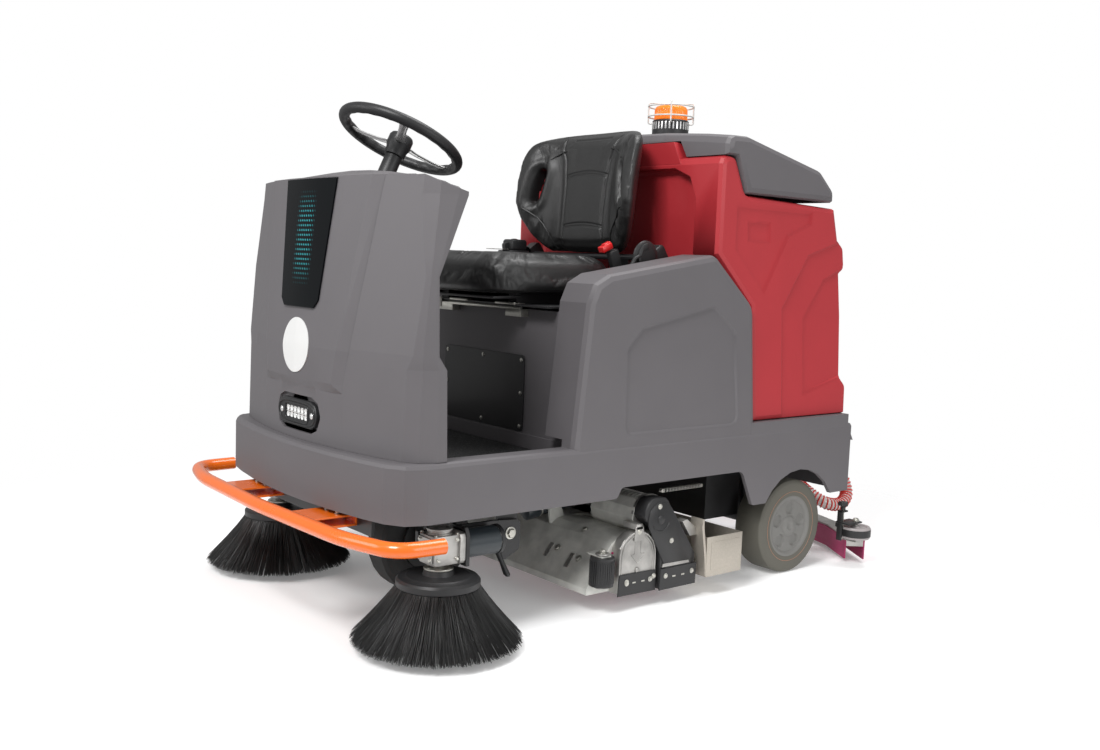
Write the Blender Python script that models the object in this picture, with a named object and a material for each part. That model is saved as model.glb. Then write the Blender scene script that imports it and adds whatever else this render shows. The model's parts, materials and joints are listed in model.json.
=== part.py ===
"""Ride-on floor scrubber with two side brooms, a cylindrical brush deck and a rear squeegee.

Metres, +Z up. The machine drives toward -Y and its left side is +X. The floor is z = 0, and the
origin is on the floor under the middle of the bounding box. Each object is one closed solid.
"""

import math

import bmesh
import bpy
import numpy as np
from mathutils import Matrix, Vector

# Clearances and the overrun of every cut
SEAT_GAP = 0.0003
PANEL_GAP = 0.002
PIN_GAP = 0.0008
RUN_GAP = 0.006
OVERRUN = 0.02
BITE = 0.004
MERGE_DISTANCE = 0.00002
SMALLEST_BISECTOR_SHARE = 0.5
SMOOTH_ANGLE = math.radians(35)
SIDES = (("left", 1), ("right", -1))

# Roundness: chord counts
FINE_STEPS = 24
ROUND_STEPS = 12
SMALL_STEPS = 8
KINGPIN_STEPS = 16
CORNER_STEPS = 2
WIRE_SIDES = 4
TUBE_SIDES = 6

# Road wheels
WHEEL_RADIUS = 0.150
REAR_AXLE_Y = 0.540
REAR_TYRE_WIDTH = 0.105
REAR_TYRE_OUTER_X = 0.470
TYRE_SHOULDER = 0.010
HUB_RADIUS = 0.098
HUB_FACE_RECESS = 0.009
HUB_RIM_WIDTH = 0.012
HUB_BOSS_RADIUS = 0.030
STUB_RADIUS = 0.015
STUB_END_WALL = 0.020
FRONT_WHEEL_Y = -0.555
FRONT_TYRE_WIDTH = 0.090
FRONT_HUB_RADIUS = 0.088
FRONT_HUB_LIP = FRONT_HUB_RADIUS / 10
FORK_PLATE_RADIUS = 0.085
FORK_PLATE_THICK = 0.016
FORK_LEG_HALF_DEPTH = 0.052
FORK_CASE_WIDTH = 0.040
FORK_WAIST_SHARE = 0.8
FORK_FOOT_SHARE = 0.7
DRIVE_MOTOR_LENGTH = 0.120

# Steel chassis
RAIL_X = 0.250
RAIL_WIDTH = 0.050
RAIL_TOP = 0.405
RAIL_HEIGHT = 0.060
RAIL_FRONT_Y = -0.900
NOSE_PLATE_THICK = 0.008
NOSE_PLATE_BOTTOM = 0.270
NOSE_PLATE_HALF_WIDTH = 0.330
RAIL_REAR_Y = 0.745
CROSS_DEPTH = 0.060
CROSS_PLACES_Y = (-0.330, 0.250, 0.700)
BEARING_PLATE_DEPTH = 0.200
BEARING_PLATE_THICK = 0.022
KINGPIN_RADIUS = 0.028
AXLE_TUBE_RADIUS = 0.026
DROP_PLATE_THICK = 0.014
DROP_PLATE_DEPTH = 0.120
DROP_PLATE_X = 0.300
DROP_PLATE_FOOT = 0.045
TROUGH_HALF_WIDTH = 0.330
TROUGH_FRONT_Y = 0.290
TROUGH_REAR_Y = 0.445
TROUGH_BOTTOM = 0.172

# Grey body shell: belt round the machine
SHELL_WALL = 0.012
BELT_HALF_WIDTH = 0.490
BELT_FRONT_Y = -0.980
BELT_BOW_DEPTH = 0.0624
BELT_CORNER_RADIUS = 0.085
BELT_BOTTOM = 0.325
BELT_TOP = 0.472
BELT_EDGE = 0.012
BELT_STEP_Y = -0.238
BELT_STEP_RISE = 0.030
BELT_STEP_RUN = 0.018
BOW_STATION_SHARES = (0.7, 0.45, 0.2, 0.0, -0.2, -0.45, -0.7)
FENDER_LEG_FRONT_Y = 0.272
FENDER_LEG_FOOT_Y = 0.324
FENDER_BOTTOM = 0.245
ARCH_RADIUS = 0.187
ARCH_CENTRE_Y = 0.547
FENDER_TAIL_Y = 0.800
FENDER_TAIL_WAIST_Y = 0.783
FENDER_TAIL_LIP_Y = 0.814
FENDER_TAIL_LIP_Z = 0.398
FENDER_TOP = 0.500
TAIL_INSET = 0.001

# Grey body shell: footwell, seat pedestal and side shells
FOOTWELL_HALF_WIDTH = 0.435
FOOTWELL_FRONT_Y = -0.800
FOOTWELL_REAR_Y = -0.352
FLOOR_TOP = 0.430
SIDE_SHELL_INNER_X = 0.362
SIDE_SHELL_OUTER_X = 0.488
SIDE_SHELL_EDGE = 0.018
SIDE_FOOT_Y = -0.398
SIDE_BROW_Y = -0.354
SIDE_BROW_Z = 0.922
SIDE_BROW_RADIUS = 0.085
SIDE_PEAK_Y = 0.112
SIDE_PEAK_Z = 0.998
SIDE_HIP_Y = 0.287
SIDE_HIP_Z = 0.850
SIDE_HEEL_Y = 0.322
SIDE_KNEE_RADIUS = 0.028
SIDE_PANEL_DEPTH = 0.006
SIDE_PANEL_SLOPE = 0.010
SIDE_PANEL_SHARES = ((0.249, 0.042), (0.242, 0.492), (0.324, 0.608), (0.711, 0.724), (0.849, 0.58),
                     (0.9, 0.042))
PEDESTAL_FRONT_Y = -0.345
PEDESTAL_REAR_Y = 0.118
PEDESTAL_TOP = 0.826
BAY_HALF_WIDTH = 0.330
BAY_FRONT_Y = -0.325
BAY_REAR_Y = 0.100

# Battery pack
BATTERY_SIDE_GAP = 0.015
BATTERY_HEIGHT = 0.370

# Front access panel
ACCESS_HALF_WIDTH = 0.200
ACCESS_BOTTOM = 0.476
ACCESS_TOP = 0.694
ACCESS_THICK = 0.003

# Front cowl
COWL_HALF_WIDTH = 0.481
COWL_BOW_DEPTH = 0.0763
COWL_FOOT_Y = -0.950
COWL_CHEST_Y = -0.945
COWL_CHEST_Z = 0.720
COWL_CROWN_Y = -0.902
COWL_CROWN_Z = 1.200
COWL_CORNER = 0.070
COWL_TOP_FRONT_Z = 1.157
COWL_TOP_CROWN_Z = 1.182
COWL_TOP_CROWN_Y = -0.800
COWL_TOP_SIDE_FALL = 0.055
COWL_TOP_REAR_FALL = 0.094
COWL_WALL = 0.010
COWL_REAR_EDGE_Y = (-0.792, -0.799, -0.822, -0.828, -0.805, -0.752)
COWL_REAR_MIDDLE_Y = (-0.790, -0.790, -0.790, -0.775, -0.745, -0.665)
COWL_STATION_Z = (BELT_TOP + SEAT_GAP, 0.694, 0.727, 0.916, 0.973, 1.110)
FIELD_PROUD = 0.011
FIELD_FOOT_HALF_WIDTH = 0.215
FIELD_HEAD_HALF_WIDTH = 0.310
FIELD_CHAMFER = 0.036
FIELD_FOOT_Z = 0.612
FIELD_FOOT_RISE = 0.022
FIELD_STATION_SHARES = (1.0, 0.5, 0.0, -0.5, -1.0)
COWL_CORNER_LIMIT_SHARE = 0.9
COWL_TOP_SHARES = (-1.0, -0.8, -0.6, -0.4, -0.2, 0.0, 0.2, 0.4, 0.6, 0.8, 1.0)

# Screen and headlamp on the cowl
SCREEN_TOP_Z = 1.152
SCREEN_BOTTOM_Z = 0.820
SCREEN_TOP_HALF_WIDTH = 0.136
SCREEN_BOTTOM_HALF_WIDTH = 0.102
SCREEN_THICK = 0.004
SCREEN_CORNER = 0.020
SCREEN_STANDOFF = 0.0005
LAMP_Z = 0.540
LAMP_HALF_WIDTH = 0.108
LAMP_HALF_HEIGHT = 0.036
LAMP_CORNER = 0.034
LAMP_POCKET_MARGIN = 0.012
LAMP_POCKET_DEPTH = 0.012
LAMP_DEPTH = 0.026
LAMP_LENS_HALF_WIDTH = 0.062
LAMP_LENS_HALF_HEIGHT = 0.020

# Steering column and wheel
STEER_TILT = math.radians(25)
STEER_HUB_Y = -0.649
STEER_HUB_Z = 1.277
STEER_RIM_RADIUS = 0.166
STEER_RIM_TUBE = 0.0155
STEER_HUB_RADIUS = 0.034
STEER_HUB_ABOVE = 0.012
STEER_HUB_BELOW = 0.052
SPOKE_WIDTH = 0.026
SPOKE_THICK = 0.007
SPOKE_DROP = 0.016
COLUMN_RADIUS = 0.024
COLUMN_LENGTH = 0.230
HUB_NECK_SHARE = 0.86
SPOKE_TURNS = tuple(math.radians(turn) for turn in (90, 210, 330))

# Dashboard
DASH_MARGIN = 0.015
DASH_HEIGHT = 0.110
DASH_THICK = 0.008
DASH_STANDOFF = 0.0015
DASH_STATION_SHARES = (0.45, 0.2, 0.0, -0.2, -0.45)

# Pedals
PEDAL_WIDTH = 0.085
PEDAL_LENGTH = 0.190
PEDAL_THICK = 0.010
PEDAL_LEAN = math.radians(38)
ACCELERATOR_X = -0.130
BRAKE_X = 0.060
BRAKE_LENGTH_SHARE = 0.6
PEDAL_HEEL_Y = -0.640

# Bumper
BUMPER_TUBE_RADIUS = 0.0185
BUMPER_Z = 0.300
BUMPER_MIDDLE_Y = -1.050
BUMPER_SHOULDER_X = 0.409
BUMPER_SHOULDER_Y = -1.034
BUMPER_CORNER_X = 0.580
BUMPER_CORNER_Y = -0.988
BUMPER_END_X = 0.588
BUMPER_END_Y = -0.866
BUMPER_BEND = 0.070
BUMPER_BRACKET_X = 0.205
BUMPER_BRACKET_WIDTH = 0.110
BUMPER_BRACKET_WALL = 0.005
BUMPER_BRACKET_HEIGHT = 0.030

# Recovery tank
TANK_HALF_WIDTH = 0.474
TANK_EDGE = 0.016
TANK_CORNER = 0.024
TANK_FRONT_Y = 0.132
TANK_FRONT_TOP_Z = 1.284
TANK_STEP_FRONT_Y = 0.190
TANK_STEP_REAR_Y = 0.240
TANK_STEP_DROP = 0.108
TANK_RIM_Z = TANK_FRONT_TOP_Z - TANK_STEP_DROP
TANK_RIM_FALL = 0.016
TANK_RIM_REAR_Z = TANK_RIM_Z - TANK_RIM_FALL
TANK_REAR_Y = 0.785
TANK_WALL = 0.012
TANK_FLOOR_Z = 0.560
TANK_SIDE_WALL = 0.030
TANK_RECESS_HALF_WIDTH = 0.373
TANK_RECESS_DEPTH = 0.030
TANK_RECESS_DROP = 0.032
TANK_RECESS_TOP = TANK_FRONT_TOP_Z - TANK_RECESS_DROP
TANK_RECESS_CORNER = 0.090
TANK_RISER_HALF_WIDTH = 0.305
TANK_RISER_SLOPE = 0.034
TANK_RISER_HEIGHT = 0.046
TANK_FACET_DEPTH = 0.006
TANK_FACET_SLOPE = 0.009
# Fields sunk in each side of the tank, in shares of its length and of its height to the rim
TANK_PANEL_SHARES = ((0.106, 0.959), (0.646, 0.954), (0.642, 0.891), (0.478, 0.831), (0.323, 0.57),
                     (0.107, 0.765))
TANK_SQUARE_SHARES = ((0.19, 0.893), (0.354, 0.896), (0.358, 0.799), (0.199, 0.799))
TANK_STEP_SHARES = ((0.502, -0.03), (0.455, 0.51), (0.628, 0.756), (0.887, 0.834), (1.069, 0.851),
                    (1.069, -0.03))
TANK_DEEP_STEP_SHARES = ((0.658, 0.098), (0.623, 0.469), (0.76, 0.643), (0.887, 0.694), (1.069, 0.71),
                         (1.069, 0.207))
TANK_REAR_SHARES = ((0.815, 1.0), (0.858, 0.853), (0.908, 0.816), (0.925, 0.715), (0.895, 0.690),
                    (0.925, 0.487), (0.950, 0.180), (0.995, 0.140), (1.0, 0.0))

# Tank lid
LID_WALL = 0.010
LID_HALF_WIDTH = 0.480
LID_EDGE = 0.018
LID_CORNER = 0.026
LID_FRONT_Y = 0.150
LID_LIP_RISE = 0.059
LID_FRONT_TOP_Z = TANK_FRONT_TOP_Z + LID_LIP_RISE
LID_BROW_Y = 0.240
LID_BROW_RISE = 0.061
LID_BROW_Z = TANK_FRONT_TOP_Z + LID_BROW_RISE
LID_BACK_Y = 0.575
LID_BACK_RISE = 0.097
LID_BACK_Z = TANK_RIM_Z + LID_BACK_RISE
LID_CROWN = 0.026
LID_STATION_SHARES = (-1.0, -0.8, -0.45, 0.0, 0.45, 0.8, 1.0)
LID_NOTCH_GAP = 0.004
LID_TAIL_Y = 0.648
LID_TAIL_Z = TANK_RIM_Z
LID_HINGE_Y = 0.664
LID_HINGE_DROP = 0.002
LID_HINGE_Z = TANK_RIM_Z - LID_HINGE_DROP
LID_HINGE_RADIUS = 0.009
LID_PIN_RADIUS = 0.004
LID_HINGE_X = 0.250
LID_KNUCKLE_HALF = 0.030
LID_EAR_THICK = 0.008

# Warning beacon
BEACON_X = 0.0
BEACON_Y = 0.385
BEACON_RADIUS = 0.055
BEACON_BASE_RADIUS = 0.060
BEACON_BASE_HEIGHT = 0.079
BEACON_FOOT_SHARE = 1.25
BEACON_SHOULDER_SHARE = 0.94
BEACON_TOP_SHARE = 0.8
BEACON_PAD_RADIUS = 0.080
BEACON_LENS_HEIGHT = 0.046
GUARD_RADIUS = 0.074
GUARD_WIRE = 0.0035
GUARD_POSTS = 4
GUARD_FOOT_WIDTH = 0.012

# Seat
SEAT_HINGE_Y = -0.372
SEAT_HINGE_RADIUS = 0.006
SEAT_PLATE_HALF_WIDTH = 0.340
SEAT_PLATE_BOTTOM = 0.834
SEAT_PLATE_THICK = 0.005
SEAT_PLATE_FRONT_Y = -0.385
SEAT_PLATE_REAR_Y = 0.090
SEAT_RAIL_X = 0.170
SEAT_RAIL_WIDTH = 0.036
SEAT_RAIL_FRONT_Y = -0.375
SEAT_RAIL_REAR_Y = 0.060
CUSHION_HALF_WIDTH = 0.255
CUSHION_FRONT_Y = -0.500
CUSHION_REAR_Y = 0.000
CUSHION_BOTTOM = 0.868
CUSHION_TOP = 0.985
CUSHION_CORNER = 0.110
CUSHION_EDGE = 0.035
BACK_HALF_WIDTH = 0.262
BACK_BOTTOM = 0.992
BACK_TOP = 1.373
BACK_FRONT_Y = 0.012
BACK_THICK = 0.078
BACK_LEAN = 0.105
BACK_WING_FORWARD = 0.085
BACK_LEAN_SHARE = 0.35
BACK_TAPER_SHARE = 0.45
BACK_COLUMN_SHARES = (-1.0, -0.86, -0.55, -0.2, 0.2, 0.55, 0.86, 1.0)
BACK_LEVEL_SHARES = ((0.0, 0.62), (0.05, 0.74), (0.14, 0.87), (0.28, 0.97), (0.55, 1.0), (0.76, 0.97),
                     (0.90, 0.87), (0.965, 0.72), (1.0, 0.52))
SLOT_X = 0.202
SLOT_HALF_WIDTH = 0.020
SLOT_BOTTOM = 1.120
SLOT_TOP = 1.255
ROUND_END_SHARE = 0.96
RECLINER_X = 0.285
RECLINER_RADIUS = SEAT_HINGE_RADIUS * 3 / 2
RECLINER_THICK = 0.030
BUCKLE_FOOT_Y = -0.045
BUCKLE_WIDTH = 0.026
BUCKLE_LENGTH = 0.125
BUCKLE_LEAN = math.radians(22)
BUCKLE_STALK_THICK = 0.006
BUCKLE_HEAD_THICK = 0.016
BUCKLE_HEAD_LENGTH = 0.055
BUCKLE_HEAD_SHARE = 1.3
TONGUE_LENGTH = 0.135
TONGUE_LEAN = math.radians(12)

# Side brooms
BROOM_X = 0.439
BROOM_Y = -0.780
BROOM_RADIUS = 0.217
BROOM_TIP_Z = 0.030
BROOM_DISC_RADIUS = 0.105
BROOM_DISC_BOTTOM = 0.158
BROOM_DISC_THICK = 0.026
BROOM_DISC_TOP_SHARE = 0.9
BROOM_DISC_FOOT_SHARE = 0.6
BROOM_HUB_RADIUS = 0.026
ARM_PIVOT_Y = -0.532
ARM_PIVOT_Z = 0.249
ARM_PIVOT_RADIUS = 0.011
ARM_X = 0.395
ARM_THICK = 0.012
GEARBOX_SIZE = 0.076
GEARBOX_BOTTOM = 0.216
GEARBOX_TOP = 0.288
GEARBOX_BOSS_RADIUS = 0.031
GEARBOX_BOSS_HEIGHT = 0.012
MOTOR_FLANGE = 0.012
BROOM_MOTOR_RADIUS = 0.036
BROOM_MOTOR_REAR_Y = -0.600
HANGER_THICK = 0.008

# Brush deck
DECK_HALF_WIDTH = 0.450
DECK_WALL = 0.008
BRUSH_FRONT_Y = -0.156
BRUSH_REAR_Y = 0.006
BRUSH_Z = 0.122
BRUSH_RADIUS = 0.073
BRUSH_CORE_RADIUS = 0.016
BRUSH_END_GAP = 0.006
DECK_FRONT_Y = -0.300
DECK_FRONT_Z = 0.072
DECK_LOW = 0.054
DECK_FLARE_ANGLE = math.radians(150)
DECK_ROLLER_OUT = 0.022
DECK_ROLLER_X = DECK_HALF_WIDTH + DECK_ROLLER_OUT
DECK_ROLLER_Y = -0.266
DECK_ROLLER_RADIUS = 0.034
DECK_ROLLER_BOTTOM = 0.084
DECK_ROLLER_TOP = 0.164
DECK_ROLLER_PIN = 0.006
DECK_ROLLER_PLATE = 0.004
DECK_CORNER_BLOCK = 0.030
TRAY_RAIL_DEPTH = 0.050
TRAY_RAIL_THICK = 0.005
COVER_THICK = 0.045
COVER_TOP_SHIFT = -0.005
COVER_TOP_Z = 0.250
COVER_TOP_RADIUS = 0.062
COVER_BOTTOM = 0.045
COVER_NECK_Z = 0.205
COVER_WHEEL_RADIUS = 0.071
DECK_MOTOR_LENGTH = 0.180
DECK_MOTOR_RADIUS = 0.058
DOOR_THICK = 0.034
SPINDLE_REACH = 0.020
DOOR_RADIUS = 0.071
DOOR_SHIFT = 0.0115
DOOR_BOTTOM = 0.052
DOOR_SPRING_Z = 0.152
LINK_FRAME_Y = -0.350
LINK_FRAME_Z = 0.300
LINK_DECK_Y = -0.200
LINK_DECK_Z = 0.240
LINK_X = 0.160
LINK_THICK = 0.012
LINK_PIN_RADIUS = 0.009
LINK_EYE_RADIUS = 0.020
LINK_SIDE_SHARE = 0.8
LINK_END_SHARE = 0.6
EAR_THICK = 0.010
EAR_CROWN = 0.015
TRAY_FRONT_Y = 0.100
TRAY_REAR_Y = 0.252
TRAY_BOTTOM = 0.062
TRAY_TOP = 0.180
TRAY_WALL = 0.003
TRAY_END_X = 0.520
TRAY_INNER_X = -0.440

# Rear squeegee
SQUEEGEE_BOW_RADIUS = 0.800
SQUEEGEE_REAR_Y = 1.016
SQUEEGEE_HALF_SPAN = 0.512
SQUEEGEE_BAR_WIDTH = 0.056
SQUEEGEE_BAR_BOTTOM = 0.055
SQUEEGEE_BAR_TOP = 0.085
BLADE_THICK = 0.005
BLADE_BOTTOM = 0.012
BLADE_TOP = 0.078
END_ROLLER_X = 0.532
END_ROLLER_Y = 0.800
END_ROLLER_RADIUS = 0.050
END_ROLLER_HEIGHT = 0.040
END_ROLLER_Z = 0.093
HITCH_PIVOT_Y = 0.640
HITCH_PIVOT_Z = 0.270
HITCH_DROP_RUN = 0.070
SWING_BARREL_TOP = 0.135
SWING_BARREL_RADIUS = 0.026
HOSE_RADIUS = 0.021
HOSE_PORT_X = 0.100
HOSE_PORT_RADIUS = 0.026
HOSE_PORT_TOP = 0.112
TANK_PORT_X = 0.260
TANK_PORT_Z = 0.700
TANK_PORT_END_Y = 0.775
HOSE_SPAN_STEPS = 2
HOSE_POINTS = ((0.106, 1.006, 0.158), (0.170, 0.930, 0.215), (0.275, 0.850, 0.205), (0.350, 0.865, 0.170),
               (0.368, 0.930, 0.160), (0.355, 0.985, 0.190), (0.325, 0.985, 0.255), (0.285, 0.925, 0.345),
               (0.262, 0.872, 0.450), (0.258, 0.860, 0.560), (0.260, 0.850, 0.650), (0.260, 0.818, 0.697))

# Colours, roughness and metallic value of each finish
FINISHES = {
    "grey_plastic": ((0.135, 0.128, 0.136), 0.55, 0.0),
    "red_plastic": ((0.520, 0.036, 0.048), 0.45, 0.0),
    "black_steel": ((0.020, 0.020, 0.021), 0.50, 0.3),
    "black_plastic": ((0.018, 0.018, 0.019), 0.35, 0.0),
    "black_gloss": ((0.008, 0.009, 0.010), 0.12, 0.0),
    "black_vinyl": ((0.014, 0.014, 0.014), 0.38, 0.0),
    "orange_paint": ((0.900, 0.170, 0.010), 0.25, 0.0),
    "zinc": ((0.620, 0.610, 0.560), 0.35, 0.9),
    "cast_aluminium": ((0.420, 0.410, 0.390), 0.50, 0.8),
    "tray_steel": ((0.470, 0.430, 0.370), 0.50, 0.5),
    "tyre_rubber": ((0.120, 0.115, 0.095), 0.75, 0.0),
    "hub_grey": ((0.190, 0.190, 0.185), 0.50, 0.2),
    "bristle": ((0.012, 0.012, 0.012), 0.60, 0.0),
    "amber": ((0.900, 0.200, 0.010), 0.20, 0.0),
    "guard_wire": ((0.750, 0.740, 0.720), 0.40, 0.2),
    "magenta_rubber": ((0.420, 0.015, 0.130), 0.50, 0.0),
    "red_hose": ((0.700, 0.030, 0.030), 0.35, 0.0),
    "mat_rubber": ((0.014, 0.014, 0.015), 0.90, 0.0),
}


def finish(name):
    """The material of this finish, made once."""
    known = bpy.data.materials.get(name)
    if known:
        return known
    colour, roughness, metallic = FINISHES[name]
    material = bpy.data.materials.new(name)
    material.use_nodes = True
    shader = material.node_tree.nodes["Principled BSDF"]
    shader.inputs["Base Color"].default_value = (*colour, 1.0)
    shader.inputs["Roughness"].default_value = roughness
    shader.inputs["Metallic"].default_value = metallic
    return material


def to_object(name, mesh_builder, coat):
    """A linked object made from a bmesh, with its faces turned out."""
    bmesh.ops.recalc_face_normals(mesh_builder, faces=mesh_builder.faces)
    mesh = bpy.data.meshes.new(name)
    mesh_builder.to_mesh(mesh)
    mesh_builder.free()
    made = bpy.data.objects.new(name, mesh)
    made.data.materials.append(finish(coat))
    bpy.context.scene.collection.objects.link(made)
    return made


def loft(name, loops, coat="black_steel", ring=False):
    """A solid through loops of equal length, capped at its ends or closed into a ring."""
    builder = bmesh.new()
    rows = [[builder.verts.new(point) for point in loop] for loop in loops]
    pairs = list(zip(rows, rows[1:]))
    if ring:
        pairs.append((rows[-1], rows[0]))
    count = len(loops[0])
    for low, high in pairs:
        for index in range(count):
            after = (index + 1) % count
            builder.faces.new((low[index], low[after], high[after], high[index]))
    if not ring:
        builder.faces.new(list(reversed(rows[0])))
        builder.faces.new(rows[-1])
    return to_object(name, builder, coat)


def placed(outline, axis, along):
    """A flat outline put at one place along an axis: XY for Z, YZ for X and XZ for Y."""
    if axis == "X":
        return [(along, u, v) for u, v in outline]
    if axis == "Y":
        return [(u, along, v) for u, v in outline]
    return [(u, v, along) for u, v in outline]


def shrunk(outline, inset):
    """The outline moved inward by the inset along each corner's bisector."""
    points = [Vector(point) for point in outline]
    count = len(points)
    area = sum(points[i].x * points[(i + 1) % count].y - points[(i + 1) % count].x * points[i].y
               for i in range(count))
    turn = 1 if area > 0 else -1
    moved = []
    for i, point in enumerate(points):
        before = (point - points[i - 1]).normalized()
        after = (points[(i + 1) % count] - point).normalized()
        inward_before = Vector((-before.y, before.x)) * turn
        inward_after = Vector((-after.y, after.x)) * turn
        bisector = inward_before + inward_after
        reach = max(bisector.dot(inward_after), SMALLEST_BISECTOR_SHARE)
        moved.append(tuple(point + bisector * (inset / reach)))
    return moved


def prism(name, outline, axis, start, end, coat="black_steel", edge=0.0, edges="both"):
    """An outline extruded along an axis, with its end edges rounded by edge."""
    loops = []
    direction = 1 if end > start else -1
    if edge and edges in ("both", "start"):
        for step in range(CORNER_STEPS):
            angle = math.pi / 2 * step / CORNER_STEPS
            loops.append((edge * (1 - math.sin(angle)), start + direction * edge * (1 - math.cos(angle))))
    loops.append((0.0, start + direction * edge if edge and edges in ("both", "start") else start))
    loops.append((0.0, end - direction * edge if edge and edges in ("both", "end") else end))
    if edge and edges in ("both", "end"):
        for step in range(1, CORNER_STEPS + 1):
            angle = math.pi / 2 * step / CORNER_STEPS
            loops.append((edge * (1 - math.cos(angle)), end - direction * edge * (1 - math.sin(angle))))
    shaped = [placed(shrunk(outline, inset) if inset else outline, axis, along)
              for inset, along in loops]
    return loft(name, shaped, coat)


def rounded(points, radii, steps=CORNER_STEPS):
    """An outline with each corner replaced by an arc of its own radius."""
    if not hasattr(radii, "__len__"):
        radii = [radii] * len(points)
    outline = []
    count = len(points)
    for i, radius in enumerate(radii):
        corner = Vector(points[i])
        if not radius:
            outline.append(tuple(corner))
            continue
        back = (Vector(points[i - 1]) - corner).normalized()
        ahead = (Vector(points[(i + 1) % count]) - corner).normalized()
        half = back.angle(ahead) / 2
        reach = radius / math.tan(half)
        centre = corner + (back + ahead).normalized() * (radius / math.sin(half))
        start = corner + back * reach - centre
        sweep = start.angle_signed(corner + ahead * reach - centre)
        for step in range(steps + 1):
            turned = Matrix.Rotation(-sweep * step / steps, 2) @ start
            outline.append(tuple(centre + turned))
    return outline


def circle(centre, radius, steps=ROUND_STEPS):
    """The corners of a regular polygon standing for a circle."""
    return [(centre[0] + radius * math.cos(2 * math.pi * i / steps),
             centre[1] + radius * math.sin(2 * math.pi * i / steps)) for i in range(steps)]


def rectangle(left, right, bottom, top):
    """Four corners in order."""
    return [(left, bottom), (right, bottom), (right, top), (left, top)]


def cylinder(name, axis, centre, radius, start, end, coat="black_steel", steps=ROUND_STEPS):
    """A round bar along an axis; centre holds its two other coordinates."""
    return prism(name, circle(centre, radius, steps), axis, start, end, coat)


def box(name, x, y, z, coat="black_steel"):
    """A block from three (low, high) pairs."""
    return prism(name, rectangle(*x, *y), "Z", *z, coat)


def turned(name, profile, axis, centre, coat, steps=ROUND_STEPS):
    """A solid of revolution. The profile holds (along, radius) pairs, and centre is a 3-D point."""
    builder = bmesh.new()
    frame = {"X": Matrix(((1, 0, 0), (0, 1, 0), (0, 0, 1))),
             "Y": Matrix(((0, 1, 0), (1, 0, 0), (0, 0, 1))),
             "Z": Matrix(((0, 0, 1), (0, 1, 0), (1, 0, 0)))}[axis]
    rows = []
    for along, radius in profile:
        if not radius:
            rows.append([builder.verts.new(Vector(centre) + frame @ Vector((along, 0, 0)))])
            continue
        ring = []
        for i in range(steps):
            angle = 2 * math.pi * i / steps
            offset = Vector((along, radius * math.cos(angle), radius * math.sin(angle)))
            ring.append(builder.verts.new(Vector(centre) + frame @ offset))
        rows.append(ring)
    closed = bool(profile[0][1] and profile[-1][1])
    pairs = list(zip(rows, rows[1:])) + ([(rows[-1], rows[0])] if closed else [])
    for low, high in pairs:
        for i in range(steps):
            j = (i + 1) % steps
            corners = [low[i % len(low)], low[j % len(low)], high[j % len(high)], high[i % len(high)]]
            builder.faces.new(list(dict.fromkeys(corners)))
    return to_object(name, builder, coat)


def smooth_route(points, steps, closed=False):
    """Points along a Catmull-Rom curve through the given points."""
    nodes = [Vector(point) for point in points]
    count = len(nodes)
    spans = count if closed else count - 1
    route = []
    for span in range(spans):
        ends = [nodes[(span + k) % count] if closed else nodes[min(max(span + k, 0), count - 1)]
                for k in (-1, 0, 1, 2)]
        for step in range(steps):
            t = step / steps
            weights = (-t + 2 * t**2 - t**3, 2 - 5 * t**2 + 3 * t**3,
                       t + 4 * t**2 - 3 * t**3, t**3 - t**2)
            route.append(sum((end * weight for end, weight in zip(ends, weights)), Vector()) / 2)
    if not closed:
        route.append(nodes[-1])
    return route


def swept(name, route, radius, coat="black_steel", sides=SMALL_STEPS, closed=False):
    """A round bar that follows a route of points."""
    points = [Vector(point) for point in route]
    count = len(points)
    tangents = []
    for i in range(count):
        before = points[i - 1] if i or closed else points[i]
        after = points[(i + 1) % count] if i < count - 1 or closed else points[i]
        tangents.append((after - before).normalized())
    side = tangents[0].orthogonal().normalized()
    loops = []
    for point, tangent in zip(points, tangents):
        side = (side - tangent * side.dot(tangent)).normalized()
        other = tangent.cross(side)
        loops.append([point + radius * (side * math.cos(2 * math.pi * k / sides)
                                        + other * math.sin(2 * math.pi * k / sides))
                      for k in range(sides)])
    return loft(name, loops, coat, ring=closed)


def combined(target, operation, tools):
    """Applies one Boolean after another and removes the tools."""
    for tool in tools:
        tool.hide_render = True
        tool.display_type = "WIRE"
        modifier = target.modifiers.new(operation.lower(), "BOOLEAN")
        modifier.operation = operation
        modifier.solver = "EXACT"
        modifier.object = tool
    graph = bpy.context.evaluated_depsgraph_get()
    mesh = bpy.data.meshes.new_from_object(target.evaluated_get(graph))
    target.modifiers.clear()
    target.data = mesh
    for tool in tools:
        bpy.data.objects.remove(tool)
    builder = bmesh.new()
    builder.from_mesh(mesh)
    bmesh.ops.remove_doubles(builder, verts=builder.verts, dist=MERGE_DISTANCE)
    bmesh.ops.dissolve_degenerate(builder, edges=builder.edges, dist=MERGE_DISTANCE)
    builder.to_mesh(mesh)
    builder.free()
    return target


def cut(target, *tools):
    """Takes the tools away from the target."""
    return combined(target, "DIFFERENCE", tools)


def join(target, *tools):
    """Adds the tools to the target."""
    return combined(target, "UNION", tools)


def tilted(target, angle, axis, pivot):
    """Turns an object's mesh about an axis through the pivot."""
    move = Matrix.Translation(pivot) @ Matrix.Rotation(angle, 4, axis) @ Matrix.Translation(-Vector(pivot))
    target.data.transform(move)
    return target


def pair(side, near, far):
    """A (low, high) pair in X on one side of the machine."""
    return tuple(sorted((side * near, side * far)))


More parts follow.
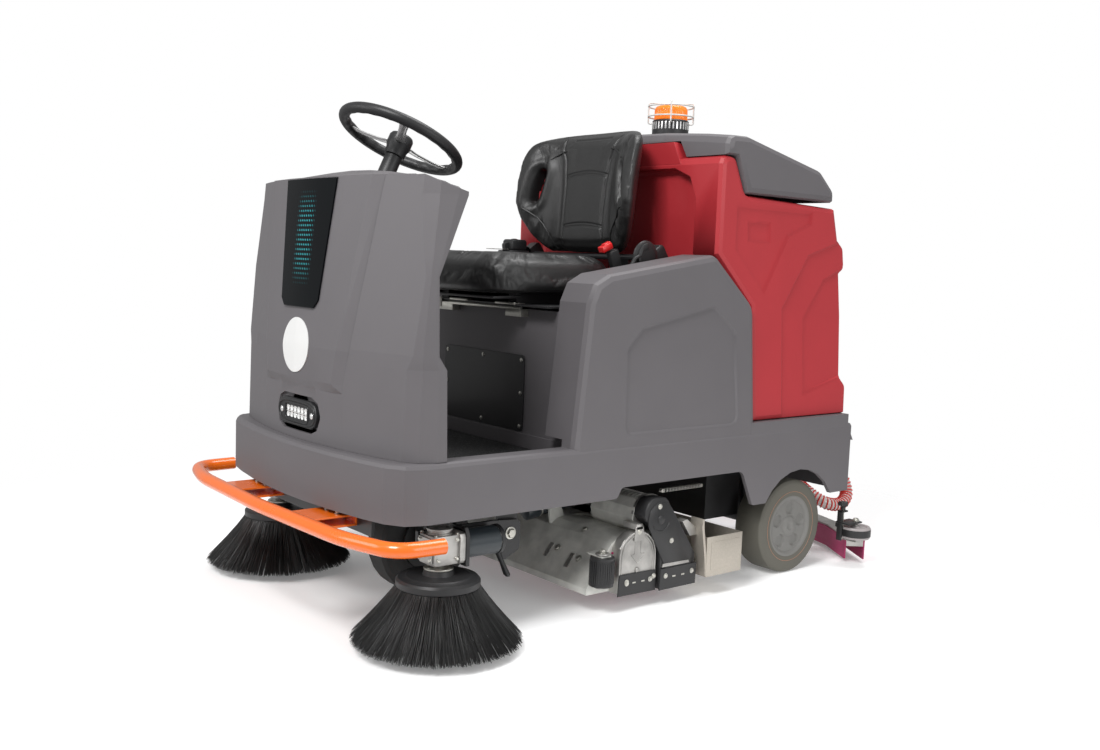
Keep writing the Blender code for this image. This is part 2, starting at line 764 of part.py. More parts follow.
def chassis_frame():
    """Two box rails with cross members, the front bearing plate and the brackets under them."""
    low = RAIL_TOP - RAIL_HEIGHT
    half = RAIL_WIDTH / 2
    frame = box("chassis_frame", (-RAIL_X - half, -RAIL_X + half), (RAIL_FRONT_Y, RAIL_REAR_Y),
                (low, RAIL_TOP), "black_steel")
    other = box("rail", (RAIL_X - half, RAIL_X + half), (RAIL_FRONT_Y, RAIL_REAR_Y), (low, RAIL_TOP))
    reach = RAIL_X - half + BITE
    crosses = [box("cross", (-reach, reach), (y - CROSS_DEPTH / 2, y + CROSS_DEPTH / 2),
                   (low + BITE, RAIL_TOP - BITE)) for y in CROSS_PLACES_Y]
    plate = box("bearing_plate", (-reach, reach),
                (FRONT_WHEEL_Y - BEARING_PLATE_DEPTH / 2, FRONT_WHEEL_Y + BEARING_PLATE_DEPTH / 2),
                (RAIL_TOP - BITE - BEARING_PLATE_THICK, RAIL_TOP - BITE))
    nose = box("nose_cross", (-reach, reach), (RAIL_FRONT_Y + BITE, RAIL_FRONT_Y + CROSS_DEPTH),
               (low + BITE, RAIL_TOP - BITE))
    nose_plate = box("nose_plate", (-NOSE_PLATE_HALF_WIDTH, NOSE_PLATE_HALF_WIDTH),
                     (RAIL_FRONT_Y - NOSE_PLATE_THICK, RAIL_FRONT_Y + BITE / 2),
                     (NOSE_PLATE_BOTTOM, RAIL_TOP - BITE * 2))
    trough = box("trough", (-TROUGH_HALF_WIDTH, TROUGH_HALF_WIDTH), (TROUGH_FRONT_Y, TROUGH_REAR_Y),
                 (TROUGH_BOTTOM, low + BITE / 2))
    join(frame, other, plate, nose, nose_plate, trough, *crosses)
    for side in (-1, 1):
        join(frame, *frame_brackets(side))
    cut(frame, cylinder("bearing_bore", "Z", (0, FRONT_WHEEL_Y), KINGPIN_RADIUS + PIN_GAP,
                        low - OVERRUN, RAIL_TOP + OVERRUN, steps=KINGPIN_STEPS))
    return frame


def frame_brackets(side):
    """The deck ear, the broom hanger and the squeegee ear of one side, all reaching into the frame."""
    low = RAIL_TOP - RAIL_HEIGHT
    ear_x = side * (LINK_X + LINK_THICK / 2 + RUN_GAP / 2)
    deck_ear = prism("deck_ear", rounded([(LINK_FRAME_Y - LINK_EYE_RADIUS, LINK_FRAME_Z - LINK_EYE_RADIUS),
                                          (LINK_FRAME_Y + LINK_EYE_RADIUS, LINK_FRAME_Z - LINK_EYE_RADIUS),
                                          (LINK_FRAME_Y + LINK_EYE_RADIUS, low + BITE * 2),
                                          (LINK_FRAME_Y - LINK_EYE_RADIUS, low + BITE * 2)],
                                         [EAR_THICK, EAR_THICK, 0, 0]),
                     "X", ear_x, ear_x + side * EAR_THICK)
    pin = cylinder("deck_pin", "X", (LINK_FRAME_Y, LINK_FRAME_Z), LINK_PIN_RADIUS,
                   side * (LINK_X - LINK_THICK / 2), ear_x + side * EAR_THICK / 2, steps=SMALL_STEPS)
    hanger_x = ARM_X - ARM_THICK / 2 - SEAT_GAP - PIN_GAP
    foot = ARM_PIVOT_Z - ARM_PIVOT_RADIUS * 2
    hanger = prism("broom_hanger", [(ARM_PIVOT_Y - ARM_PIVOT_RADIUS * 2, foot),
                                    (ARM_PIVOT_Y + ARM_PIVOT_RADIUS * 2, foot),
                                    (ARM_PIVOT_Y + ARM_PIVOT_RADIUS * 4, low + HANGER_THICK),
                                    (ARM_PIVOT_Y - ARM_PIVOT_RADIUS * 4, low + HANGER_THICK)],
                   "X", side * (hanger_x - HANGER_THICK), side * hanger_x)
    outrigger = box("outrigger", tuple(sorted((side * RAIL_X, side * hanger_x))),
                    (ARM_PIVOT_Y - ARM_PIVOT_RADIUS * 4, ARM_PIVOT_Y + ARM_PIVOT_RADIUS * 4),
                    (low + BITE, low + BITE + HANGER_THICK))
    arm_pin = cylinder("arm_pin", "X", (ARM_PIVOT_Y, ARM_PIVOT_Z), ARM_PIVOT_RADIUS,
                       side * (hanger_x - HANGER_THICK / 2), side * (ARM_X + ARM_THICK / 2 + PIN_GAP),
                       steps=SMALL_STEPS)
    squeegee_x = side * (SQUEEGEE_BAR_WIDTH + HANGER_THICK + RUN_GAP)
    squeegee_ear = box("squeegee_ear", tuple(sorted((squeegee_x, squeegee_x + side * EAR_THICK))),
                       (HITCH_PIVOT_Y - LINK_EYE_RADIUS, CROSS_PLACES_Y[-1]),
                       (HITCH_PIVOT_Z - LINK_EYE_RADIUS, low + BITE * 2))
    squeegee_pin = cylinder("squeegee_pin", "X", (HITCH_PIVOT_Y, HITCH_PIVOT_Z), LINK_PIN_RADIUS,
                            squeegee_x + side * EAR_THICK / 2, side * (SQUEEGEE_BAR_WIDTH - HANGER_THICK),
                            steps=SMALL_STEPS)
    return [deck_ear, pin, outrigger, hanger, arm_pin, squeegee_ear, squeegee_pin]


def rear_axle():
    """A tube between two drop plates, with a stub for each wheel."""
    axle = cylinder("rear_axle", "X", (REAR_AXLE_Y, WHEEL_RADIUS), AXLE_TUBE_RADIUS,
                    -DROP_PLATE_X - OVERRUN, DROP_PLATE_X + OVERRUN, "black_steel")
    top = RAIL_TOP - RAIL_HEIGHT - SEAT_GAP
    stub_end = REAR_TYRE_OUTER_X - HUB_FACE_RECESS - STUB_END_WALL - PIN_GAP * 2
    stubs = cylinder("stubs", "X", (REAR_AXLE_Y, WHEEL_RADIUS), STUB_RADIUS, -stub_end, stub_end)
    parts = [stubs]
    for side in (-1, 1):
        parts.append(prism("drop_plate", rounded(
            [(REAR_AXLE_Y - DROP_PLATE_DEPTH / 2, top),
             (REAR_AXLE_Y - DROP_PLATE_FOOT, WHEEL_RADIUS - DROP_PLATE_FOOT),
             (REAR_AXLE_Y + DROP_PLATE_FOOT, WHEEL_RADIUS - DROP_PLATE_FOOT),
             (REAR_AXLE_Y + DROP_PLATE_DEPTH / 2, top)], [0, DROP_PLATE_FOOT / 3, DROP_PLATE_FOOT / 3, 0]),
            "X", side * DROP_PLATE_X, side * (DROP_PLATE_X - DROP_PLATE_THICK)))
        rail_in = RAIL_X - RAIL_WIDTH / 2
        parts.append(box("foot", tuple(sorted((side * rail_in, side * (DROP_PLATE_X - BITE)))),
                         (REAR_AXLE_Y - DROP_PLATE_DEPTH / 2, REAR_AXLE_Y + DROP_PLATE_DEPTH / 2),
                         (top - HANGER_THICK, top)))
    return join(axle, *parts)


def plan_front(half_width, front_y, bow_depth, corner, rear_y):
    """A plan outline whose front bows toward the middle and whose front corners are round."""
    side_y = front_y + bow_depth * (half_width / BELT_HALF_WIDTH) ** 2
    bow_points = [(half_width * share, front_y + (side_y - front_y) * share ** 2)
                  for share in BOW_STATION_SHARES]
    points = [(half_width, rear_y), (half_width, side_y)] + bow_points + [(-half_width, side_y),
                                                                        (-half_width, rear_y)]
    radii = [0, corner] + [0] * len(bow_points) + [corner, 0]
    return rounded(points, radii)


def field_points(shares, y, z):
    """Points given in shares of two spans, in YZ."""
    return [(y[0] + (y[1] - y[0]) * u, z[0] + (z[1] - z[0]) * v) for u, v in shares]


def sunk_field(name, outline, surface_x, depth, slope):
    """A cutter that sinks a field with sloping sides into a side face, positive or negative in X."""
    step = math.copysign(depth, surface_x)
    return loft(name, [placed(shrunk(outline, slope), "X", surface_x - step),
                       placed(shrunk(outline, -slope), "X", surface_x + step)])


def side_shell_outline(inset=0.0):
    """The side shell in YZ, from its foot up over the brow, peak and hip to the heel."""
    root = -OVERRUN if inset else (FLOOR_TOP + RAIL_TOP) / 2
    points = [(SIDE_FOOT_Y, root), (SIDE_FOOT_Y, BELT_TOP - BELT_EDGE),
              (SIDE_BROW_Y, SIDE_BROW_Z), (SIDE_PEAK_Y, SIDE_PEAK_Z),
              (SIDE_HIP_Y, SIDE_HIP_Z), (SIDE_HEEL_Y, FENDER_TOP - OVERRUN), (SIDE_HEEL_Y, root)]
    radii = [0, 0, SIDE_BROW_RADIUS, SIDE_KNEE_RADIUS, SIDE_KNEE_RADIUS * 2, 0, 0]
    outline = rounded(points, radii)
    return shrunk(outline, inset) if inset else outline


def belt_side_cut():
    """Everything under the belt's stepped lower edge and its rear fender, in YZ."""
    floor = -OVERRUN
    front = BELT_FRONT_Y - OVERRUN
    rear = FENDER_TAIL_LIP_Y + OVERRUN
    mid_bottom = BELT_BOTTOM + BELT_STEP_RISE
    points = [(front, floor), (front, BELT_BOTTOM), (BELT_STEP_Y, BELT_BOTTOM),
              (BELT_STEP_Y + BELT_STEP_RUN, mid_bottom), (FENDER_LEG_FRONT_Y, mid_bottom),
              (FENDER_LEG_FOOT_Y, FENDER_BOTTOM), (rear, FENDER_BOTTOM), (rear, floor)]
    radii = [0, 0, BELT_EDGE, BELT_EDGE, BELT_EDGE * 2, BELT_EDGE, 0, 0]
    return prism("belt_side_cut", rounded(points, radii), "X",
                 -BELT_HALF_WIDTH - OVERRUN, BELT_HALF_WIDTH + OVERRUN)


def body_shell():
    """The grey moulding: belt, entry sills, seat pedestal, side shells and rear fenders."""
    belt_plan = plan_front(BELT_HALF_WIDTH, BELT_FRONT_Y, BELT_BOW_DEPTH, BELT_CORNER_RADIUS,
                           FENDER_TAIL_Y)
    shell = prism("body_shell", belt_plan, "Z", FENDER_BOTTOM - OVERRUN, BELT_TOP, "grey_plastic",
                  BELT_EDGE, "end")
    tail = prism("tail", [(SIDE_HEEL_Y - OVERRUN, BELT_TOP - OVERRUN),
                          (FENDER_TAIL_LIP_Y, BELT_TOP - OVERRUN * 3),
                          (FENDER_TAIL_WAIST_Y, BELT_TOP - OVERRUN / 2), (FENDER_TAIL_WAIST_Y, FENDER_TOP),
                          (SIDE_HEEL_Y - OVERRUN, FENDER_TOP)],
                 "X", -BELT_HALF_WIDTH + TAIL_INSET, BELT_HALF_WIDTH - TAIL_INSET)
    shells = []
    for side in (-1, 1):
        shells.append(prism("side_shell", side_shell_outline(), "X", side * SIDE_SHELL_INNER_X,
                            side * SIDE_SHELL_OUTER_X, edge=SIDE_SHELL_EDGE, edges="end"))
    pedestal = box("pedestal", (-SIDE_SHELL_INNER_X - OVERRUN, SIDE_SHELL_INNER_X + OVERRUN),
                   (PEDESTAL_FRONT_Y, PEDESTAL_REAR_Y), (FLOOR_TOP, PEDESTAL_TOP))
    join(shell, tail, pedestal, *shells)
    cut(shell, belt_side_cut())
    cut(shell, *shell_hollows())
    panel = rounded(field_points(SIDE_PANEL_SHARES, (SIDE_FOOT_Y, SIDE_HEEL_Y), (BELT_TOP, SIDE_PEAK_Z)),
                    SIDE_KNEE_RADIUS, 2)
    return cut(shell, *[sunk_field("side_panel", panel, side * SIDE_SHELL_OUTER_X, SIDE_PANEL_DEPTH,
                                   SIDE_PANEL_SLOPE) for side in (-1, 1)])


def shell_hollows():
    """The footwell, the battery bay, the space under the floor, the side hollows and the arches."""
    footwell = prism("footwell", rounded(rectangle(-FOOTWELL_HALF_WIDTH, FOOTWELL_HALF_WIDTH,
                                                   FOOTWELL_FRONT_Y, FOOTWELL_REAR_Y),
                                         [BELT_EDGE, 0, 0, BELT_EDGE]),
                     "Z", FLOOR_TOP, BELT_TOP + OVERRUN)
    bay = box("bay", (-BAY_HALF_WIDTH, BAY_HALF_WIDTH), (BAY_FRONT_Y, BAY_REAR_Y),
              (-OVERRUN, PEDESTAL_TOP + OVERRUN))
    inner_plan = plan_front(BELT_HALF_WIDTH - SHELL_WALL, BELT_FRONT_Y + SHELL_WALL, BELT_BOW_DEPTH,
                            BELT_CORNER_RADIUS - SHELL_WALL, SIDE_HEEL_Y)
    under_floor = prism("under_floor", inner_plan, "Z", -OVERRUN, RAIL_TOP + SEAT_GAP)
    tank_bay_half = BELT_HALF_WIDTH - SHELL_WALL - TAIL_INSET
    under_tank = box("under_tank", (-tank_bay_half, tank_bay_half),
                     (SIDE_HEEL_Y - OVERRUN, FENDER_TAIL_Y - SHELL_WALL),
                     (-OVERRUN, FENDER_TOP - SHELL_WALL))
    hollows = [footwell, under_floor, under_tank, bay]
    for side in (-1, 1):
        hollows.append(prism("side_hollow", side_shell_outline(SHELL_WALL), "X",
                             side * (SIDE_SHELL_INNER_X + SHELL_WALL),
                             side * (SIDE_SHELL_OUTER_X - SHELL_WALL)))
        hollows.append(cylinder("arch", "X", (ARCH_CENTRE_Y, WHEEL_RADIUS), ARCH_RADIUS,
                                side * (BELT_HALF_WIDTH + OVERRUN),
                                side * (REAR_TYRE_OUTER_X - REAR_TYRE_WIDTH - OVERRUN), steps=FINE_STEPS))
    return hollows


def battery_pack():
    """The closed traction battery as one plain block on the rails."""
    half = BAY_HALF_WIDTH - BATTERY_SIDE_GAP
    return prism("battery_pack", rounded(rectangle(-half, half, BAY_FRONT_Y + BATTERY_SIDE_GAP,
                                                   BAY_REAR_Y - BATTERY_SIDE_GAP), BELT_EDGE),
                 "Z", RAIL_TOP + SEAT_GAP, RAIL_TOP + SEAT_GAP + BATTERY_HEIGHT, "black_plastic")


def access_panel():
    """The black plate screwed to the front of the seat pedestal."""
    rear = PEDESTAL_FRONT_Y - SEAT_GAP
    return prism("access_panel", rounded(rectangle(-ACCESS_HALF_WIDTH, ACCESS_HALF_WIDTH,
                                                   ACCESS_BOTTOM, ACCESS_TOP), BELT_EDGE),
                 "Y", rear - ACCESS_THICK, rear, "black_steel")


def floor_mat():
    """The gritty mat that lies in the footwell."""
    half = FOOTWELL_HALF_WIDTH - RUN_GAP
    return prism("floor_mat", rounded(rectangle(-half, half, FOOTWELL_FRONT_Y + RUN_GAP,
                                                PEDESTAL_FRONT_Y - RUN_GAP * 3), BELT_EDGE),
                 "Z", FLOOR_TOP + SEAT_GAP, FLOOR_TOP + SEAT_GAP + RUN_GAP, "mat_rubber")


def cowl_front_y(z):
    """How far forward the middle of the cowl's face lies at this height."""
    if z < COWL_CHEST_Z:
        share = (z - BELT_TOP) / (COWL_CHEST_Z - BELT_TOP)
        return COWL_FOOT_Y + (COWL_CHEST_Y - COWL_FOOT_Y) * share
    share = (z - COWL_CHEST_Z) / (COWL_CROWN_Z - COWL_CHEST_Z)
    return COWL_CHEST_Y + (COWL_CROWN_Y - COWL_CHEST_Y) * share


def cowl_bow(x):
    """How far the cowl's face falls back at this distance from its middle."""
    return COWL_BOW_DEPTH * (x / COWL_HALF_WIDTH) ** 2


def cowl_section(z, rear_edge_y, rear_middle_y, wall=0.0):
    """The cowl's plan at one height: bowed face, round corners and a bowed driver's side."""
    half = COWL_HALF_WIDTH - wall
    front = cowl_front_y(z) + wall
    corner_y = front + cowl_bow(half)
    rear_edge = rear_edge_y - wall * 2
    rear_middle = rear_middle_y - wall
    rear_points = [(-half * share, rear_middle + (rear_edge - rear_middle) * share ** 2)
                   for share in BOW_STATION_SHARES]
    bow_points = [(half * share, front + cowl_bow(half * share)) for share in BOW_STATION_SHARES]
    points = [(half, rear_edge), (half, corner_y)] + bow_points + [(-half, corner_y), (-half, rear_edge)]
    points += rear_points
    corner = min(COWL_CORNER, (rear_edge - corner_y) * COWL_CORNER_LIMIT_SHARE)
    radii = [0, corner] + [0] * len(bow_points) + [corner, 0] + [0] * len(rear_points)
    return [(x, y, z) for x, y in rounded(points, radii)]


def cowl_body(name, wall, coat="grey_plastic"):
    """The cowl as a loft of plan sections from the belt to above its crown."""
    stations = list(zip(COWL_STATION_Z, COWL_REAR_EDGE_Y, COWL_REAR_MIDDLE_Y))
    stations.append((COWL_CROWN_Z, COWL_REAR_EDGE_Y[-1], COWL_REAR_MIDDLE_Y[-1]))
    if wall:
        stations[0] = (COWL_STATION_Z[0] - OVERRUN, *stations[0][1:])
        stations[-1] = (COWL_TOP_FRONT_Z - COWL_TOP_REAR_FALL, *stations[-1][1:])
        stations = [row for row in stations[:-1] if row[0] < stations[-1][0]] + [stations[-1]]
    return loft(name, [cowl_section(z, edge, middle, wall) for z, edge, middle in stations], coat)


def cowl_top_cut():
    """Everything above the cowl's crowned top, which falls to both sides and to the driver."""
    loops = []
    for share in COWL_TOP_SHARES:
        x = (COWL_HALF_WIDTH + OVERRUN) * share
        fall = COWL_TOP_SIDE_FALL * share ** 2
        rear_fall = COWL_TOP_REAR_FALL * share ** 2
        loops.append(placed([(COWL_FOOT_Y - OVERRUN, COWL_TOP_FRONT_Z - OVERRUN / 4),
                             (cowl_front_y(COWL_TOP_FRONT_Z) + cowl_bow(x), COWL_TOP_FRONT_Z),
                             (COWL_TOP_CROWN_Y, COWL_TOP_CROWN_Z - fall),
                             (COWL_REAR_MIDDLE_Y[-1] + OVERRUN, COWL_TOP_CROWN_Z - rear_fall),
                             (COWL_REAR_MIDDLE_Y[-1] + OVERRUN, COWL_CROWN_Z + OVERRUN),
                             (COWL_FOOT_Y - OVERRUN, COWL_CROWN_Z + OVERRUN)], "X", x))
    return loft("cowl_top_cut", loops)


def cowl_field():
    """The raised middle field of the cowl, chamfered down each side and at its foot."""
    loops = []
    for z, outer, proud in ((FIELD_FOOT_Z, FIELD_FOOT_HALF_WIDTH, 0.0),
                            (FIELD_FOOT_Z + FIELD_FOOT_RISE, FIELD_FOOT_HALF_WIDTH, FIELD_PROUD),
                            (COWL_CHEST_Z, field_half_width(COWL_CHEST_Z), FIELD_PROUD),
                            (COWL_CROWN_Z, FIELD_HEAD_HALF_WIDTH, FIELD_PROUD)):
        front = cowl_front_y(z)
        inner = outer - FIELD_CHAMFER
        face = [(inner * share, front - proud + cowl_bow(inner * share))
                for share in FIELD_STATION_SHARES]
        edge_y = front + cowl_bow(outer)
        loops.append([(x, y, z) for x, y in
                      [(outer, edge_y + OVERRUN), (outer, edge_y)] + face
                      + [(-outer, edge_y), (-outer, edge_y + OVERRUN)]])
    return loft("cowl_field", loops)


def field_half_width(z):
    """Half the width of the raised field at this height."""
    share = (z - FIELD_FOOT_Z) / (COWL_CROWN_Z - FIELD_FOOT_Z)
    return FIELD_FOOT_HALF_WIDTH + (FIELD_HEAD_HALF_WIDTH - FIELD_FOOT_HALF_WIDTH) * share


def front_cowl():
    """The hollow front cowl with its raised field, lamp pocket and column opening."""
    cowl = cowl_body("front_cowl", 0.0)
    join(cowl, cowl_field())
    cut(cowl, cowl_top_cut())
    cut(cowl, cowl_body("cowl_hollow", COWL_WALL))
    pocket = prism("lamp_pocket", lamp_outline(LAMP_POCKET_MARGIN), "Y",
                   COWL_FOOT_Y - OVERRUN, cowl_front_y(LAMP_Z) + LAMP_POCKET_DEPTH)
    cut(cowl, pocket, lamp_bore())
    cut(cowl, column_bar("column_bore", COLUMN_RADIUS + PIN_GAP, COLUMN_LENGTH + OVERRUN))
    return cowl


def lamp_outline(margin):
    """The headlamp's oval outline in XZ, grown by a margin."""
    half_w = LAMP_HALF_WIDTH + margin
    half_h = LAMP_HALF_HEIGHT + margin
    return rounded(rectangle(-half_w, half_w, LAMP_Z - half_h, LAMP_Z + half_h),
                   min(LAMP_CORNER + margin, half_h * COWL_CORNER_LIMIT_SHARE))


def lamp_bore():
    """The hole in the cowl that the lamp's body passes through."""
    return prism("lamp_bore", rectangle(-LAMP_LENS_HALF_WIDTH - PIN_GAP, LAMP_LENS_HALF_WIDTH + PIN_GAP,
                                        LAMP_Z - LAMP_LENS_HALF_HEIGHT - PIN_GAP,
                                        LAMP_Z + LAMP_LENS_HALF_HEIGHT + PIN_GAP), "Y",
                 COWL_FOOT_Y - OVERRUN, cowl_front_y(LAMP_Z) + COWL_WALL * 4)


def headlamp():
    """An oval black bezel with a rectangular lamp body behind it."""
    seat = cowl_front_y(LAMP_Z) + LAMP_POCKET_DEPTH - SEAT_GAP
    lamp = prism("headlamp", lamp_outline(0), "Y", seat - LAMP_POCKET_DEPTH, seat, "black_plastic",
                 RUN_GAP / 2, "start")
    body = prism("lamp_body", rectangle(-LAMP_LENS_HALF_WIDTH, LAMP_LENS_HALF_WIDTH,
                                        LAMP_Z - LAMP_LENS_HALF_HEIGHT, LAMP_Z + LAMP_LENS_HALF_HEIGHT),
                 "Y", seat - BITE, seat + LAMP_DEPTH - LAMP_POCKET_DEPTH)
    window = prism("lamp_window", rectangle(-LAMP_LENS_HALF_WIDTH + BITE, LAMP_LENS_HALF_WIDTH - BITE,
                                            LAMP_Z - LAMP_LENS_HALF_HEIGHT + BITE,
                                            LAMP_Z + LAMP_LENS_HALF_HEIGHT - BITE), "Y",
                   seat - LAMP_POCKET_DEPTH - OVERRUN, seat - LAMP_POCKET_DEPTH / 2)
    join(lamp, body)
    return cut(lamp, window)


def cowl_screen():
    """The black tapering panel on the raised field."""
    loops = []
    for z, half in ((SCREEN_BOTTOM_Z, SCREEN_BOTTOM_HALF_WIDTH - SCREEN_CORNER),
                    (SCREEN_BOTTOM_Z + SCREEN_CORNER, SCREEN_BOTTOM_HALF_WIDTH),
                    (SCREEN_TOP_Z, SCREEN_TOP_HALF_WIDTH)):
        face = cowl_front_y(z) - FIELD_PROUD - SEAT_GAP
        front = [(half * share, face - SCREEN_THICK + cowl_bow(half * share))
                 for share in FIELD_STATION_SHARES]
        back = [(x, y + SCREEN_THICK) for x, y in reversed(front)]
        loops.append([(x, y - SCREEN_STANDOFF, z) for x, y in front + back])
    return loft("cowl_screen", loops, "black_gloss")


def column_bar(name, radius, length, start=0.0, coat="black_plastic"):
    """A bar on the steering axis that ends a start length under the wheel's centre."""
    centre = Vector((0, STEER_HUB_Y, STEER_HUB_Z))
    bar = turned(name, [(-start - length, 0), (-start - length, radius), (-start, radius), (-start, 0)],
                 "Z", centre, coat, SMALL_STEPS * 2)
    return tilted(bar, -STEER_TILT, "X", centre)


def steering_column():
    """The fixed column tube between the cowl and the wheel's hub."""
    start = STEER_HUB_BELOW + SEAT_GAP
    return column_bar("steering_column", COLUMN_RADIUS, COLUMN_LENGTH - start, start)


def steering_wheel():
    """The rim, three dished spokes and the hub, built flat and tilted toward the driver."""
    centre = Vector((0, STEER_HUB_Y, STEER_HUB_Z))
    circle_route = [centre + Vector((x, y, 0)) for x, y in circle((0, 0), STEER_RIM_RADIUS, FINE_STEPS)]
    wheel = swept("steering_wheel", circle_route, STEER_RIM_TUBE, "black_plastic", TUBE_SIDES, closed=True)
    hub = turned("hub", [(-STEER_HUB_BELOW, 0), (-STEER_HUB_BELOW, STEER_HUB_RADIUS * HUB_NECK_SHARE),
                         (-STEER_HUB_BELOW / 2, STEER_HUB_RADIUS), (STEER_HUB_ABOVE / 2, STEER_HUB_RADIUS),
                         (STEER_HUB_ABOVE, STEER_HUB_RADIUS * HUB_NECK_SHARE), (STEER_HUB_ABOVE, 0)],
                 "Z", centre, "black_plastic")
    spokes = []
    for turn in SPOKE_TURNS:
        low = STEER_HUB_RADIUS - BITE
        high = STEER_RIM_RADIUS
        half = SPOKE_WIDTH / 2
        spoke = loft("spoke", [[(low, -half, -SPOKE_DROP), (low, half, -SPOKE_DROP),
                                (low, half, -SPOKE_DROP + SPOKE_THICK),
                                (low, -half, -SPOKE_DROP + SPOKE_THICK)],
                               [(high, -half, -SPOKE_THICK / 2), (high, half, -SPOKE_THICK / 2),
                                (high, half, SPOKE_THICK / 2), (high, -half, SPOKE_THICK / 2)]])
        spoke.data.transform(Matrix.Translation(centre) @ Matrix.Rotation(turn, 4, "Z"))
        spokes.append(spoke)
    join(wheel, hub, *spokes)
    return tilted(wheel, -STEER_TILT, "X", centre)


def cowl_rear_y(share, z):
    """The cowl's driver-side surface at a share of its half width and a height."""
    edge = float(np.interp(z, COWL_STATION_Z, COWL_REAR_EDGE_Y))
    middle = float(np.interp(z, COWL_STATION_Z, COWL_REAR_MIDDLE_Y))
    return middle + (edge - middle) * share ** 2


def dashboard():
    """The instrument plate on the sloping driver's side of the cowl, under the column."""
    top = COWL_STATION_Z[-1] - DASH_MARGIN
    loops = []
    for z in (top - DASH_HEIGHT, top):
        face = [(COWL_HALF_WIDTH * share, cowl_rear_y(share, z) + DASH_STANDOFF, z)
                for share in DASH_STATION_SHARES]
        outer = [(x, y + DASH_THICK, z) for x, y, z in reversed(face)]
        loops.append(face + outer)
    return loft("dashboard", loops, "black_plastic")


def pedal(name, x, foot_length):
    """A hinged floor pedal plate with its heel on the mat."""
    heel_z = FLOOR_TOP + SEAT_GAP * 2 + RUN_GAP
    plate = prism(name, rounded(rectangle(x - PEDAL_WIDTH / 2, x + PEDAL_WIDTH / 2,
                                          PEDAL_HEEL_Y - foot_length, PEDAL_HEEL_Y), BELT_EDGE),
                  "Z", heel_z, heel_z + PEDAL_THICK, "black_plastic")
    tilted(plate, -PEDAL_LEAN, "X", (x, PEDAL_HEEL_Y, heel_z))
    foot = box("pedal_foot", (x - PEDAL_WIDTH / 3, x + PEDAL_WIDTH / 3),
               (PEDAL_HEEL_Y - PEDAL_THICK * 3, PEDAL_HEEL_Y - PEDAL_THICK / 3),
               (heel_z, heel_z + PEDAL_THICK))
    return join(plate, foot)


def bumper_route():
    """The bumper tube's centreline round the nose, from its right rear end to its left one."""
    half = [(BUMPER_END_X, BUMPER_END_Y), (BUMPER_CORNER_X, BUMPER_CORNER_Y),
            (BUMPER_SHOULDER_X, BUMPER_SHOULDER_Y)]
    points = half + [(0, BUMPER_MIDDLE_Y)] + [(-x, y) for x, y in reversed(half)]
    radii = [0, BUMPER_BEND, BUMPER_BEND * 4, BUMPER_BEND * 8, BUMPER_BEND * 4, BUMPER_BEND, 0]
    return [(x, y, BUMPER_Z) for x, y in rounded(points, radii)]


def bumper_bar():
    """The orange tube that guards both side brooms, with the two channels that bolt it on."""
    bar = swept("bumper_bar", bumper_route(), BUMPER_TUBE_RADIUS, "orange_paint", SMALL_STEPS)
    top = BUMPER_Z + BUMPER_BRACKET_HEIGHT / 2
    low = BUMPER_Z - BUMPER_BRACKET_HEIGHT / 2
    for side in (-1, 1):
        near = BUMPER_BRACKET_X - BUMPER_BRACKET_WIDTH / 2
        far = BUMPER_BRACKET_X + BUMPER_BRACKET_WIDTH / 2
        channel = box("channel", pair(side, near, far), (bumper_y(near), nose_plate_y()), (low, top))
        slot = box("channel_slot", pair(side, near - OVERRUN, far + OVERRUN),
                   (bumper_y(far) + BUMPER_TUBE_RADIUS, nose_plate_y() - BUMPER_BRACKET_WALL),
                   (low + BUMPER_BRACKET_WALL, top - BUMPER_BRACKET_WALL))
        join(bar, cut(channel, slot))
    return bar


def nose_plate_y():
    """Where the bumper's channels end, just in front of the frame's nose plate."""
    return RAIL_FRONT_Y - NOSE_PLATE_THICK - SEAT_GAP


def bumper_y(x):
    """The tube's centre Y in front at this X."""
    front = [point for point in bumper_route() if abs(point[0]) <= BUMPER_SHOULDER_X]
    front.sort()
    return float(np.interp(x, [point[0] for point in front], [point[1] for point in front]))


def tank_outline():
    """The recovery tank's side outline in YZ."""
    bottom = FENDER_TOP + SEAT_GAP
    height = TANK_RIM_REAR_Z - bottom
    rear = [(TANK_FRONT_Y + (TANK_REAR_Y - TANK_FRONT_Y) * u, bottom + height * v)
            for u, v in TANK_REAR_SHARES]
    seam = PANEL_GAP
    lower_front = [(SIDE_HEEL_Y + seam, bottom), (SIDE_HIP_Y + seam * 2, SIDE_HIP_Z),
                   (TANK_FRONT_Y, SIDE_PEAK_Z + seam)]
    upper = [(TANK_FRONT_Y, TANK_FRONT_TOP_Z),
             (TANK_STEP_FRONT_Y, TANK_FRONT_TOP_Z), (TANK_STEP_REAR_Y, TANK_RIM_Z)]
    points = lower_front + upper + rear
    radii = [0, 0, 0, TANK_CORNER, TANK_CORNER, TANK_CORNER]
    radii += [0, 0, TANK_CORNER, TANK_CORNER, 0, 0, 0, TANK_CORNER, 0]
    return rounded(points, radii, 2)


def lip_block(name, half_width, y, low, high):
    """A block across the tank's front edge whose ends slope in toward its top."""
    top_half = half_width - TANK_RISER_SLOPE
    outline = [(-half_width, low), (half_width, low), (top_half, high), (-top_half, high)]
    return prism(name, outline, "Y", *y)


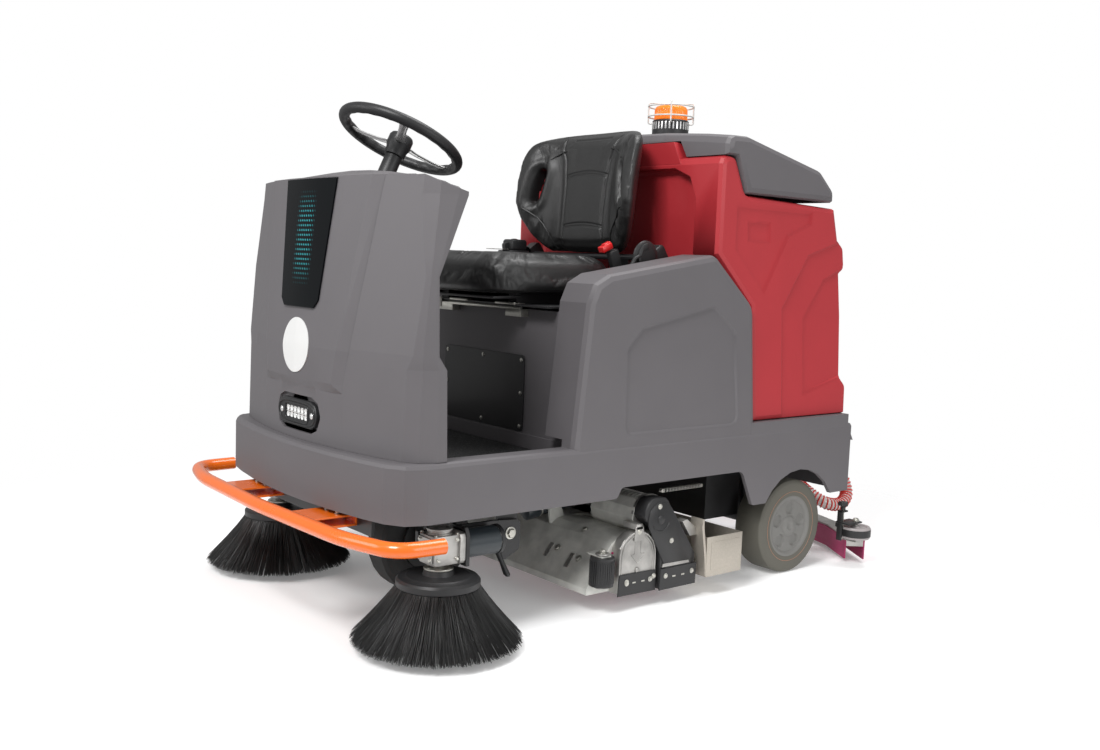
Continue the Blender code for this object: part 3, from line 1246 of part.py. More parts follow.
def tank_fields():
    """The panel, its square and the two steps that are sunk in both sides of the tank."""
    fields = []
    spans = ((TANK_FRONT_Y, TANK_REAR_Y), (FENDER_TOP, TANK_RIM_Z))
    for side in (-1, 1):
        for name, shares, level in (("panel", TANK_PANEL_SHARES, 0), ("square", TANK_SQUARE_SHARES, 1),
                                    ("step", TANK_STEP_SHARES, 0), ("deep_step", TANK_DEEP_STEP_SHARES, 1)):
            outline = field_points(shares, *spans)
            fields.append(sunk_field(name, outline, side * (TANK_HALF_WIDTH - TANK_FACET_DEPTH * level),
                                     TANK_FACET_DEPTH, TANK_FACET_SLOPE))
    return fields


def recovery_tank():
    """The hollow red tank, open under its lid, with an arched recess behind the seat."""
    tank = prism("recovery_tank", tank_outline(), "X", -TANK_HALF_WIDTH, TANK_HALF_WIDTH,
                 "red_plastic", TANK_EDGE)
    inner_half = TANK_HALF_WIDTH - TANK_SIDE_WALL
    hollow = prism("tank_hollow", rounded(
        [(SIDE_HEEL_Y + TANK_WALL * 3, TANK_FLOOR_Z), (TANK_STEP_REAR_Y + TANK_WALL * 3, TANK_FLOOR_Z * 2),
         (TANK_STEP_REAR_Y + TANK_WALL * 3, TANK_FRONT_TOP_Z),
         (TANK_REAR_Y - TANK_WALL * 14, TANK_FRONT_TOP_Z), (TANK_REAR_Y - TANK_WALL * 8, TANK_FLOOR_Z)],
        [TANK_EDGE, TANK_EDGE, 0, 0, TANK_EDGE]), "X", -inner_half, inner_half)
    half = TANK_RECESS_HALF_WIDTH
    recess = prism("recess", rounded(rectangle(-half, half, SIDE_BROW_Z, TANK_RECESS_TOP),
                                     [0, 0, TANK_RECESS_CORNER, TANK_RECESS_CORNER]), "Y",
                   TANK_FRONT_Y - OVERRUN, TANK_FRONT_Y + TANK_RECESS_DEPTH, edge=TANK_EDGE, edges="end")
    join(tank, lip_block("riser", TANK_RISER_HALF_WIDTH, (TANK_FRONT_Y + TAIL_INSET, TANK_STEP_FRONT_Y
                                                          - TAIL_INSET * 2),
                         TANK_FRONT_TOP_Z - OVERRUN, TANK_FRONT_TOP_Z + TANK_RISER_HEIGHT))
    cut(tank, hollow, recess, *tank_fields())
    port = cylinder("hose_port", "Y", (TANK_PORT_X, TANK_PORT_Z), HOSE_PORT_RADIUS,
                    TANK_PORT_END_Y - HOSE_PORT_RADIUS * 2, TANK_PORT_END_Y)
    return join(tank, port, *lid_hinge_ears())


def lid_outline(share):
    """The lid's side outline in YZ at a share of its half width: its crown falls to both sides."""
    crown = LID_CROWN * (1 - share ** 2)
    top = [(LID_FRONT_Y, LID_FRONT_TOP_Z + crown), (LID_BROW_Y, LID_BROW_Z + crown),
           (LID_BACK_Y, LID_BACK_Z + crown),
           (LID_TAIL_Y, LID_TAIL_Z + LID_EDGE * 2), (LID_TAIL_Y, LID_TAIL_Z + PANEL_GAP)]
    under = [(TANK_STEP_REAR_Y + PANEL_GAP, TANK_RIM_Z + PANEL_GAP * 2),
             (TANK_STEP_FRONT_Y + PANEL_GAP * 2, TANK_FRONT_TOP_Z + PANEL_GAP),
             (LID_FRONT_Y, TANK_FRONT_TOP_Z + PANEL_GAP)]
    radii = [LID_CORNER, LID_CORNER, LID_CORNER * 2, LID_CORNER, 0, 0, 0, 0]
    return rounded(top + under, radii, 2)


def tank_lid():
    """The grey lid: a crowned top, deep sides at the back, a notched lip and two hinge knuckles."""
    flat = LID_HALF_WIDTH - LID_EDGE
    loops = [placed(lid_outline(share), "X", flat * share) for share in LID_STATION_SHARES]
    for step in range(1, CORNER_STEPS + 1):
        angle = math.pi / 2 * step / CORNER_STEPS
        end = shrunk(lid_outline(1.0), LID_EDGE * (1 - math.cos(angle)))
        reach = flat + LID_EDGE * math.sin(angle)
        loops = [placed(end, "X", -reach)] + loops + [placed(end, "X", reach)]
    lid = loft("tank_lid", loops, "grey_plastic")
    notch = lip_block("lid_notch", TANK_RISER_HALF_WIDTH + LID_NOTCH_GAP * 3,
                      (LID_FRONT_Y - OVERRUN, TANK_STEP_FRONT_Y + LID_NOTCH_GAP),
                      TANK_FRONT_TOP_Z - OVERRUN / 2, TANK_FRONT_TOP_Z + TANK_RISER_HEIGHT + LID_NOTCH_GAP)
    inner = LID_HALF_WIDTH - LID_WALL * 2
    hollow = prism("lid_hollow", [(TANK_STEP_FRONT_Y + LID_EDGE * 2, TANK_RIM_Z - OVERRUN),
                                  (LID_TAIL_Y - LID_WALL, TANK_RIM_Z - OVERRUN),
                                  (LID_TAIL_Y - LID_WALL, LID_TAIL_Z + LID_EDGE),
                                  (LID_BACK_Y - LID_WALL, LID_BACK_Z - LID_WALL * 2),
                                  (TANK_STEP_FRONT_Y + LID_EDGE * 2, LID_BROW_Z - LID_WALL * 3)],
                   "X", -inner, inner)
    cut(lid, hollow, notch)
    return join(lid, *lid_knuckles(), cylinder("beacon_pad", "Z", (BEACON_X, BEACON_Y), BEACON_PAD_RADIUS,
                                               lid_top_z(BEACON_Y) - BITE * 2, beacon_seat_z()))


def lid_knuckles():
    """The lid's two hinge knuckles, each bored for its pin."""
    knuckles = []
    for side in (-1, 1):
        x = pair(side, LID_HINGE_X - LID_KNUCKLE_HALF, LID_HINGE_X + LID_KNUCKLE_HALF)
        barrel = cylinder("knuckle", "X", (LID_HINGE_Y, LID_HINGE_Z), LID_HINGE_RADIUS, *x,
                          steps=SMALL_STEPS)
        leaf = box("leaf", (x[0] + BITE, x[1] - BITE), (LID_TAIL_Y - BITE, LID_HINGE_Y),
                   (LID_HINGE_Z + PANEL_GAP, LID_HINGE_Z + LID_HINGE_RADIUS * HUB_NECK_SHARE))
        knuckles.append(cut(join(barrel, leaf), cylinder(
            "pin_bore", "X", (LID_HINGE_Y, LID_HINGE_Z), LID_PIN_RADIUS + PIN_GAP,
            x[0] - OVERRUN, x[1] + OVERRUN, steps=SMALL_STEPS)))
    return knuckles


def lid_hinge_ears():
    """The pins on the tank's rear edge that the lid turns on, each between two ears."""
    ears = []
    for side in (-1, 1):
        near = LID_HINGE_X - LID_KNUCKLE_HALF - SEAT_GAP
        far = LID_HINGE_X + LID_KNUCKLE_HALF + SEAT_GAP
        for x in (pair(side, near - LID_EAR_THICK, near), pair(side, far, far + LID_EAR_THICK)):
            ears.append(box("ear", x, (LID_HINGE_Y - LID_HINGE_RADIUS, LID_HINGE_Y + LID_PIN_RADIUS * 2),
                            (TANK_RIM_REAR_Z - TANK_WALL, LID_HINGE_Z + LID_PIN_RADIUS * 2)))
        ears.append(cylinder("lid_pin", "X", (LID_HINGE_Y, LID_HINGE_Z), LID_PIN_RADIUS,
                             side * (near - LID_EAR_THICK / 2), side * (far + LID_EAR_THICK / 2),
                             steps=SMALL_STEPS))
    return ears


def beacon():
    """The beacon's base, lens and wire guard."""
    seat = beacon_seat_z() + SEAT_GAP
    centre = (BEACON_X, BEACON_Y, 0)
    base = turned("beacon_base", [(seat, 0), (seat, BEACON_BASE_RADIUS * BEACON_FOOT_SHARE),
                                  (seat + OVERRUN, BEACON_BASE_RADIUS),
                                  (beacon_base_top(), BEACON_BASE_RADIUS), (beacon_base_top(), 0)],
                  "Z", centre, "black_plastic")
    low = beacon_base_top() + SEAT_GAP
    high = low + BEACON_LENS_HEIGHT
    lens = [(low, 0), (low, BEACON_RADIUS), (high - BELT_EDGE, BEACON_RADIUS * BEACON_SHOULDER_SHARE),
            (high, BEACON_RADIUS * BEACON_TOP_SHARE), (high, 0)]
    turned("beacon_lens", lens, "Z", centre, "amber")
    return base


def beacon_base_top():
    """The height at which the beacon's lens starts."""
    return beacon_seat_z() + BEACON_BASE_HEIGHT


def beacon_seat_z():
    """The level top of the pad that the beacon stands on, just clear of the sloping lid."""
    return lid_top_z(BEACON_Y - BEACON_PAD_RADIUS) + BITE / 2


def lid_top_z(y):
    """The height of the lid's crown at this Y, between its brow and its back."""
    share = (y - LID_BROW_Y) / (LID_BACK_Y - LID_BROW_Y)
    return LID_BROW_Z + (LID_BACK_Z - LID_BROW_Z) * share + LID_CROWN


def beacon_guard():
    """Two wire rings on posts with a crossed top, standing on the beacon's base."""
    foot_z = beacon_base_top() - GUARD_FOOT_WIDTH
    top_z = beacon_base_top() + BEACON_LENS_HEIGHT + GUARD_WIRE * 3
    rings = []
    for z in (foot_z + GUARD_FOOT_WIDTH * 2, top_z - GUARD_FOOT_WIDTH):
        route = [(BEACON_X + x, BEACON_Y + y, z) for x, y in circle((0, 0), GUARD_RADIUS, GUARD_POSTS * 4)]
        rings.append(swept("guard_ring", route, GUARD_WIRE, sides=WIRE_SIDES, closed=True))
    guard = None
    inner = BEACON_BASE_RADIUS * math.cos(math.pi / ROUND_STEPS) + SEAT_GAP
    for step in range(GUARD_POSTS // 2):
        angle = math.pi * (2 * step + 1) / GUARD_POSTS
        across = Vector((math.cos(angle), math.sin(angle), 0))
        middle = Vector((BEACON_X, BEACON_Y, 0))
        low = Vector((0, 0, foot_z))
        high = Vector((0, 0, top_z + GUARD_WIRE * step / 2))
        route = [middle - across * inner + low, middle - across * GUARD_RADIUS + low,
                 middle - across * GUARD_RADIUS + high, middle + across * GUARD_RADIUS + high,
                 middle + across * GUARD_RADIUS + low, middle + across * inner + low]
        hoop = swept("beacon_guard" if guard is None else "hoop", route, GUARD_WIRE, "guard_wire",
                     WIRE_SIDES)
        if guard is None:
            guard = hoop
        else:
            rings.append(hoop)
    return join(guard, *rings)


def seat_plate():
    """The hinged plate under the seat with the two slide rails that carry the cushion."""
    plate = box("seat_plate", (-SEAT_PLATE_HALF_WIDTH, SEAT_PLATE_HALF_WIDTH),
                (SEAT_PLATE_FRONT_Y, SEAT_PLATE_REAR_Y),
                (SEAT_PLATE_BOTTOM, SEAT_PLATE_BOTTOM + SEAT_PLATE_THICK), "black_steel")
    low = SEAT_PLATE_BOTTOM + SEAT_PLATE_THICK - BITE / 2
    high = CUSHION_BOTTOM - SEAT_GAP
    rails = [box("rail", rail_span(side),
                 (SEAT_RAIL_FRONT_Y, SEAT_RAIL_REAR_Y), (low, high)) for side in (-1, 1)]
    return join(plate, *rails)


def rail_span(side):
    """The sideways reach of one of the seat's slide rails."""
    return side * SEAT_RAIL_X - SEAT_RAIL_WIDTH / 2, side * SEAT_RAIL_X + SEAT_RAIL_WIDTH / 2


def seat_hinges():
    """Two hinge leaves on the pedestal whose pin carries the plate's front edge."""
    hinge_z = SEAT_PLATE_BOTTOM - SEAT_HINGE_RADIUS - SEAT_GAP
    bar = cylinder("seat_hinge", "X", (SEAT_HINGE_Y, hinge_z), SEAT_HINGE_RADIUS,
                   -SEAT_RAIL_X - SEAT_RAIL_WIDTH, SEAT_RAIL_X + SEAT_RAIL_WIDTH, "zinc", SMALL_STEPS)
    leaves = [box("leaf", (side * SEAT_RAIL_X - SEAT_RAIL_WIDTH, side * SEAT_RAIL_X + SEAT_RAIL_WIDTH),
                  (SEAT_HINGE_Y, PEDESTAL_FRONT_Y - SEAT_GAP),
                  (hinge_z - SEAT_HINGE_RADIUS * 4, hinge_z - SEAT_HINGE_RADIUS / 2)) for side in (-1, 1)]
    return join(bar, *leaves)


def seat_cushion():
    """The cushion, dished a little toward its middle."""
    outline = rounded(rectangle(-CUSHION_HALF_WIDTH, CUSHION_HALF_WIDTH, CUSHION_FRONT_Y,
                                CUSHION_REAR_Y), CUSHION_CORNER)
    return prism("seat_cushion", outline, "Z", CUSHION_BOTTOM, CUSHION_TOP, "black_vinyl", CUSHION_EDGE)


def back_centre_y(z):
    """Where the middle of the backrest's face lies at this height: it leans back as it rises."""
    share = (z - BACK_BOTTOM) / (BACK_TOP - BACK_BOTTOM)
    return BACK_FRONT_Y + BACK_LEAN * share ** 2 * BACK_LEAN_SHARE


def seat_back():
    """The wrap-round backrest with a long grab slot through each wing."""
    loops = []
    for level_share, width_share in BACK_LEVEL_SHARES:
        z = BACK_BOTTOM + (BACK_TOP - BACK_BOTTOM) * level_share
        half = BACK_HALF_WIDTH * width_share
        face = [(half * share, back_centre_y(z) - BACK_WING_FORWARD * abs(share) ** 3, z)
                for share in BACK_COLUMN_SHARES]
        rear = [(x, y + BACK_THICK * (1 - BACK_TAPER_SHARE * abs(x) / half), z)
                for x, y, z in reversed(face)]
        loops.append(face + rear)
    back = loft("seat_back", loops, "black_vinyl")
    slots = []
    for side in (-1, 1):
        slots.append(prism("slot", rounded(rectangle(side * SLOT_X - SLOT_HALF_WIDTH,
                                                     side * SLOT_X + SLOT_HALF_WIDTH, SLOT_BOTTOM,
                                                     SLOT_TOP), SLOT_HALF_WIDTH * ROUND_END_SHARE),
                           "Y", BACK_FRONT_Y - BACK_WING_FORWARD - OVERRUN,
                           BACK_FRONT_Y + BACK_LEAN + BACK_THICK))
    return cut(back, *slots)


def seat_recliner():
    """The covers at both ends of the seat's tilt joint, tied by a cross bar under the backrest."""
    pivot_y = BACK_FRONT_Y + BACK_THICK / 2
    pivot_z = BACK_BOTTOM - SEAT_GAP - RECLINER_RADIUS
    bar = cylinder("seat_recliner", "X", (pivot_y, pivot_z), RECLINER_RADIUS, -RECLINER_X,
                   RECLINER_X, "black_plastic", SMALL_STEPS)
    covers = []
    for side in (-1, 1):
        outline = rounded([(pivot_y - COVER_THICK * 2, CUSHION_BOTTOM),
                           (pivot_y + COVER_THICK, CUSHION_BOTTOM),
                           (pivot_y + COVER_THICK, pivot_z),
                           (pivot_y + COVER_THICK / 3, pivot_z + COVER_THICK),
                           (pivot_y - COVER_THICK, pivot_z)], BELT_EDGE)
        covers.append(prism("cover", outline, "X", side * recliner_inner_x(),
                            side * (RECLINER_X + RECLINER_THICK), edge=RUN_GAP, edges="end"))
    feet = [box("foot", rail_span(side),
                (pivot_y - SEAT_HINGE_RADIUS, pivot_y + SEAT_HINGE_RADIUS),
                (CUSHION_BOTTOM, pivot_z)) for side in (-1, 1)]
    return join(bar, *covers, *feet)


def recliner_inner_x():
    """The inner face of the left recliner cover."""
    return RECLINER_X - RECLINER_THICK / 3


def belt_buckle():
    """The left buckle on its stalk, bolted to the inside of the left recliner cover."""
    return buckle_stalk("belt_buckle", 1, BUCKLE_LENGTH, BUCKLE_LEAN)


def belt_tongue():
    """The right end of the belt: its retractor with the plate that clips into the buckle."""
    return buckle_stalk("belt_tongue", -1, TONGUE_LENGTH, TONGUE_LEAN)


def buckle_stalk(name, side, length, lean):
    """A flat stalk with a thick head that leans forward from the recliner cover's inner face."""
    outer = recliner_inner_x() - SEAT_GAP
    foot = (0, BUCKLE_FOOT_Y, CUSHION_BOTTOM + BUCKLE_WIDTH / 2)
    half = BUCKLE_WIDTH / 2
    stalk = prism(name, rounded(rectangle(foot[1] - half, foot[1] + half, foot[2] - half, foot[2] + length),
                                RUN_GAP), "X", side * (outer - BUCKLE_STALK_THICK), side * outer,
                  "black_plastic")
    head = prism("head", rounded(rectangle(foot[1] - half * BUCKLE_HEAD_SHARE,
                                           foot[1] + half * BUCKLE_HEAD_SHARE,
                                           foot[2] + length - BUCKLE_HEAD_LENGTH, foot[2] + length + BITE),
                                 RUN_GAP), "X", side * (outer - BUCKLE_HEAD_THICK),
                 side * (outer - PIN_GAP))
    join(stalk, head)
    return tilted(stalk, lean, "X", foot)


def broom_arm(side_name, side):
    """The steel arm that carries one side broom and turns on the hanger's pin."""
    rear_y = ARM_PIVOT_Y + ARM_PIVOT_RADIUS * 3
    low = ARM_PIVOT_Z - ARM_PIVOT_RADIUS * 3
    arm = prism(f"broom_arm_{side_name}", rounded(
        [(rear_y, low - BELT_EDGE), (rear_y, ARM_PIVOT_Z + ARM_PIVOT_RADIUS * 3),
         (BROOM_MOTOR_REAR_Y + BELT_EDGE, GEARBOX_TOP), (BROOM_Y - GEARBOX_SIZE / 2, GEARBOX_TOP),
         (BROOM_Y - GEARBOX_SIZE / 2, GEARBOX_TOP - ARM_THICK * 3),
         (BROOM_MOTOR_REAR_Y, GEARBOX_TOP - ARM_THICK * 3),
         (ARM_PIVOT_Y - ARM_PIVOT_RADIUS * 2, low - OVERRUN * 2)],
        [BELT_EDGE, BELT_EDGE, BELT_EDGE, 0, 0, BELT_EDGE, BELT_EDGE]),
        "X", side * (ARM_X - ARM_THICK / 2), side * (ARM_X + ARM_THICK / 2), "black_steel")
    cut(arm, cylinder("arm_bore", "X", (ARM_PIVOT_Y, ARM_PIVOT_Z), ARM_PIVOT_RADIUS + PIN_GAP,
                      side * (ARM_X - ARM_THICK), side * (ARM_X + ARM_THICK), steps=SMALL_STEPS))
    return arm


def broom_motor(side_name, side):
    """The cast gearbox over the broom with its motor lying toward the rear."""
    inner = ARM_X + ARM_THICK / 2 + SEAT_GAP
    outer = inner + GEARBOX_SIZE
    x = tuple(sorted((side * inner, side * outer)))
    half = GEARBOX_SIZE / 2
    motor = prism(f"broom_motor_{side_name}", rounded(rectangle(x[0], x[1], BROOM_Y - half, BROOM_Y + half),
                                                      BELT_EDGE), "Z", GEARBOX_BOTTOM, GEARBOX_TOP,
                  "cast_aluminium")
    centre_x = side * (inner + half)
    body = cylinder("motor_body", "Y", (centre_x, (GEARBOX_BOTTOM + GEARBOX_TOP) / 2), BROOM_MOTOR_RADIUS,
                    BROOM_Y + half - BITE, BROOM_MOTOR_REAR_Y)
    shaft = cylinder("shaft", "Z", (side * BROOM_X, BROOM_Y), STUB_RADIUS, BROOM_DISC_BOTTOM
                     + BROOM_DISC_THICK + RUN_GAP, GEARBOX_BOTTOM + BITE, steps=SMALL_STEPS)
    spindle = cylinder("spindle", "Z", (side * BROOM_X, BROOM_Y), LINK_PIN_RADIUS,
                       BROOM_DISC_BOTTOM + BROOM_DISC_THICK / 3, GEARBOX_BOTTOM + BITE, steps=SMALL_STEPS)
    boss = cylinder("boss", "Z", (side * BROOM_X, BROOM_Y), GEARBOX_BOSS_RADIUS, GEARBOX_TOP - BITE,
                    GEARBOX_TOP + GEARBOX_BOSS_HEIGHT)
    flange_x = pair(side, inner + PIN_GAP, outer + BITE)
    flange = prism("flange", rounded(rectangle(*flange_x, GEARBOX_BOTTOM - BITE, GEARBOX_TOP + BITE),
                                     BELT_EDGE), "Y", BROOM_Y + half - BITE, BROOM_Y + half + MOTOR_FLANGE)
    return join(motor, body, shaft, spindle, boss, flange)


def side_broom(side_name, side):
    """One side broom: holder disc, hub and the flared skirt of bristles, hollow below."""
    top = BROOM_DISC_BOTTOM + BROOM_DISC_THICK
    bore = LINK_PIN_RADIUS + PIN_GAP
    profile = [(top, BROOM_DISC_RADIUS * BROOM_DISC_TOP_SHARE),
               (BROOM_DISC_BOTTOM + BELT_EDGE, BROOM_DISC_RADIUS),
               (BROOM_TIP_Z, BROOM_RADIUS), (BROOM_TIP_Z, BROOM_RADIUS - COVER_THICK),
               (BROOM_DISC_BOTTOM - BELT_EDGE, BROOM_DISC_RADIUS * BROOM_DISC_FOOT_SHARE),
               (BROOM_DISC_BOTTOM - BELT_EDGE, 0),
               ]
    broom = turned(f"side_broom_{side_name}", [(top, 0)] + profile, "Z", (side * BROOM_X, BROOM_Y, 0),
                   "bristle", FINE_STEPS)
    return cut(broom, cylinder("broom_bore", "Z", (side * BROOM_X, BROOM_Y), bore,
                               BROOM_DISC_BOTTOM + BROOM_DISC_THICK / 3 - PIN_GAP, top + OVERRUN,
                               steps=SMALL_STEPS))


def rear_wheel(side_name, side):
    """The solid tyre and its dished hub."""
    inner_x = REAR_TYRE_OUTER_X - REAR_TYRE_WIDTH
    centre = (0, REAR_AXLE_Y, WHEEL_RADIUS)
    seat = HUB_RADIUS + SEAT_GAP
    tyre = [(inner_x, seat), (REAR_TYRE_OUTER_X, seat),
            (REAR_TYRE_OUTER_X, WHEEL_RADIUS - TYRE_SHOULDER),
            (REAR_TYRE_OUTER_X - TYRE_SHOULDER, WHEEL_RADIUS), (inner_x + TYRE_SHOULDER, WHEEL_RADIUS),
            (inner_x, WHEEL_RADIUS - TYRE_SHOULDER)]
    turned(f"rear_tyre_{side_name}", [(side * x, r) for x, r in tyre], "X", centre, "tyre_rubber",
           FINE_STEPS)
    face = REAR_TYRE_OUTER_X - HUB_FACE_RECESS
    bore = STUB_RADIUS + PIN_GAP
    lip = REAR_TYRE_OUTER_X - PANEL_GAP
    hub = [(face - STUB_END_WALL, 0), (face - STUB_END_WALL, bore), (inner_x, bore), (inner_x, HUB_RADIUS),
           (lip, HUB_RADIUS), (lip, HUB_RADIUS - HUB_RIM_WIDTH), (face, HUB_RADIUS - HUB_RIM_WIDTH),
           (face, HUB_BOSS_RADIUS), (lip, HUB_BOSS_RADIUS * HUB_NECK_SHARE), (lip, 0)]
    turned(f"rear_hub_{side_name}", [(side * x, r) for x, r in hub], "X", centre, "hub_grey", FINE_STEPS)


def drive_wheel():
    """The front drive wheel: tyre and hub in one, bored for the stub."""
    half = FRONT_TYRE_WIDTH / 2
    bore = STUB_RADIUS + PIN_GAP
    rim = FRONT_HUB_RADIUS - FRONT_HUB_LIP
    profile = [(-half, bore), (half, bore), (half, rim), (half - HUB_FACE_RECESS, rim + PIN_GAP),
               (half - HUB_FACE_RECESS, FRONT_HUB_RADIUS), (half, FRONT_HUB_RADIUS + TYRE_SHOULDER),
               (half, WHEEL_RADIUS - TYRE_SHOULDER), (half - TYRE_SHOULDER, WHEEL_RADIUS),
               (-half + TYRE_SHOULDER, WHEEL_RADIUS), (-half, WHEEL_RADIUS - TYRE_SHOULDER)]
    return turned("drive_wheel", profile, "X", (0, FRONT_WHEEL_Y, WHEEL_RADIUS), "tyre_rubber", FINE_STEPS)


def drive_unit():
    """The steered fork: kingpin, top plate, gear case on the left and motor on the right."""
    plate_low = WHEEL_RADIUS * 2 + RUN_GAP * 2
    kingpin_top = RAIL_TOP - BITE
    unit = cylinder("drive_unit", "Z", (0, FRONT_WHEEL_Y), FORK_PLATE_RADIUS, plate_low,
                    plate_low + FORK_PLATE_THICK, "black_steel")
    pin = cylinder("kingpin", "Z", (0, FRONT_WHEEL_Y), KINGPIN_RADIUS, plate_low + BITE, kingpin_top,
                   steps=KINGPIN_STEPS)
    half = FRONT_TYRE_WIDTH / 2 + RUN_GAP
    case = prism("gear_case", fork_leg_outline(plate_low), "X", half, half + FORK_CASE_WIDTH)
    leg = prism("fork_leg", fork_leg_outline(plate_low), "X", -half, -half - ARM_THICK)
    motor = cylinder("drive_motor", "X", (FRONT_WHEEL_Y, WHEEL_RADIUS), FORK_LEG_HALF_DEPTH,
                     -half - ARM_THICK / 2, -half - DRIVE_MOTOR_LENGTH)
    stub = cylinder("stub", "X", (FRONT_WHEEL_Y, WHEEL_RADIUS), STUB_RADIUS, -half - BITE, half + BITE)
    return join(unit, pin, case, leg, motor, stub)


def fork_leg_outline(plate_low):
    """One side of the fork in YZ, from its top plate down past the wheel's centre."""
    top = plate_low + FORK_PLATE_THICK - BITE
    foot = WHEEL_RADIUS - FORK_LEG_HALF_DEPTH * FORK_FOOT_SHARE
    narrow = FORK_LEG_HALF_DEPTH * FORK_WAIST_SHARE
    return rounded([(FRONT_WHEEL_Y - FORK_LEG_HALF_DEPTH, top), (FRONT_WHEEL_Y - narrow, foot),
                    (FRONT_WHEEL_Y + narrow, foot), (FRONT_WHEEL_Y + FORK_LEG_HALF_DEPTH, top)],
                   [0, BELT_EDGE * 2, BELT_EDGE * 2, 0])


def arc(centre_y, reach, start, end):
    """Points round a brush's centre in YZ, from one angle to another."""
    return [(centre_y + reach * math.cos(angle), BRUSH_Z + reach * math.sin(angle))
            for angle in np.linspace(start, end, CORNER_STEPS + 2)]


def deck_profile():
    """The deck casting's outline in YZ: a flared lip in front and a round hood over each brush."""
    reach = BRUSH_RADIUS + RUN_GAP + DECK_WALL
    front = [(DECK_FRONT_Y, DECK_LOW), (DECK_FRONT_Y, DECK_FRONT_Z)]
    hood = arc(BRUSH_FRONT_Y, reach, DECK_FLARE_ANGLE, math.pi / 2)
    tail = arc(BRUSH_REAR_Y, reach, math.pi / 2, 0)
    return front + hood + tail + [(BRUSH_REAR_Y + reach, DECK_LOW)]


def brush_tunnel_outline():
    """The space that both brushes turn in, open below."""
    reach = BRUSH_RADIUS + RUN_GAP
    return ([(BRUSH_FRONT_Y - reach, -OVERRUN)] + arc(BRUSH_FRONT_Y, reach, math.pi, math.pi / 2)
            + arc(BRUSH_REAR_Y, reach, math.pi / 2, 0) + [(BRUSH_REAR_Y + reach, -OVERRUN)])


def flare_tunnel_outline():
    """The hollow under the deck's flared lip, which runs into the brush space."""
    reach = BRUSH_RADIUS + RUN_GAP - BITE / 2
    shoulder = arc(BRUSH_FRONT_Y, reach, DECK_FLARE_ANGLE, math.pi / 2)[0]
    front = DECK_FRONT_Y + DECK_WALL
    return [(front, -OVERRUN * 2), (front, DECK_FRONT_Z - DECK_WALL / 2), shoulder,
            (BRUSH_FRONT_Y, BRUSH_Z),
            (BRUSH_FRONT_Y, -OVERRUN * 2)]


def roller_bracket(side):
    """The two plates and the pin that hold the corner roller in front of the deck's end."""
    x = pair(side, DECK_HALF_WIDTH - DECK_WALL * 2, DECK_ROLLER_X + DECK_ROLLER_RADIUS / 2)
    y = (DECK_ROLLER_Y - DECK_ROLLER_RADIUS / 2, DECK_ROLLER_Y + DECK_ROLLER_RADIUS / 2)
    low = DECK_ROLLER_BOTTOM - SEAT_GAP
    high = DECK_ROLLER_TOP + SEAT_GAP
    root_x = pair(side, DECK_HALF_WIDTH - DECK_CORNER_BLOCK, DECK_HALF_WIDTH - DECK_ROLLER_PLATE)
    return [box("low_plate", x, y, (low - DECK_ROLLER_PLATE, low)),
            box("high_plate", x, y, (high, high + DECK_ROLLER_PLATE)),
            box("high_root", root_x, (y[0] + BITE, y[1] + DECK_ROLLER_RADIUS),
                (high + PIN_GAP, high + DECK_ROLLER_PLATE - PIN_GAP)),
            cylinder("roller_pin", "Z", (side * DECK_ROLLER_X, DECK_ROLLER_Y), DECK_ROLLER_PIN,
                     low - DECK_ROLLER_PLATE / 2, high + DECK_ROLLER_PLATE / 2, steps=SMALL_STEPS)]


def roller_pocket(side):
    """The space in the deck's front corner that its roller turns in."""
    return cylinder("roller_pocket", "Z", (side * DECK_ROLLER_X, DECK_ROLLER_Y),
                    DECK_ROLLER_RADIUS + RUN_GAP / 2,
                    DECK_ROLLER_BOTTOM - SEAT_GAP, DECK_ROLLER_TOP + OVERRUN)


def deck_roller(side_name, side):
    """The upright roller that guards one front corner of the deck."""
    profile = [(DECK_ROLLER_BOTTOM, DECK_ROLLER_PIN + PIN_GAP), (DECK_ROLLER_BOTTOM, DECK_ROLLER_RADIUS),
               (DECK_ROLLER_TOP, DECK_ROLLER_RADIUS), (DECK_ROLLER_TOP, DECK_ROLLER_PIN + PIN_GAP)]
    return turned(f"deck_roller_{side_name}", profile, "Z", (side * DECK_ROLLER_X, DECK_ROLLER_Y, 0),
                  "black_plastic")


def hood_z(y):
    """The middle of the front hood's wall at this Y."""
    reach = BRUSH_RADIUS + RUN_GAP + DECK_WALL / 2
    return BRUSH_Z + math.sqrt(reach ** 2 - (y - BRUSH_FRONT_Y) ** 2)


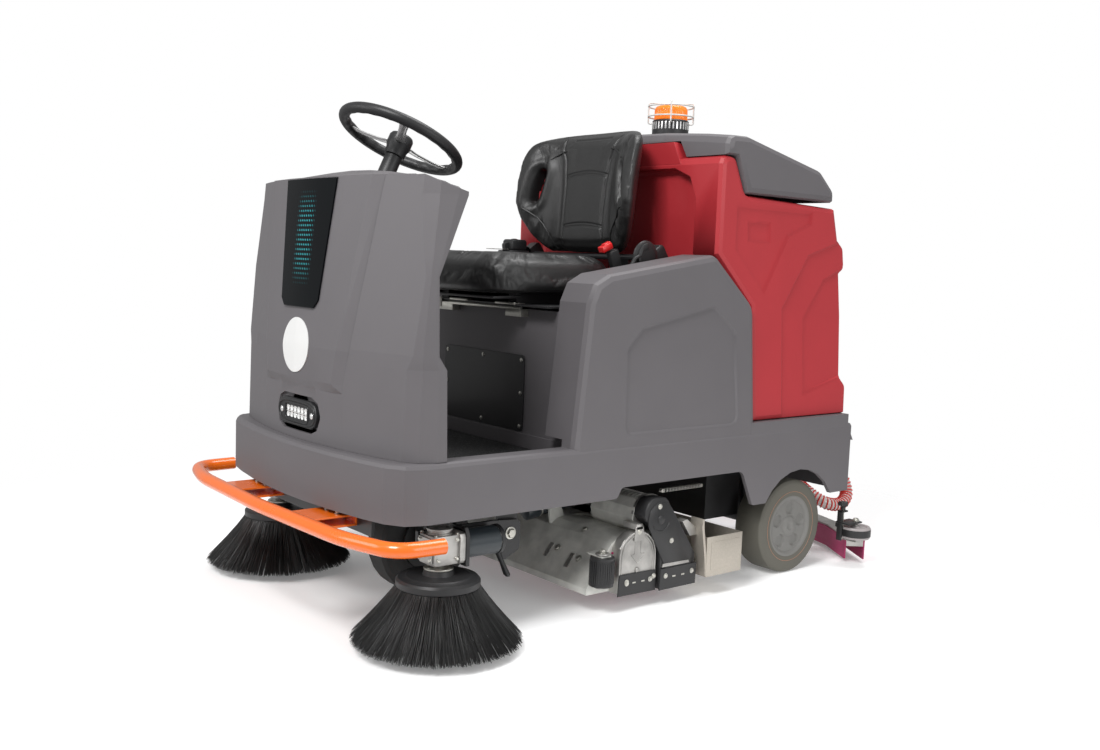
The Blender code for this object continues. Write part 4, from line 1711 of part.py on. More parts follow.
def deck_housing():
    """The cast deck over both brushes, open below, with its lift ears and two motors on top."""
    deck = prism("deck_housing", deck_profile(), "X", -DECK_HALF_WIDTH, DECK_HALF_WIDTH,
                 "cast_aluminium")
    half = DECK_HALF_WIDTH - DECK_WALL
    cut(deck, prism("brush_tunnel", brush_tunnel_outline(), "X", -half, half),
        prism("flare_tunnel", flare_tunnel_outline(), "X", DECK_CORNER_BLOCK - half,
              half - DECK_CORNER_BLOCK))
    rail_y = BRUSH_REAR_Y + BRUSH_RADIUS + RUN_GAP
    extra = [box("tray_rail", (BITE - half, half - BITE), (rail_y + BITE / 2, rail_y + TRAY_RAIL_DEPTH),
                 (TRAY_BOTTOM - SEAT_GAP - TRAY_RAIL_THICK, TRAY_BOTTOM - SEAT_GAP))]
    for side in (-1, 1):
        x = side * (LINK_X + LINK_THICK / 2 + RUN_GAP / 2)
        extra.append(prism("ear", rounded([(LINK_DECK_Y - LINK_EYE_RADIUS / 2,
                                            hood_z(LINK_DECK_Y - LINK_EYE_RADIUS / 2)),
                                           (LINK_DECK_Y + LINK_EYE_RADIUS * 2,
                                            hood_z(LINK_DECK_Y + LINK_EYE_RADIUS * 2)),
                                           (LINK_DECK_Y + LINK_EYE_RADIUS, LINK_DECK_Z + EAR_CROWN),
                                           (LINK_DECK_Y - LINK_EYE_RADIUS, LINK_DECK_Z + EAR_CROWN)],
                                          [0, 0, LINK_PIN_RADIUS, LINK_PIN_RADIUS]),
                           "X", x, x + side * EAR_THICK))
        extra.append(cylinder("ear_pin", "X", (LINK_DECK_Y, LINK_DECK_Z), LINK_PIN_RADIUS,
                              side * (LINK_X - LINK_THICK / 2), x + side * EAR_THICK / 2,
                              steps=SMALL_STEPS))
        motor_y = deck_middle_y() + side * COVER_TOP_SHIFT
        extra.append(cylinder("deck_motor", "X", (motor_y, COVER_TOP_Z), DECK_MOTOR_RADIUS,
                              side * (DECK_HALF_WIDTH - DECK_MOTOR_LENGTH),
                              side * (DECK_HALF_WIDTH - PIN_GAP)))
    cut(deck, roller_pocket(-1), roller_pocket(1))
    join(deck, *extra, *roller_bracket(-1), *roller_bracket(1))
    ends = DECK_HALF_WIDTH + OVERRUN
    return cut(deck, *[cylinder("spindle_way", "X", (y, BRUSH_Z), BRUSH_CORE_RADIUS + PIN_GAP, -ends, ends)
                       for y in (BRUSH_FRONT_Y, BRUSH_REAR_Y)])


def belt_cover(side_name, side):
    """The black cover over the belt from the motor down to one brush, with its rubber skirt."""
    start = DECK_HALF_WIDTH + SEAT_GAP
    end = start + COVER_THICK
    flank = COVER_WHEEL_RADIUS
    brush_u = BRUSH_REAR_Y - deck_middle_y()
    points = [(brush_u - flank, COVER_BOTTOM), (brush_u + flank, COVER_BOTTOM),
              (brush_u + flank, BRUSH_Z + BELT_EDGE),
              (COVER_TOP_SHIFT + COVER_TOP_RADIUS, COVER_TOP_Z + BELT_EDGE),
              (COVER_TOP_SHIFT + COVER_TOP_RADIUS / 2, COVER_TOP_Z + COVER_TOP_RADIUS),
              (COVER_TOP_SHIFT - COVER_TOP_RADIUS / 2, COVER_TOP_Z + COVER_TOP_RADIUS),
              (COVER_TOP_SHIFT - COVER_TOP_RADIUS, COVER_TOP_Z + BELT_EDGE),
              (brush_u - flank, COVER_NECK_Z)]
    outline = [(deck_middle_y() + side * u, z) for u, z in points]
    bends = [BITE, BITE, BELT_EDGE] + [BELT_EDGE * 2] * 4 + [BELT_EDGE]
    cover = prism(f"belt_cover_{side_name}", rounded(outline, bends), "X", side * start, side * end,
                  "black_plastic", edge=BITE, edges="end")
    return cut(cover, spindle_bore(side, BRUSH_REAR_Y if side > 0 else BRUSH_FRONT_Y))


def deck_middle_y():
    """The plane midway between the two brushes."""
    return (BRUSH_FRONT_Y + BRUSH_REAR_Y) / 2


def spindle_bore(side, brush_y):
    """The blind hole in an end piece that the brush's spindle turns in."""
    start = DECK_HALF_WIDTH - OVERRUN
    return cylinder("spindle_bore", "X", (brush_y, BRUSH_Z), BRUSH_CORE_RADIUS + PIN_GAP, side * start,
                    side * (DECK_HALF_WIDTH + SPINDLE_REACH))


def end_door(side_name, side, brush_y):
    """The cast door over the other brush's idle end, arched at its top and open for its spindle."""
    start = DECK_HALF_WIDTH + SEAT_GAP
    middle = brush_y + side * DOOR_SHIFT
    outline = [(middle - DOOR_RADIUS, DOOR_BOTTOM), (middle + DOOR_RADIUS, DOOR_BOTTOM)]
    outline += [(middle + DOOR_RADIUS * math.cos(math.pi * step / SMALL_STEPS),
                 DOOR_SPRING_Z + DOOR_RADIUS * math.sin(math.pi * step / SMALL_STEPS))
                for step in range(SMALL_STEPS + 1)]
    door = prism(f"end_door_{side_name}", outline, "X", side * start, side * (start + DOOR_THICK),
                 "cast_aluminium", edge=BITE, edges="end")
    return cut(door, spindle_bore(side, brush_y))


def brush(name, y):
    """A cylindrical scrub brush on a spindle that reaches into both ends."""
    half = DECK_HALF_WIDTH - DECK_WALL - BRUSH_END_GAP
    end = DECK_HALF_WIDTH + SPINDLE_REACH - PIN_GAP
    profile = [(-end, 0), (-end, BRUSH_CORE_RADIUS), (-half, BRUSH_CORE_RADIUS), (-half, BRUSH_RADIUS),
               (half, BRUSH_RADIUS), (half, BRUSH_CORE_RADIUS), (end, BRUSH_CORE_RADIUS), (end, 0)]
    return turned(name, profile, "X", (0, y, BRUSH_Z), "magenta_rubber")


def debris_tray():
    """The steel tray behind the brushes, open on top, that slides out to the left."""
    tray = box("debris_tray", (TRAY_INNER_X, TRAY_END_X), (TRAY_FRONT_Y, TRAY_REAR_Y),
               (TRAY_BOTTOM, TRAY_TOP), "tray_steel")
    wall = TRAY_WALL
    inner = box("tray_hollow", (TRAY_INNER_X + wall, TRAY_END_X - wall),
                (TRAY_FRONT_Y + wall, TRAY_REAR_Y - wall), (TRAY_BOTTOM + wall, TRAY_TOP + OVERRUN))
    return cut(tray, inner)


def lift_links():
    """The two deck lift links, tied by a cross tube so that both sides rise together."""
    links = []
    frame_eye = Vector((LINK_FRAME_Y, LINK_FRAME_Z))
    deck_eye = Vector((LINK_DECK_Y, LINK_DECK_Z))
    along = (deck_eye - frame_eye).normalized()
    across = Vector((-along.y, along.x)) * LINK_EYE_RADIUS * LINK_SIDE_SHARE
    reach = along * LINK_EYE_RADIUS * LINK_END_SHARE
    outline = [tuple(frame_eye - reach - across), tuple(deck_eye + reach - across),
               tuple(deck_eye + reach + across), tuple(frame_eye - reach + across)]
    for side in (-1, 1):
        link = prism("lift_links" if side < 0 else "link", rounded(outline, LINK_PIN_RADIUS), "X",
                     side * (LINK_X - LINK_THICK / 2), side * (LINK_X + LINK_THICK / 2), "zinc")
        for eye in (frame_eye, deck_eye):
            cut(link, cylinder("eye", "X", tuple(eye), LINK_PIN_RADIUS + PIN_GAP,
                               side * (LINK_X - LINK_THICK), side * (LINK_X + LINK_THICK),
                               steps=SMALL_STEPS))
        links.append(link)
    middle = (frame_eye + deck_eye) / 2
    tube = cylinder("tie", "X", tuple(middle), LINK_PIN_RADIUS, -LINK_X, LINK_X, steps=SMALL_STEPS)
    return join(links[0], links[1], tube)


def squeegee_arc(radius, half_span, steps):
    """Plan points along the squeegee's bow, from the right end to the left."""
    centre_y = SQUEEGEE_REAR_Y - SQUEEGEE_BOW_RADIUS
    reach = math.asin(half_span / SQUEEGEE_BOW_RADIUS)
    turns = [reach * (2 * i / steps - 1) for i in range(steps + 1)]
    return [(radius * math.sin(turn), centre_y + radius * math.cos(turn)) for turn in turns]


def squeegee_strip(name, outer, inner, z0, z1, coat, half_span=SQUEEGEE_HALF_SPAN):
    """A curved strip between two radii of the bow."""
    front = squeegee_arc(inner, half_span, ROUND_STEPS // 2)
    back = squeegee_arc(outer, half_span, ROUND_STEPS // 2)
    return prism(name, front + list(reversed(back)), "Z", z0, z1, coat)


def squeegee():
    """The curved bar with its swing post and end brackets, and the two blades on its edges."""
    radius = SQUEEGEE_BOW_RADIUS
    half = SQUEEGEE_BAR_WIDTH / 2
    bar = squeegee_strip("squeegee_bar", radius + half, radius - half, SQUEEGEE_BAR_BOTTOM, SQUEEGEE_BAR_TOP,
                         "cast_aluminium")
    parts = [cylinder("swing_post", "Z", (0, SQUEEGEE_REAR_Y), STUB_RADIUS, SQUEEGEE_BAR_TOP - BITE,
                      SWING_BARREL_TOP + BITE, steps=SMALL_STEPS),
             cylinder("hose_port", "Z", (HOSE_PORT_X, hose_port_y()), HOSE_PORT_RADIUS,
                      SQUEEGEE_BAR_TOP - BITE, HOSE_PORT_TOP)]
    for side in (-1, 1):
        x = pair(side, SQUEEGEE_HALF_SPAN - STUB_RADIUS, END_ROLLER_X + STUB_RADIUS)
        parts.append(box("roller_tab", x, (END_ROLLER_Y - STUB_RADIUS, END_ROLLER_Y + STUB_RADIUS),
                         (SQUEEGEE_BAR_TOP - BITE, SQUEEGEE_BAR_TOP + BITE)))
        parts.append(cylinder("roller_pin", "Z", (side * END_ROLLER_X, END_ROLLER_Y), LINK_PIN_RADIUS,
                              SQUEEGEE_BAR_TOP, END_ROLLER_Z + END_ROLLER_HEIGHT + BITE, steps=SMALL_STEPS))
    join(bar, *parts)
    edges = ((radius + half, "squeegee_blade_rear"), (radius - half, "squeegee_blade_front"))
    for edge_radius, name in edges:
        outward = 1 if edge_radius > radius else -1
        near = edge_radius + outward * SEAT_GAP
        far = near + outward * BLADE_THICK
        squeegee_strip(name, max(near, far), min(near, far), BLADE_BOTTOM, BLADE_TOP, "magenta_rubber")


def squeegee_arm():
    """The hitch arm from the frame's ears back to the barrel round the squeegee's swing post."""
    low = SQUEEGEE_BAR_TOP + SEAT_GAP
    middle_z = (low + SWING_BARREL_TOP) / 2
    route = [(0, HITCH_PIVOT_Y, HITCH_PIVOT_Z),
             (0, HITCH_PIVOT_Y + HITCH_DROP_RUN, HITCH_PIVOT_Z - HITCH_DROP_RUN),
             (0, SQUEEGEE_REAR_Y - HITCH_DROP_RUN, middle_z),
             (0, SQUEEGEE_REAR_Y - STUB_RADIUS, middle_z)]
    arm = swept("squeegee_arm", smooth_route(route, 4), STUB_RADIUS, "zinc")
    barrel = cylinder("barrel", "X", (HITCH_PIVOT_Y, HITCH_PIVOT_Z), LINK_EYE_RADIUS, -SQUEEGEE_BAR_WIDTH,
                      SQUEEGEE_BAR_WIDTH)
    swing = cylinder("swing_barrel", "Z", (0, SQUEEGEE_REAR_Y), SWING_BARREL_RADIUS, low, SWING_BARREL_TOP)
    join(arm, barrel, swing)
    reach = SQUEEGEE_BAR_WIDTH + OVERRUN
    return cut(arm, cylinder("barrel_bore", "X", (HITCH_PIVOT_Y, HITCH_PIVOT_Z), LINK_PIN_RADIUS + PIN_GAP,
                             -reach, reach, steps=SMALL_STEPS),
               cylinder("swing_bore", "Z", (0, SQUEEGEE_REAR_Y), STUB_RADIUS + PIN_GAP, low - OVERRUN,
                        SWING_BARREL_TOP + OVERRUN, steps=SMALL_STEPS))


def hose_port_y():
    """Where the squeegee's hose port stands on the bar's bow."""
    return SQUEEGEE_REAR_Y - SQUEEGEE_BOW_RADIUS + math.sqrt(SQUEEGEE_BOW_RADIUS ** 2 - HOSE_PORT_X ** 2)


def vacuum_hose():
    """The suction hose from the squeegee's port round behind the left wheel and up to the tank."""
    start = Vector((HOSE_PORT_X, hose_port_y(), HOSE_PORT_TOP + SEAT_GAP))
    end = Vector((TANK_PORT_X, TANK_PORT_END_Y + SEAT_GAP, TANK_PORT_Z))
    up = start + Vector((0, 0, HOSE_RADIUS))
    back = end + Vector((0, HOSE_RADIUS, 0))
    points = [start] + smooth_route([up, *HOSE_POINTS, back], HOSE_SPAN_STEPS) + [end]
    curve = bpy.data.curves.new("vacuum_hose", "CURVE")
    curve.dimensions = "3D"
    curve.bevel_depth = HOSE_RADIUS
    curve.bevel_resolution = 2
    curve.use_fill_caps = True
    spline = curve.splines.new("POLY")
    spline.points.add(len(points) - 1)
    for place, point in zip(spline.points, points):
        place.co = (*point, 1.0)
    hose = bpy.data.objects.new("vacuum_hose", curve)
    curve.materials.append(finish("red_hose"))
    bpy.context.scene.collection.objects.link(hose)
    return hose


def end_roller(side_name, side):
    """The bumper roller that turns on a pin at one end of the squeegee."""
    low = END_ROLLER_Z
    high = low + END_ROLLER_HEIGHT
    bore = LINK_PIN_RADIUS + PIN_GAP
    profile = [(low, bore), (low, END_ROLLER_RADIUS - BITE), (low + BITE, END_ROLLER_RADIUS),
               (high - BITE, END_ROLLER_RADIUS), (high, END_ROLLER_RADIUS - BITE), (high, bore)]
    return turned(f"end_roller_{side_name}", profile, "Z", (side * END_ROLLER_X, END_ROLLER_Y, 0), "hub_grey")


def tidy_up():
    """Shades round pieces smooth up to a limit angle, so that flat faces stay flat."""
    for item in bpy.context.scene.objects:
        if item.type == "MESH":
            item.data.shade_smooth()
            item.data.set_sharp_from_angle(angle=SMOOTH_ANGLE)


def joint_places():
    """Each moving piece's name with a point on its joint's axis."""
    places = {"drive_unit": (0, FRONT_WHEEL_Y, WHEEL_RADIUS), "drive_wheel": (0, FRONT_WHEEL_Y, WHEEL_RADIUS),
              "steering_wheel": (0, STEER_HUB_Y, STEER_HUB_Z),
              "lift_links": (0, LINK_FRAME_Y, LINK_FRAME_Z),
              "debris_tray": (TRAY_END_X, TRAY_FRONT_Y, TRAY_BOTTOM),
              "brush_front": (0, BRUSH_FRONT_Y, BRUSH_Z), "brush_rear": (0, BRUSH_REAR_Y, BRUSH_Z),
              "squeegee_arm": (0, HITCH_PIVOT_Y, HITCH_PIVOT_Z)}
    seat_hinge_z = SEAT_PLATE_BOTTOM - SEAT_HINGE_RADIUS - SEAT_GAP
    for name in ("seat_plate", "seat_cushion", "seat_back", "seat_recliner", "belt_buckle", "belt_tongue"):
        places[name] = (0, SEAT_HINGE_Y, seat_hinge_z)
    for name in ("tank_lid", "beacon_base", "beacon_lens", "beacon_guard"):
        places[name] = (0, LID_HINGE_Y, LID_HINGE_Z)
    for name in ("deck_housing", "belt_cover_left", "belt_cover_right", "end_door_left", "end_door_right"):
        places[name] = (0, LINK_DECK_Y, LINK_DECK_Z)
    for name in ("squeegee_bar", "squeegee_blade_front", "squeegee_blade_rear"):
        places[name] = (0, SQUEEGEE_REAR_Y, SQUEEGEE_BAR_TOP)
    for side_name, side in SIDES:
        places[f"rear_tyre_{side_name}"] = (0, REAR_AXLE_Y, WHEEL_RADIUS)
        places[f"rear_hub_{side_name}"] = (0, REAR_AXLE_Y, WHEEL_RADIUS)
        places[f"broom_arm_{side_name}"] = (side * ARM_X, ARM_PIVOT_Y, ARM_PIVOT_Z)
        places[f"broom_motor_{side_name}"] = (side * ARM_X, ARM_PIVOT_Y, ARM_PIVOT_Z)
        places[f"side_broom_{side_name}"] = (side * BROOM_X, BROOM_Y, BROOM_DISC_BOTTOM)
        places[f"end_roller_{side_name}"] = (side * END_ROLLER_X, END_ROLLER_Y, END_ROLLER_Z)
        places[f"deck_roller_{side_name}"] = (side * DECK_ROLLER_X, DECK_ROLLER_Y, DECK_ROLLER_BOTTOM)
    return places


def set_origins():
    """Puts each moving piece's origin on its joint's axis, with the piece left where it is."""
    for name, place in joint_places().items():
        item = bpy.data.objects[name]
        item.data.transform(Matrix.Translation(-Vector(place)))
        item.location = place


def main():
    """Builds every piece."""
    for item in list(bpy.data.objects):
        bpy.data.objects.remove(item)
    chassis_frame()
    rear_axle()
    body_shell()
    battery_pack()
    access_panel()
    floor_mat()
    front_cowl()
    cowl_screen()
    headlamp()
    steering_column()
    steering_wheel()
    dashboard()
    pedal("accelerator_pedal", ACCELERATOR_X, PEDAL_LENGTH)
    pedal("brake_pedal", BRAKE_X, PEDAL_LENGTH * BRAKE_LENGTH_SHARE)
    bumper_bar()
    recovery_tank()
    tank_lid()
    beacon()
    beacon_guard()
    seat_plate()
    seat_hinges()
    seat_cushion()
    seat_back()
    seat_recliner()
    belt_buckle()
    belt_tongue()
    for side_name, side in SIDES:
        broom_arm(side_name, side)
        broom_motor(side_name, side)
        side_broom(side_name, side)
        rear_wheel(side_name, side)
        end_roller(side_name, side)
        deck_roller(side_name, side)
        belt_cover(side_name, side)
        end_door(side_name, side, BRUSH_FRONT_Y if side > 0 else BRUSH_REAR_Y)
    drive_wheel()
    drive_unit()
    deck_housing()
    brush("brush_front", BRUSH_FRONT_Y)
    brush("brush_rear", BRUSH_REAR_Y)
    debris_tray()
    lift_links()
    squeegee()
    squeegee_arm()
    vacuum_hose()
    tidy_up()
    set_origins()


main()
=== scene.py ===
"""Looks of a ride-on floor scrubber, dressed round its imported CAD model.

Metres, +Z up. The machine drives toward -Y and its left side is +X. The floor is z = 0.
"""
import json
import logging
import math
import random
from dataclasses import dataclass, field
from enum import Enum
from typing import Callable, Optional, Sequence, Union

import bmesh
import bpy
from mathutils import Matrix, Vector
from mathutils.bvhtree import BVHTree

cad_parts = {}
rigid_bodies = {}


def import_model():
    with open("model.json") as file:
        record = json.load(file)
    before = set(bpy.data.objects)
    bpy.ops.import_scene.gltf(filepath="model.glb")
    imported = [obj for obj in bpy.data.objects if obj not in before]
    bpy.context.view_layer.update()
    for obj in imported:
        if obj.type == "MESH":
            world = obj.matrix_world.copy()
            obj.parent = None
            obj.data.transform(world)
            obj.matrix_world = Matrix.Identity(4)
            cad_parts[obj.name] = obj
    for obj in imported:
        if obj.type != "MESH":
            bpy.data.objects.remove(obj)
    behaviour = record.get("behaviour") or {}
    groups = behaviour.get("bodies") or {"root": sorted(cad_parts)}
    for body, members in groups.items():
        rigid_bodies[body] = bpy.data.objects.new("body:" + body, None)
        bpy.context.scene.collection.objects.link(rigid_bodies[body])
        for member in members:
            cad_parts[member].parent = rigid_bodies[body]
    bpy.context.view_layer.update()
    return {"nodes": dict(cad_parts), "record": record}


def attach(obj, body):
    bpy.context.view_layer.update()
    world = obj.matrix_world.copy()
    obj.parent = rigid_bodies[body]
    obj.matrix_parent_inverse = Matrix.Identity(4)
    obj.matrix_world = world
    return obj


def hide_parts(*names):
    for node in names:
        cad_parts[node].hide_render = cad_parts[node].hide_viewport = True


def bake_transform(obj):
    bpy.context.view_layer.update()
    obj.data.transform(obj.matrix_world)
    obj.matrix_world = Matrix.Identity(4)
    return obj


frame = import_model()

LOG = logging.getLogger("floor_scrubber")

Colour = tuple[float, float, float]
Point = tuple[float, float, float]

MERGE = 0.00002
FLAT_ANGLE = math.radians(0.05)
HARD_ANGLE = math.radians(34)
RIM_ANGLE = math.radians(40)
ROUND_ANGLE = math.radians(50)
SOFT_ANGLE = math.radians(80)
FINISH_MARK = "_finish"
ORIGIN, UP, DOWN = (0, 0, 0), (0, 0, 1), (0, 0, -1)
FORWARD, REARWARD, OUTWARD = (0, -1, 0), (0, 1, 0), (1, 0, 0)
# Where rays start that look at the machine's front
AHEAD_Y = -1.3
SIDES = (("left", 1), ("right", -1))


class Axis(Enum):
    """The direction in which a shape runs, with the two directions across it."""

    X = (Vector((1, 0, 0)), Vector((0, 1, 0)), Vector((0, 0, 1)))
    Y = (Vector((0, 1, 0)), Vector((0, 0, 1)), Vector((1, 0, 0)))
    Z = (Vector((0, 0, 1)), Vector((1, 0, 0)), Vector((0, 1, 0)))


def turns(count: int, offset: float = 0.0) -> list[float]:
    """Equal angles round a circle, moved on by a share of one step."""
    return [2 * math.pi * (step + offset) / count for step in range(count)]


def both(*names: str) -> tuple[str, ...]:
    """Each name with its left and its right ending."""
    return tuple(f"{name}_{side_name}" for name in names for side_name, _ in SIDES)


# Node trees


class Signal:
    """A value in a node tree. Arithmetic on it adds Math nodes."""

    def __init__(self, graph: "Graph", socket: bpy.types.NodeSocket) -> None:
        """Keeps the socket and the tree it belongs to."""
        self.graph = graph
        self.socket = socket

    def _maths(self, operation: str, first: "Operand", second: "Operand" = 0.0) -> "Signal":
        """Adds one Math node.

        Args:
            operation: the Math node's operation.
            first: the first operand.
            second: the second operand.

        Returns:
            The node's result.
        """
        node = self.graph.node("ShaderNodeMath", {"operation": operation}, {0: first, 1: second})
        return Signal(self.graph, node.outputs[0])

    def __add__(self, other: "Operand") -> "Signal":
        """The sum."""
        return self._maths("ADD", self, other)

    def __radd__(self, other: "Operand") -> "Signal":
        """The sum, with a number first."""
        return self._maths("ADD", other, self)

    def __sub__(self, other: "Operand") -> "Signal":
        """The difference."""
        return self._maths("SUBTRACT", self, other)

    def __rsub__(self, other: "Operand") -> "Signal":
        """The difference, with a number first."""
        return self._maths("SUBTRACT", other, self)

    def __mul__(self, other: "Operand") -> "Signal":
        """The product."""
        return self._maths("MULTIPLY", self, other)

    def __truediv__(self, other: "Operand") -> "Signal":
        """The quotient."""
        return self._maths("DIVIDE", self, other)

    def __pow__(self, other: "Operand") -> "Signal":
        """The power."""
        return self._maths("POWER", self, other)

    def size(self) -> "Signal":
        """The value without its sign."""
        return self._maths("ABSOLUTE", self)

    def part(self) -> "Signal":
        """The fraction left over by whole numbers."""
        return self._maths("FRACT", self)

    def most(self, other: "Operand") -> "Signal":
        """The larger of two values."""
        return self._maths("MAXIMUM", self, other)

    def ramp(self, low: float, high: float) -> "Signal":
        """A smooth rise from 0 at low to 1 at high."""
        node = self.graph.node("ShaderNodeMapRange", {"interpolation_type": "SMOOTHSTEP"},
                               {"Value": self, "From Min": low, "From Max": high})
        return Signal(self.graph, node.outputs[0])


Operand = Union[Signal, float]


class Graph:
    """A node tree of any kind, with one way of making nodes."""

    def __init__(self, tree: bpy.types.NodeTree) -> None:
        """Keeps the tree and empties it."""
        self.tree = tree
        tree.nodes.clear()

    def node(self, kind: str, settings: Optional[dict] = None,
             inputs: Optional[dict] = None) -> bpy.types.Node:
        """Adds a node.

        Args:
            kind: the node's type name.
            settings: attributes that are set first, such as an operation.
            inputs: values or links of its sockets, by name or index.

        Returns:
            The new node.
        """
        made = self.tree.nodes.new(kind)
        for key, value in (settings or {}).items():
            setattr(made, key, value)
        for key, value in (inputs or {}).items():
            self.feed(made.inputs[key], value)
        return made

    def feed(self, socket: bpy.types.NodeSocket, value: object) -> None:
        """Links a signal or a socket to a socket, or sets its constant."""
        if isinstance(value, Signal):
            self.tree.links.new(value.socket, socket)
        elif isinstance(value, bpy.types.NodeSocket):
            self.tree.links.new(value, socket)
        elif socket.type == "RGBA":
            socket.default_value = (*value, 1)
        else:
            socket.default_value = value


class Shader(Graph):
    """The node tree of one material."""

    def __init__(self, name: str) -> None:
        """Starts a tree with a Principled shader and an output."""
        self.material = bpy.data.materials.new(name + FINISH_MARK)
        self.material.use_nodes = True
        super().__init__(self.material.node_tree)
        self.surface = self.node("ShaderNodeBsdfPrincipled")
        self.node("ShaderNodeOutputMaterial", {}, {"Surface": self.surface.outputs[0]})
        self.place = self.node("ShaderNodeTexCoord").outputs["Object"]

    def axes(self) -> tuple[Signal, Signal, Signal]:
        """The three Object coordinates as signals."""
        node = self.node("ShaderNodeSeparateXYZ", {}, {0: self.place})
        return tuple(Signal(self, output) for output in node.outputs)

    def stretched(self, scale: Point) -> bpy.types.NodeSocket:
        """Object coordinates scaled apart along the three axes."""
        return self.node("ShaderNodeMapping", {}, {"Vector": self.place, "Scale": scale}).outputs[0]

    def noise(self, scale: float, detail: float = 2.0, where: object = None) -> Signal:
        """A noise texture's value at a scale per metre."""
        node = self.node("ShaderNodeTexNoise", {}, {"Vector": where or self.place, "Scale": scale,
                                                    "Detail": detail})
        return Signal(self, node.outputs[0])

    def cells(self, scale: float, feature: str = "F1") -> Signal:
        """A Voronoi texture's distance at a scale per metre."""
        node = self.node("ShaderNodeTexVoronoi", {"feature": feature},
                         {"Vector": self.place, "Scale": scale})
        return Signal(self, node.outputs["Distance"])

    def blend(self, factor: Operand, first: object, second: object) -> bpy.types.NodeSocket:
        """A colour between two colours."""
        node = self.node("ShaderNodeMix", {"data_type": "RGBA"}, {0: factor, 6: first, 7: second})
        return node.outputs[2]

    def edges(self, radius: float) -> tuple[Signal, bpy.types.NodeSocket]:
        """Where the surface turns sharply.

        Args:
            radius: how far an edge's wear and rounding reach.

        Returns:
            A mask that is 1 on edges, and the rounded normal.
        """
        rounded = self.node("ShaderNodeBevel", {"samples": 4}, {"Radius": radius}).outputs[0]
        plain = self.node("ShaderNodeNewGeometry").outputs["Normal"]
        dot = self.node("ShaderNodeVectorMath", {"operation": "DOT_PRODUCT"}, {0: rounded, 1: plain})
        return (1 - Signal(self, dot.outputs["Value"])).ramp(0.02, 0.25), rounded

    def relief(self, height: Signal, distance: float, normal: object = None) -> bpy.types.NodeSocket:
        """The normal of a surface that rises by height times distance."""
        inputs = {"Height": height, "Distance": distance, "Strength": 1.0}
        if normal is not None:
            inputs["Normal"] = normal
        return self.node("ShaderNodeBump", {}, inputs).outputs[0]

    def finish(self, inputs: dict) -> bpy.types.Material:
        """Feeds the Principled shader and gives the material."""
        for key, value in inputs.items():
            self.feed(self.surface.inputs[key], value)
        return self.material


# Finishes


@dataclass(frozen=True)
class Finish:
    """A solid finish with colour variation, a fine grain and worn edges.

    Attributes:
        name: the record's material slot.
        colour: the main colour.
        roughness: the mean roughness.
        metallic: 1 on bare metal.
        coat: a clear coat's weight.
        mottle: how far the colour varies over a hand's breadth.
        grain_scale: grains per metre.
        grain: the grain's height in metres.
        edge_radius: how far edges are rounded and worn.
        edge_colour: the colour of a worn edge.
        wear: how much of the edge colour shows.
        bottom_tint: how far low places near the floor blend toward half their colour.
    """

    name: str
    colour: Colour
    roughness: float
    metallic: float = 0.0
    coat: float = 0.0
    mottle: float = 0.08
    grain_scale: float = 900.0
    grain: float = 0.00004
    edge_radius: float = 0.0012
    edge_colour: Colour = (0.5, 0.5, 0.5)
    wear: float = 0.15
    bottom_tint: float = 0.15

    def material(self) -> bpy.types.Material:
        """The finish's one material, made at its first use. The CAD's own keep the plain names."""
        made = bpy.data.materials.get(self.name + FINISH_MARK)
        if made is None:
            shader = Shader(self.name)
            made = shader.finish(self.inputs(shader))
        return made

    def shade(self, factor: float) -> Colour:
        """The main colour, darker or brighter."""
        return tuple(min(1.0, value * factor) for value in self.colour)

    def inputs(self, shader: Shader) -> dict:
        """Builds the nodes of the finish.

        Args:
            shader: the tree they go into.

        Returns:
            What feeds the Principled shader, by socket name.
        """
        edge, rounded = shader.edges(self.edge_radius)
        mottle = shader.noise(9.0, 4.0)
        fine = shader.noise(self.grain_scale, 3.0)
        # Low places near the floor, in mottled patches, blend toward half the main colour plus a little
        # grey.
        low = (1 - shader.axes()[2].ramp(0.02, 0.42)) * mottle.ramp(0.35, 0.7)
        bottom_colour = tuple(value * 0.5 + 0.03 for value in self.colour)
        colour = shader.blend(mottle, self.shade(1 - self.mottle), self.shade(1 + self.mottle))
        colour = shader.blend(low * self.bottom_tint, colour, bottom_colour)
        chipped = edge * shader.noise(160.0, 3.0).ramp(0.42, 0.62)
        colour = shader.blend(chipped * self.wear, colour, self.edge_colour)
        gloss = self.roughness - 0.05 + mottle * 0.1 + (fine - 0.5) * 0.06
        return {"Base Color": colour, "Roughness": gloss, "Metallic": self.metallic,
                "Coat Weight": self.coat, "Coat Roughness": 0.12,
                "Normal": shader.relief(fine, self.grain, rounded)}


@dataclass(frozen=True)
class DrawnMetal(Finish):
    """A bare metal with fine streaks along one direction."""

    streak: Point = (4.0, 240.0, 240.0)

    def inputs(self, shader: Shader) -> dict:
        """Builds the nodes of the finish."""
        edge, rounded = shader.edges(self.edge_radius)
        mottle = shader.noise(14.0, 4.0)
        streaks = shader.noise(6.0, 4.0, shader.stretched(self.streak))
        colour = shader.blend(mottle * 0.6 + shader.cells(180.0) * 0.5,
                              self.shade(1 - 2 * self.mottle), self.shade(1 + self.mottle))
        colour = shader.blend(edge * self.wear, colour, self.edge_colour)
        gloss = self.roughness - 0.08 + streaks * 0.16 + mottle * 0.06
        return {"Base Color": colour, "Roughness": gloss, "Metallic": self.metallic,
                "Normal": shader.relief(streaks, self.grain, rounded)}


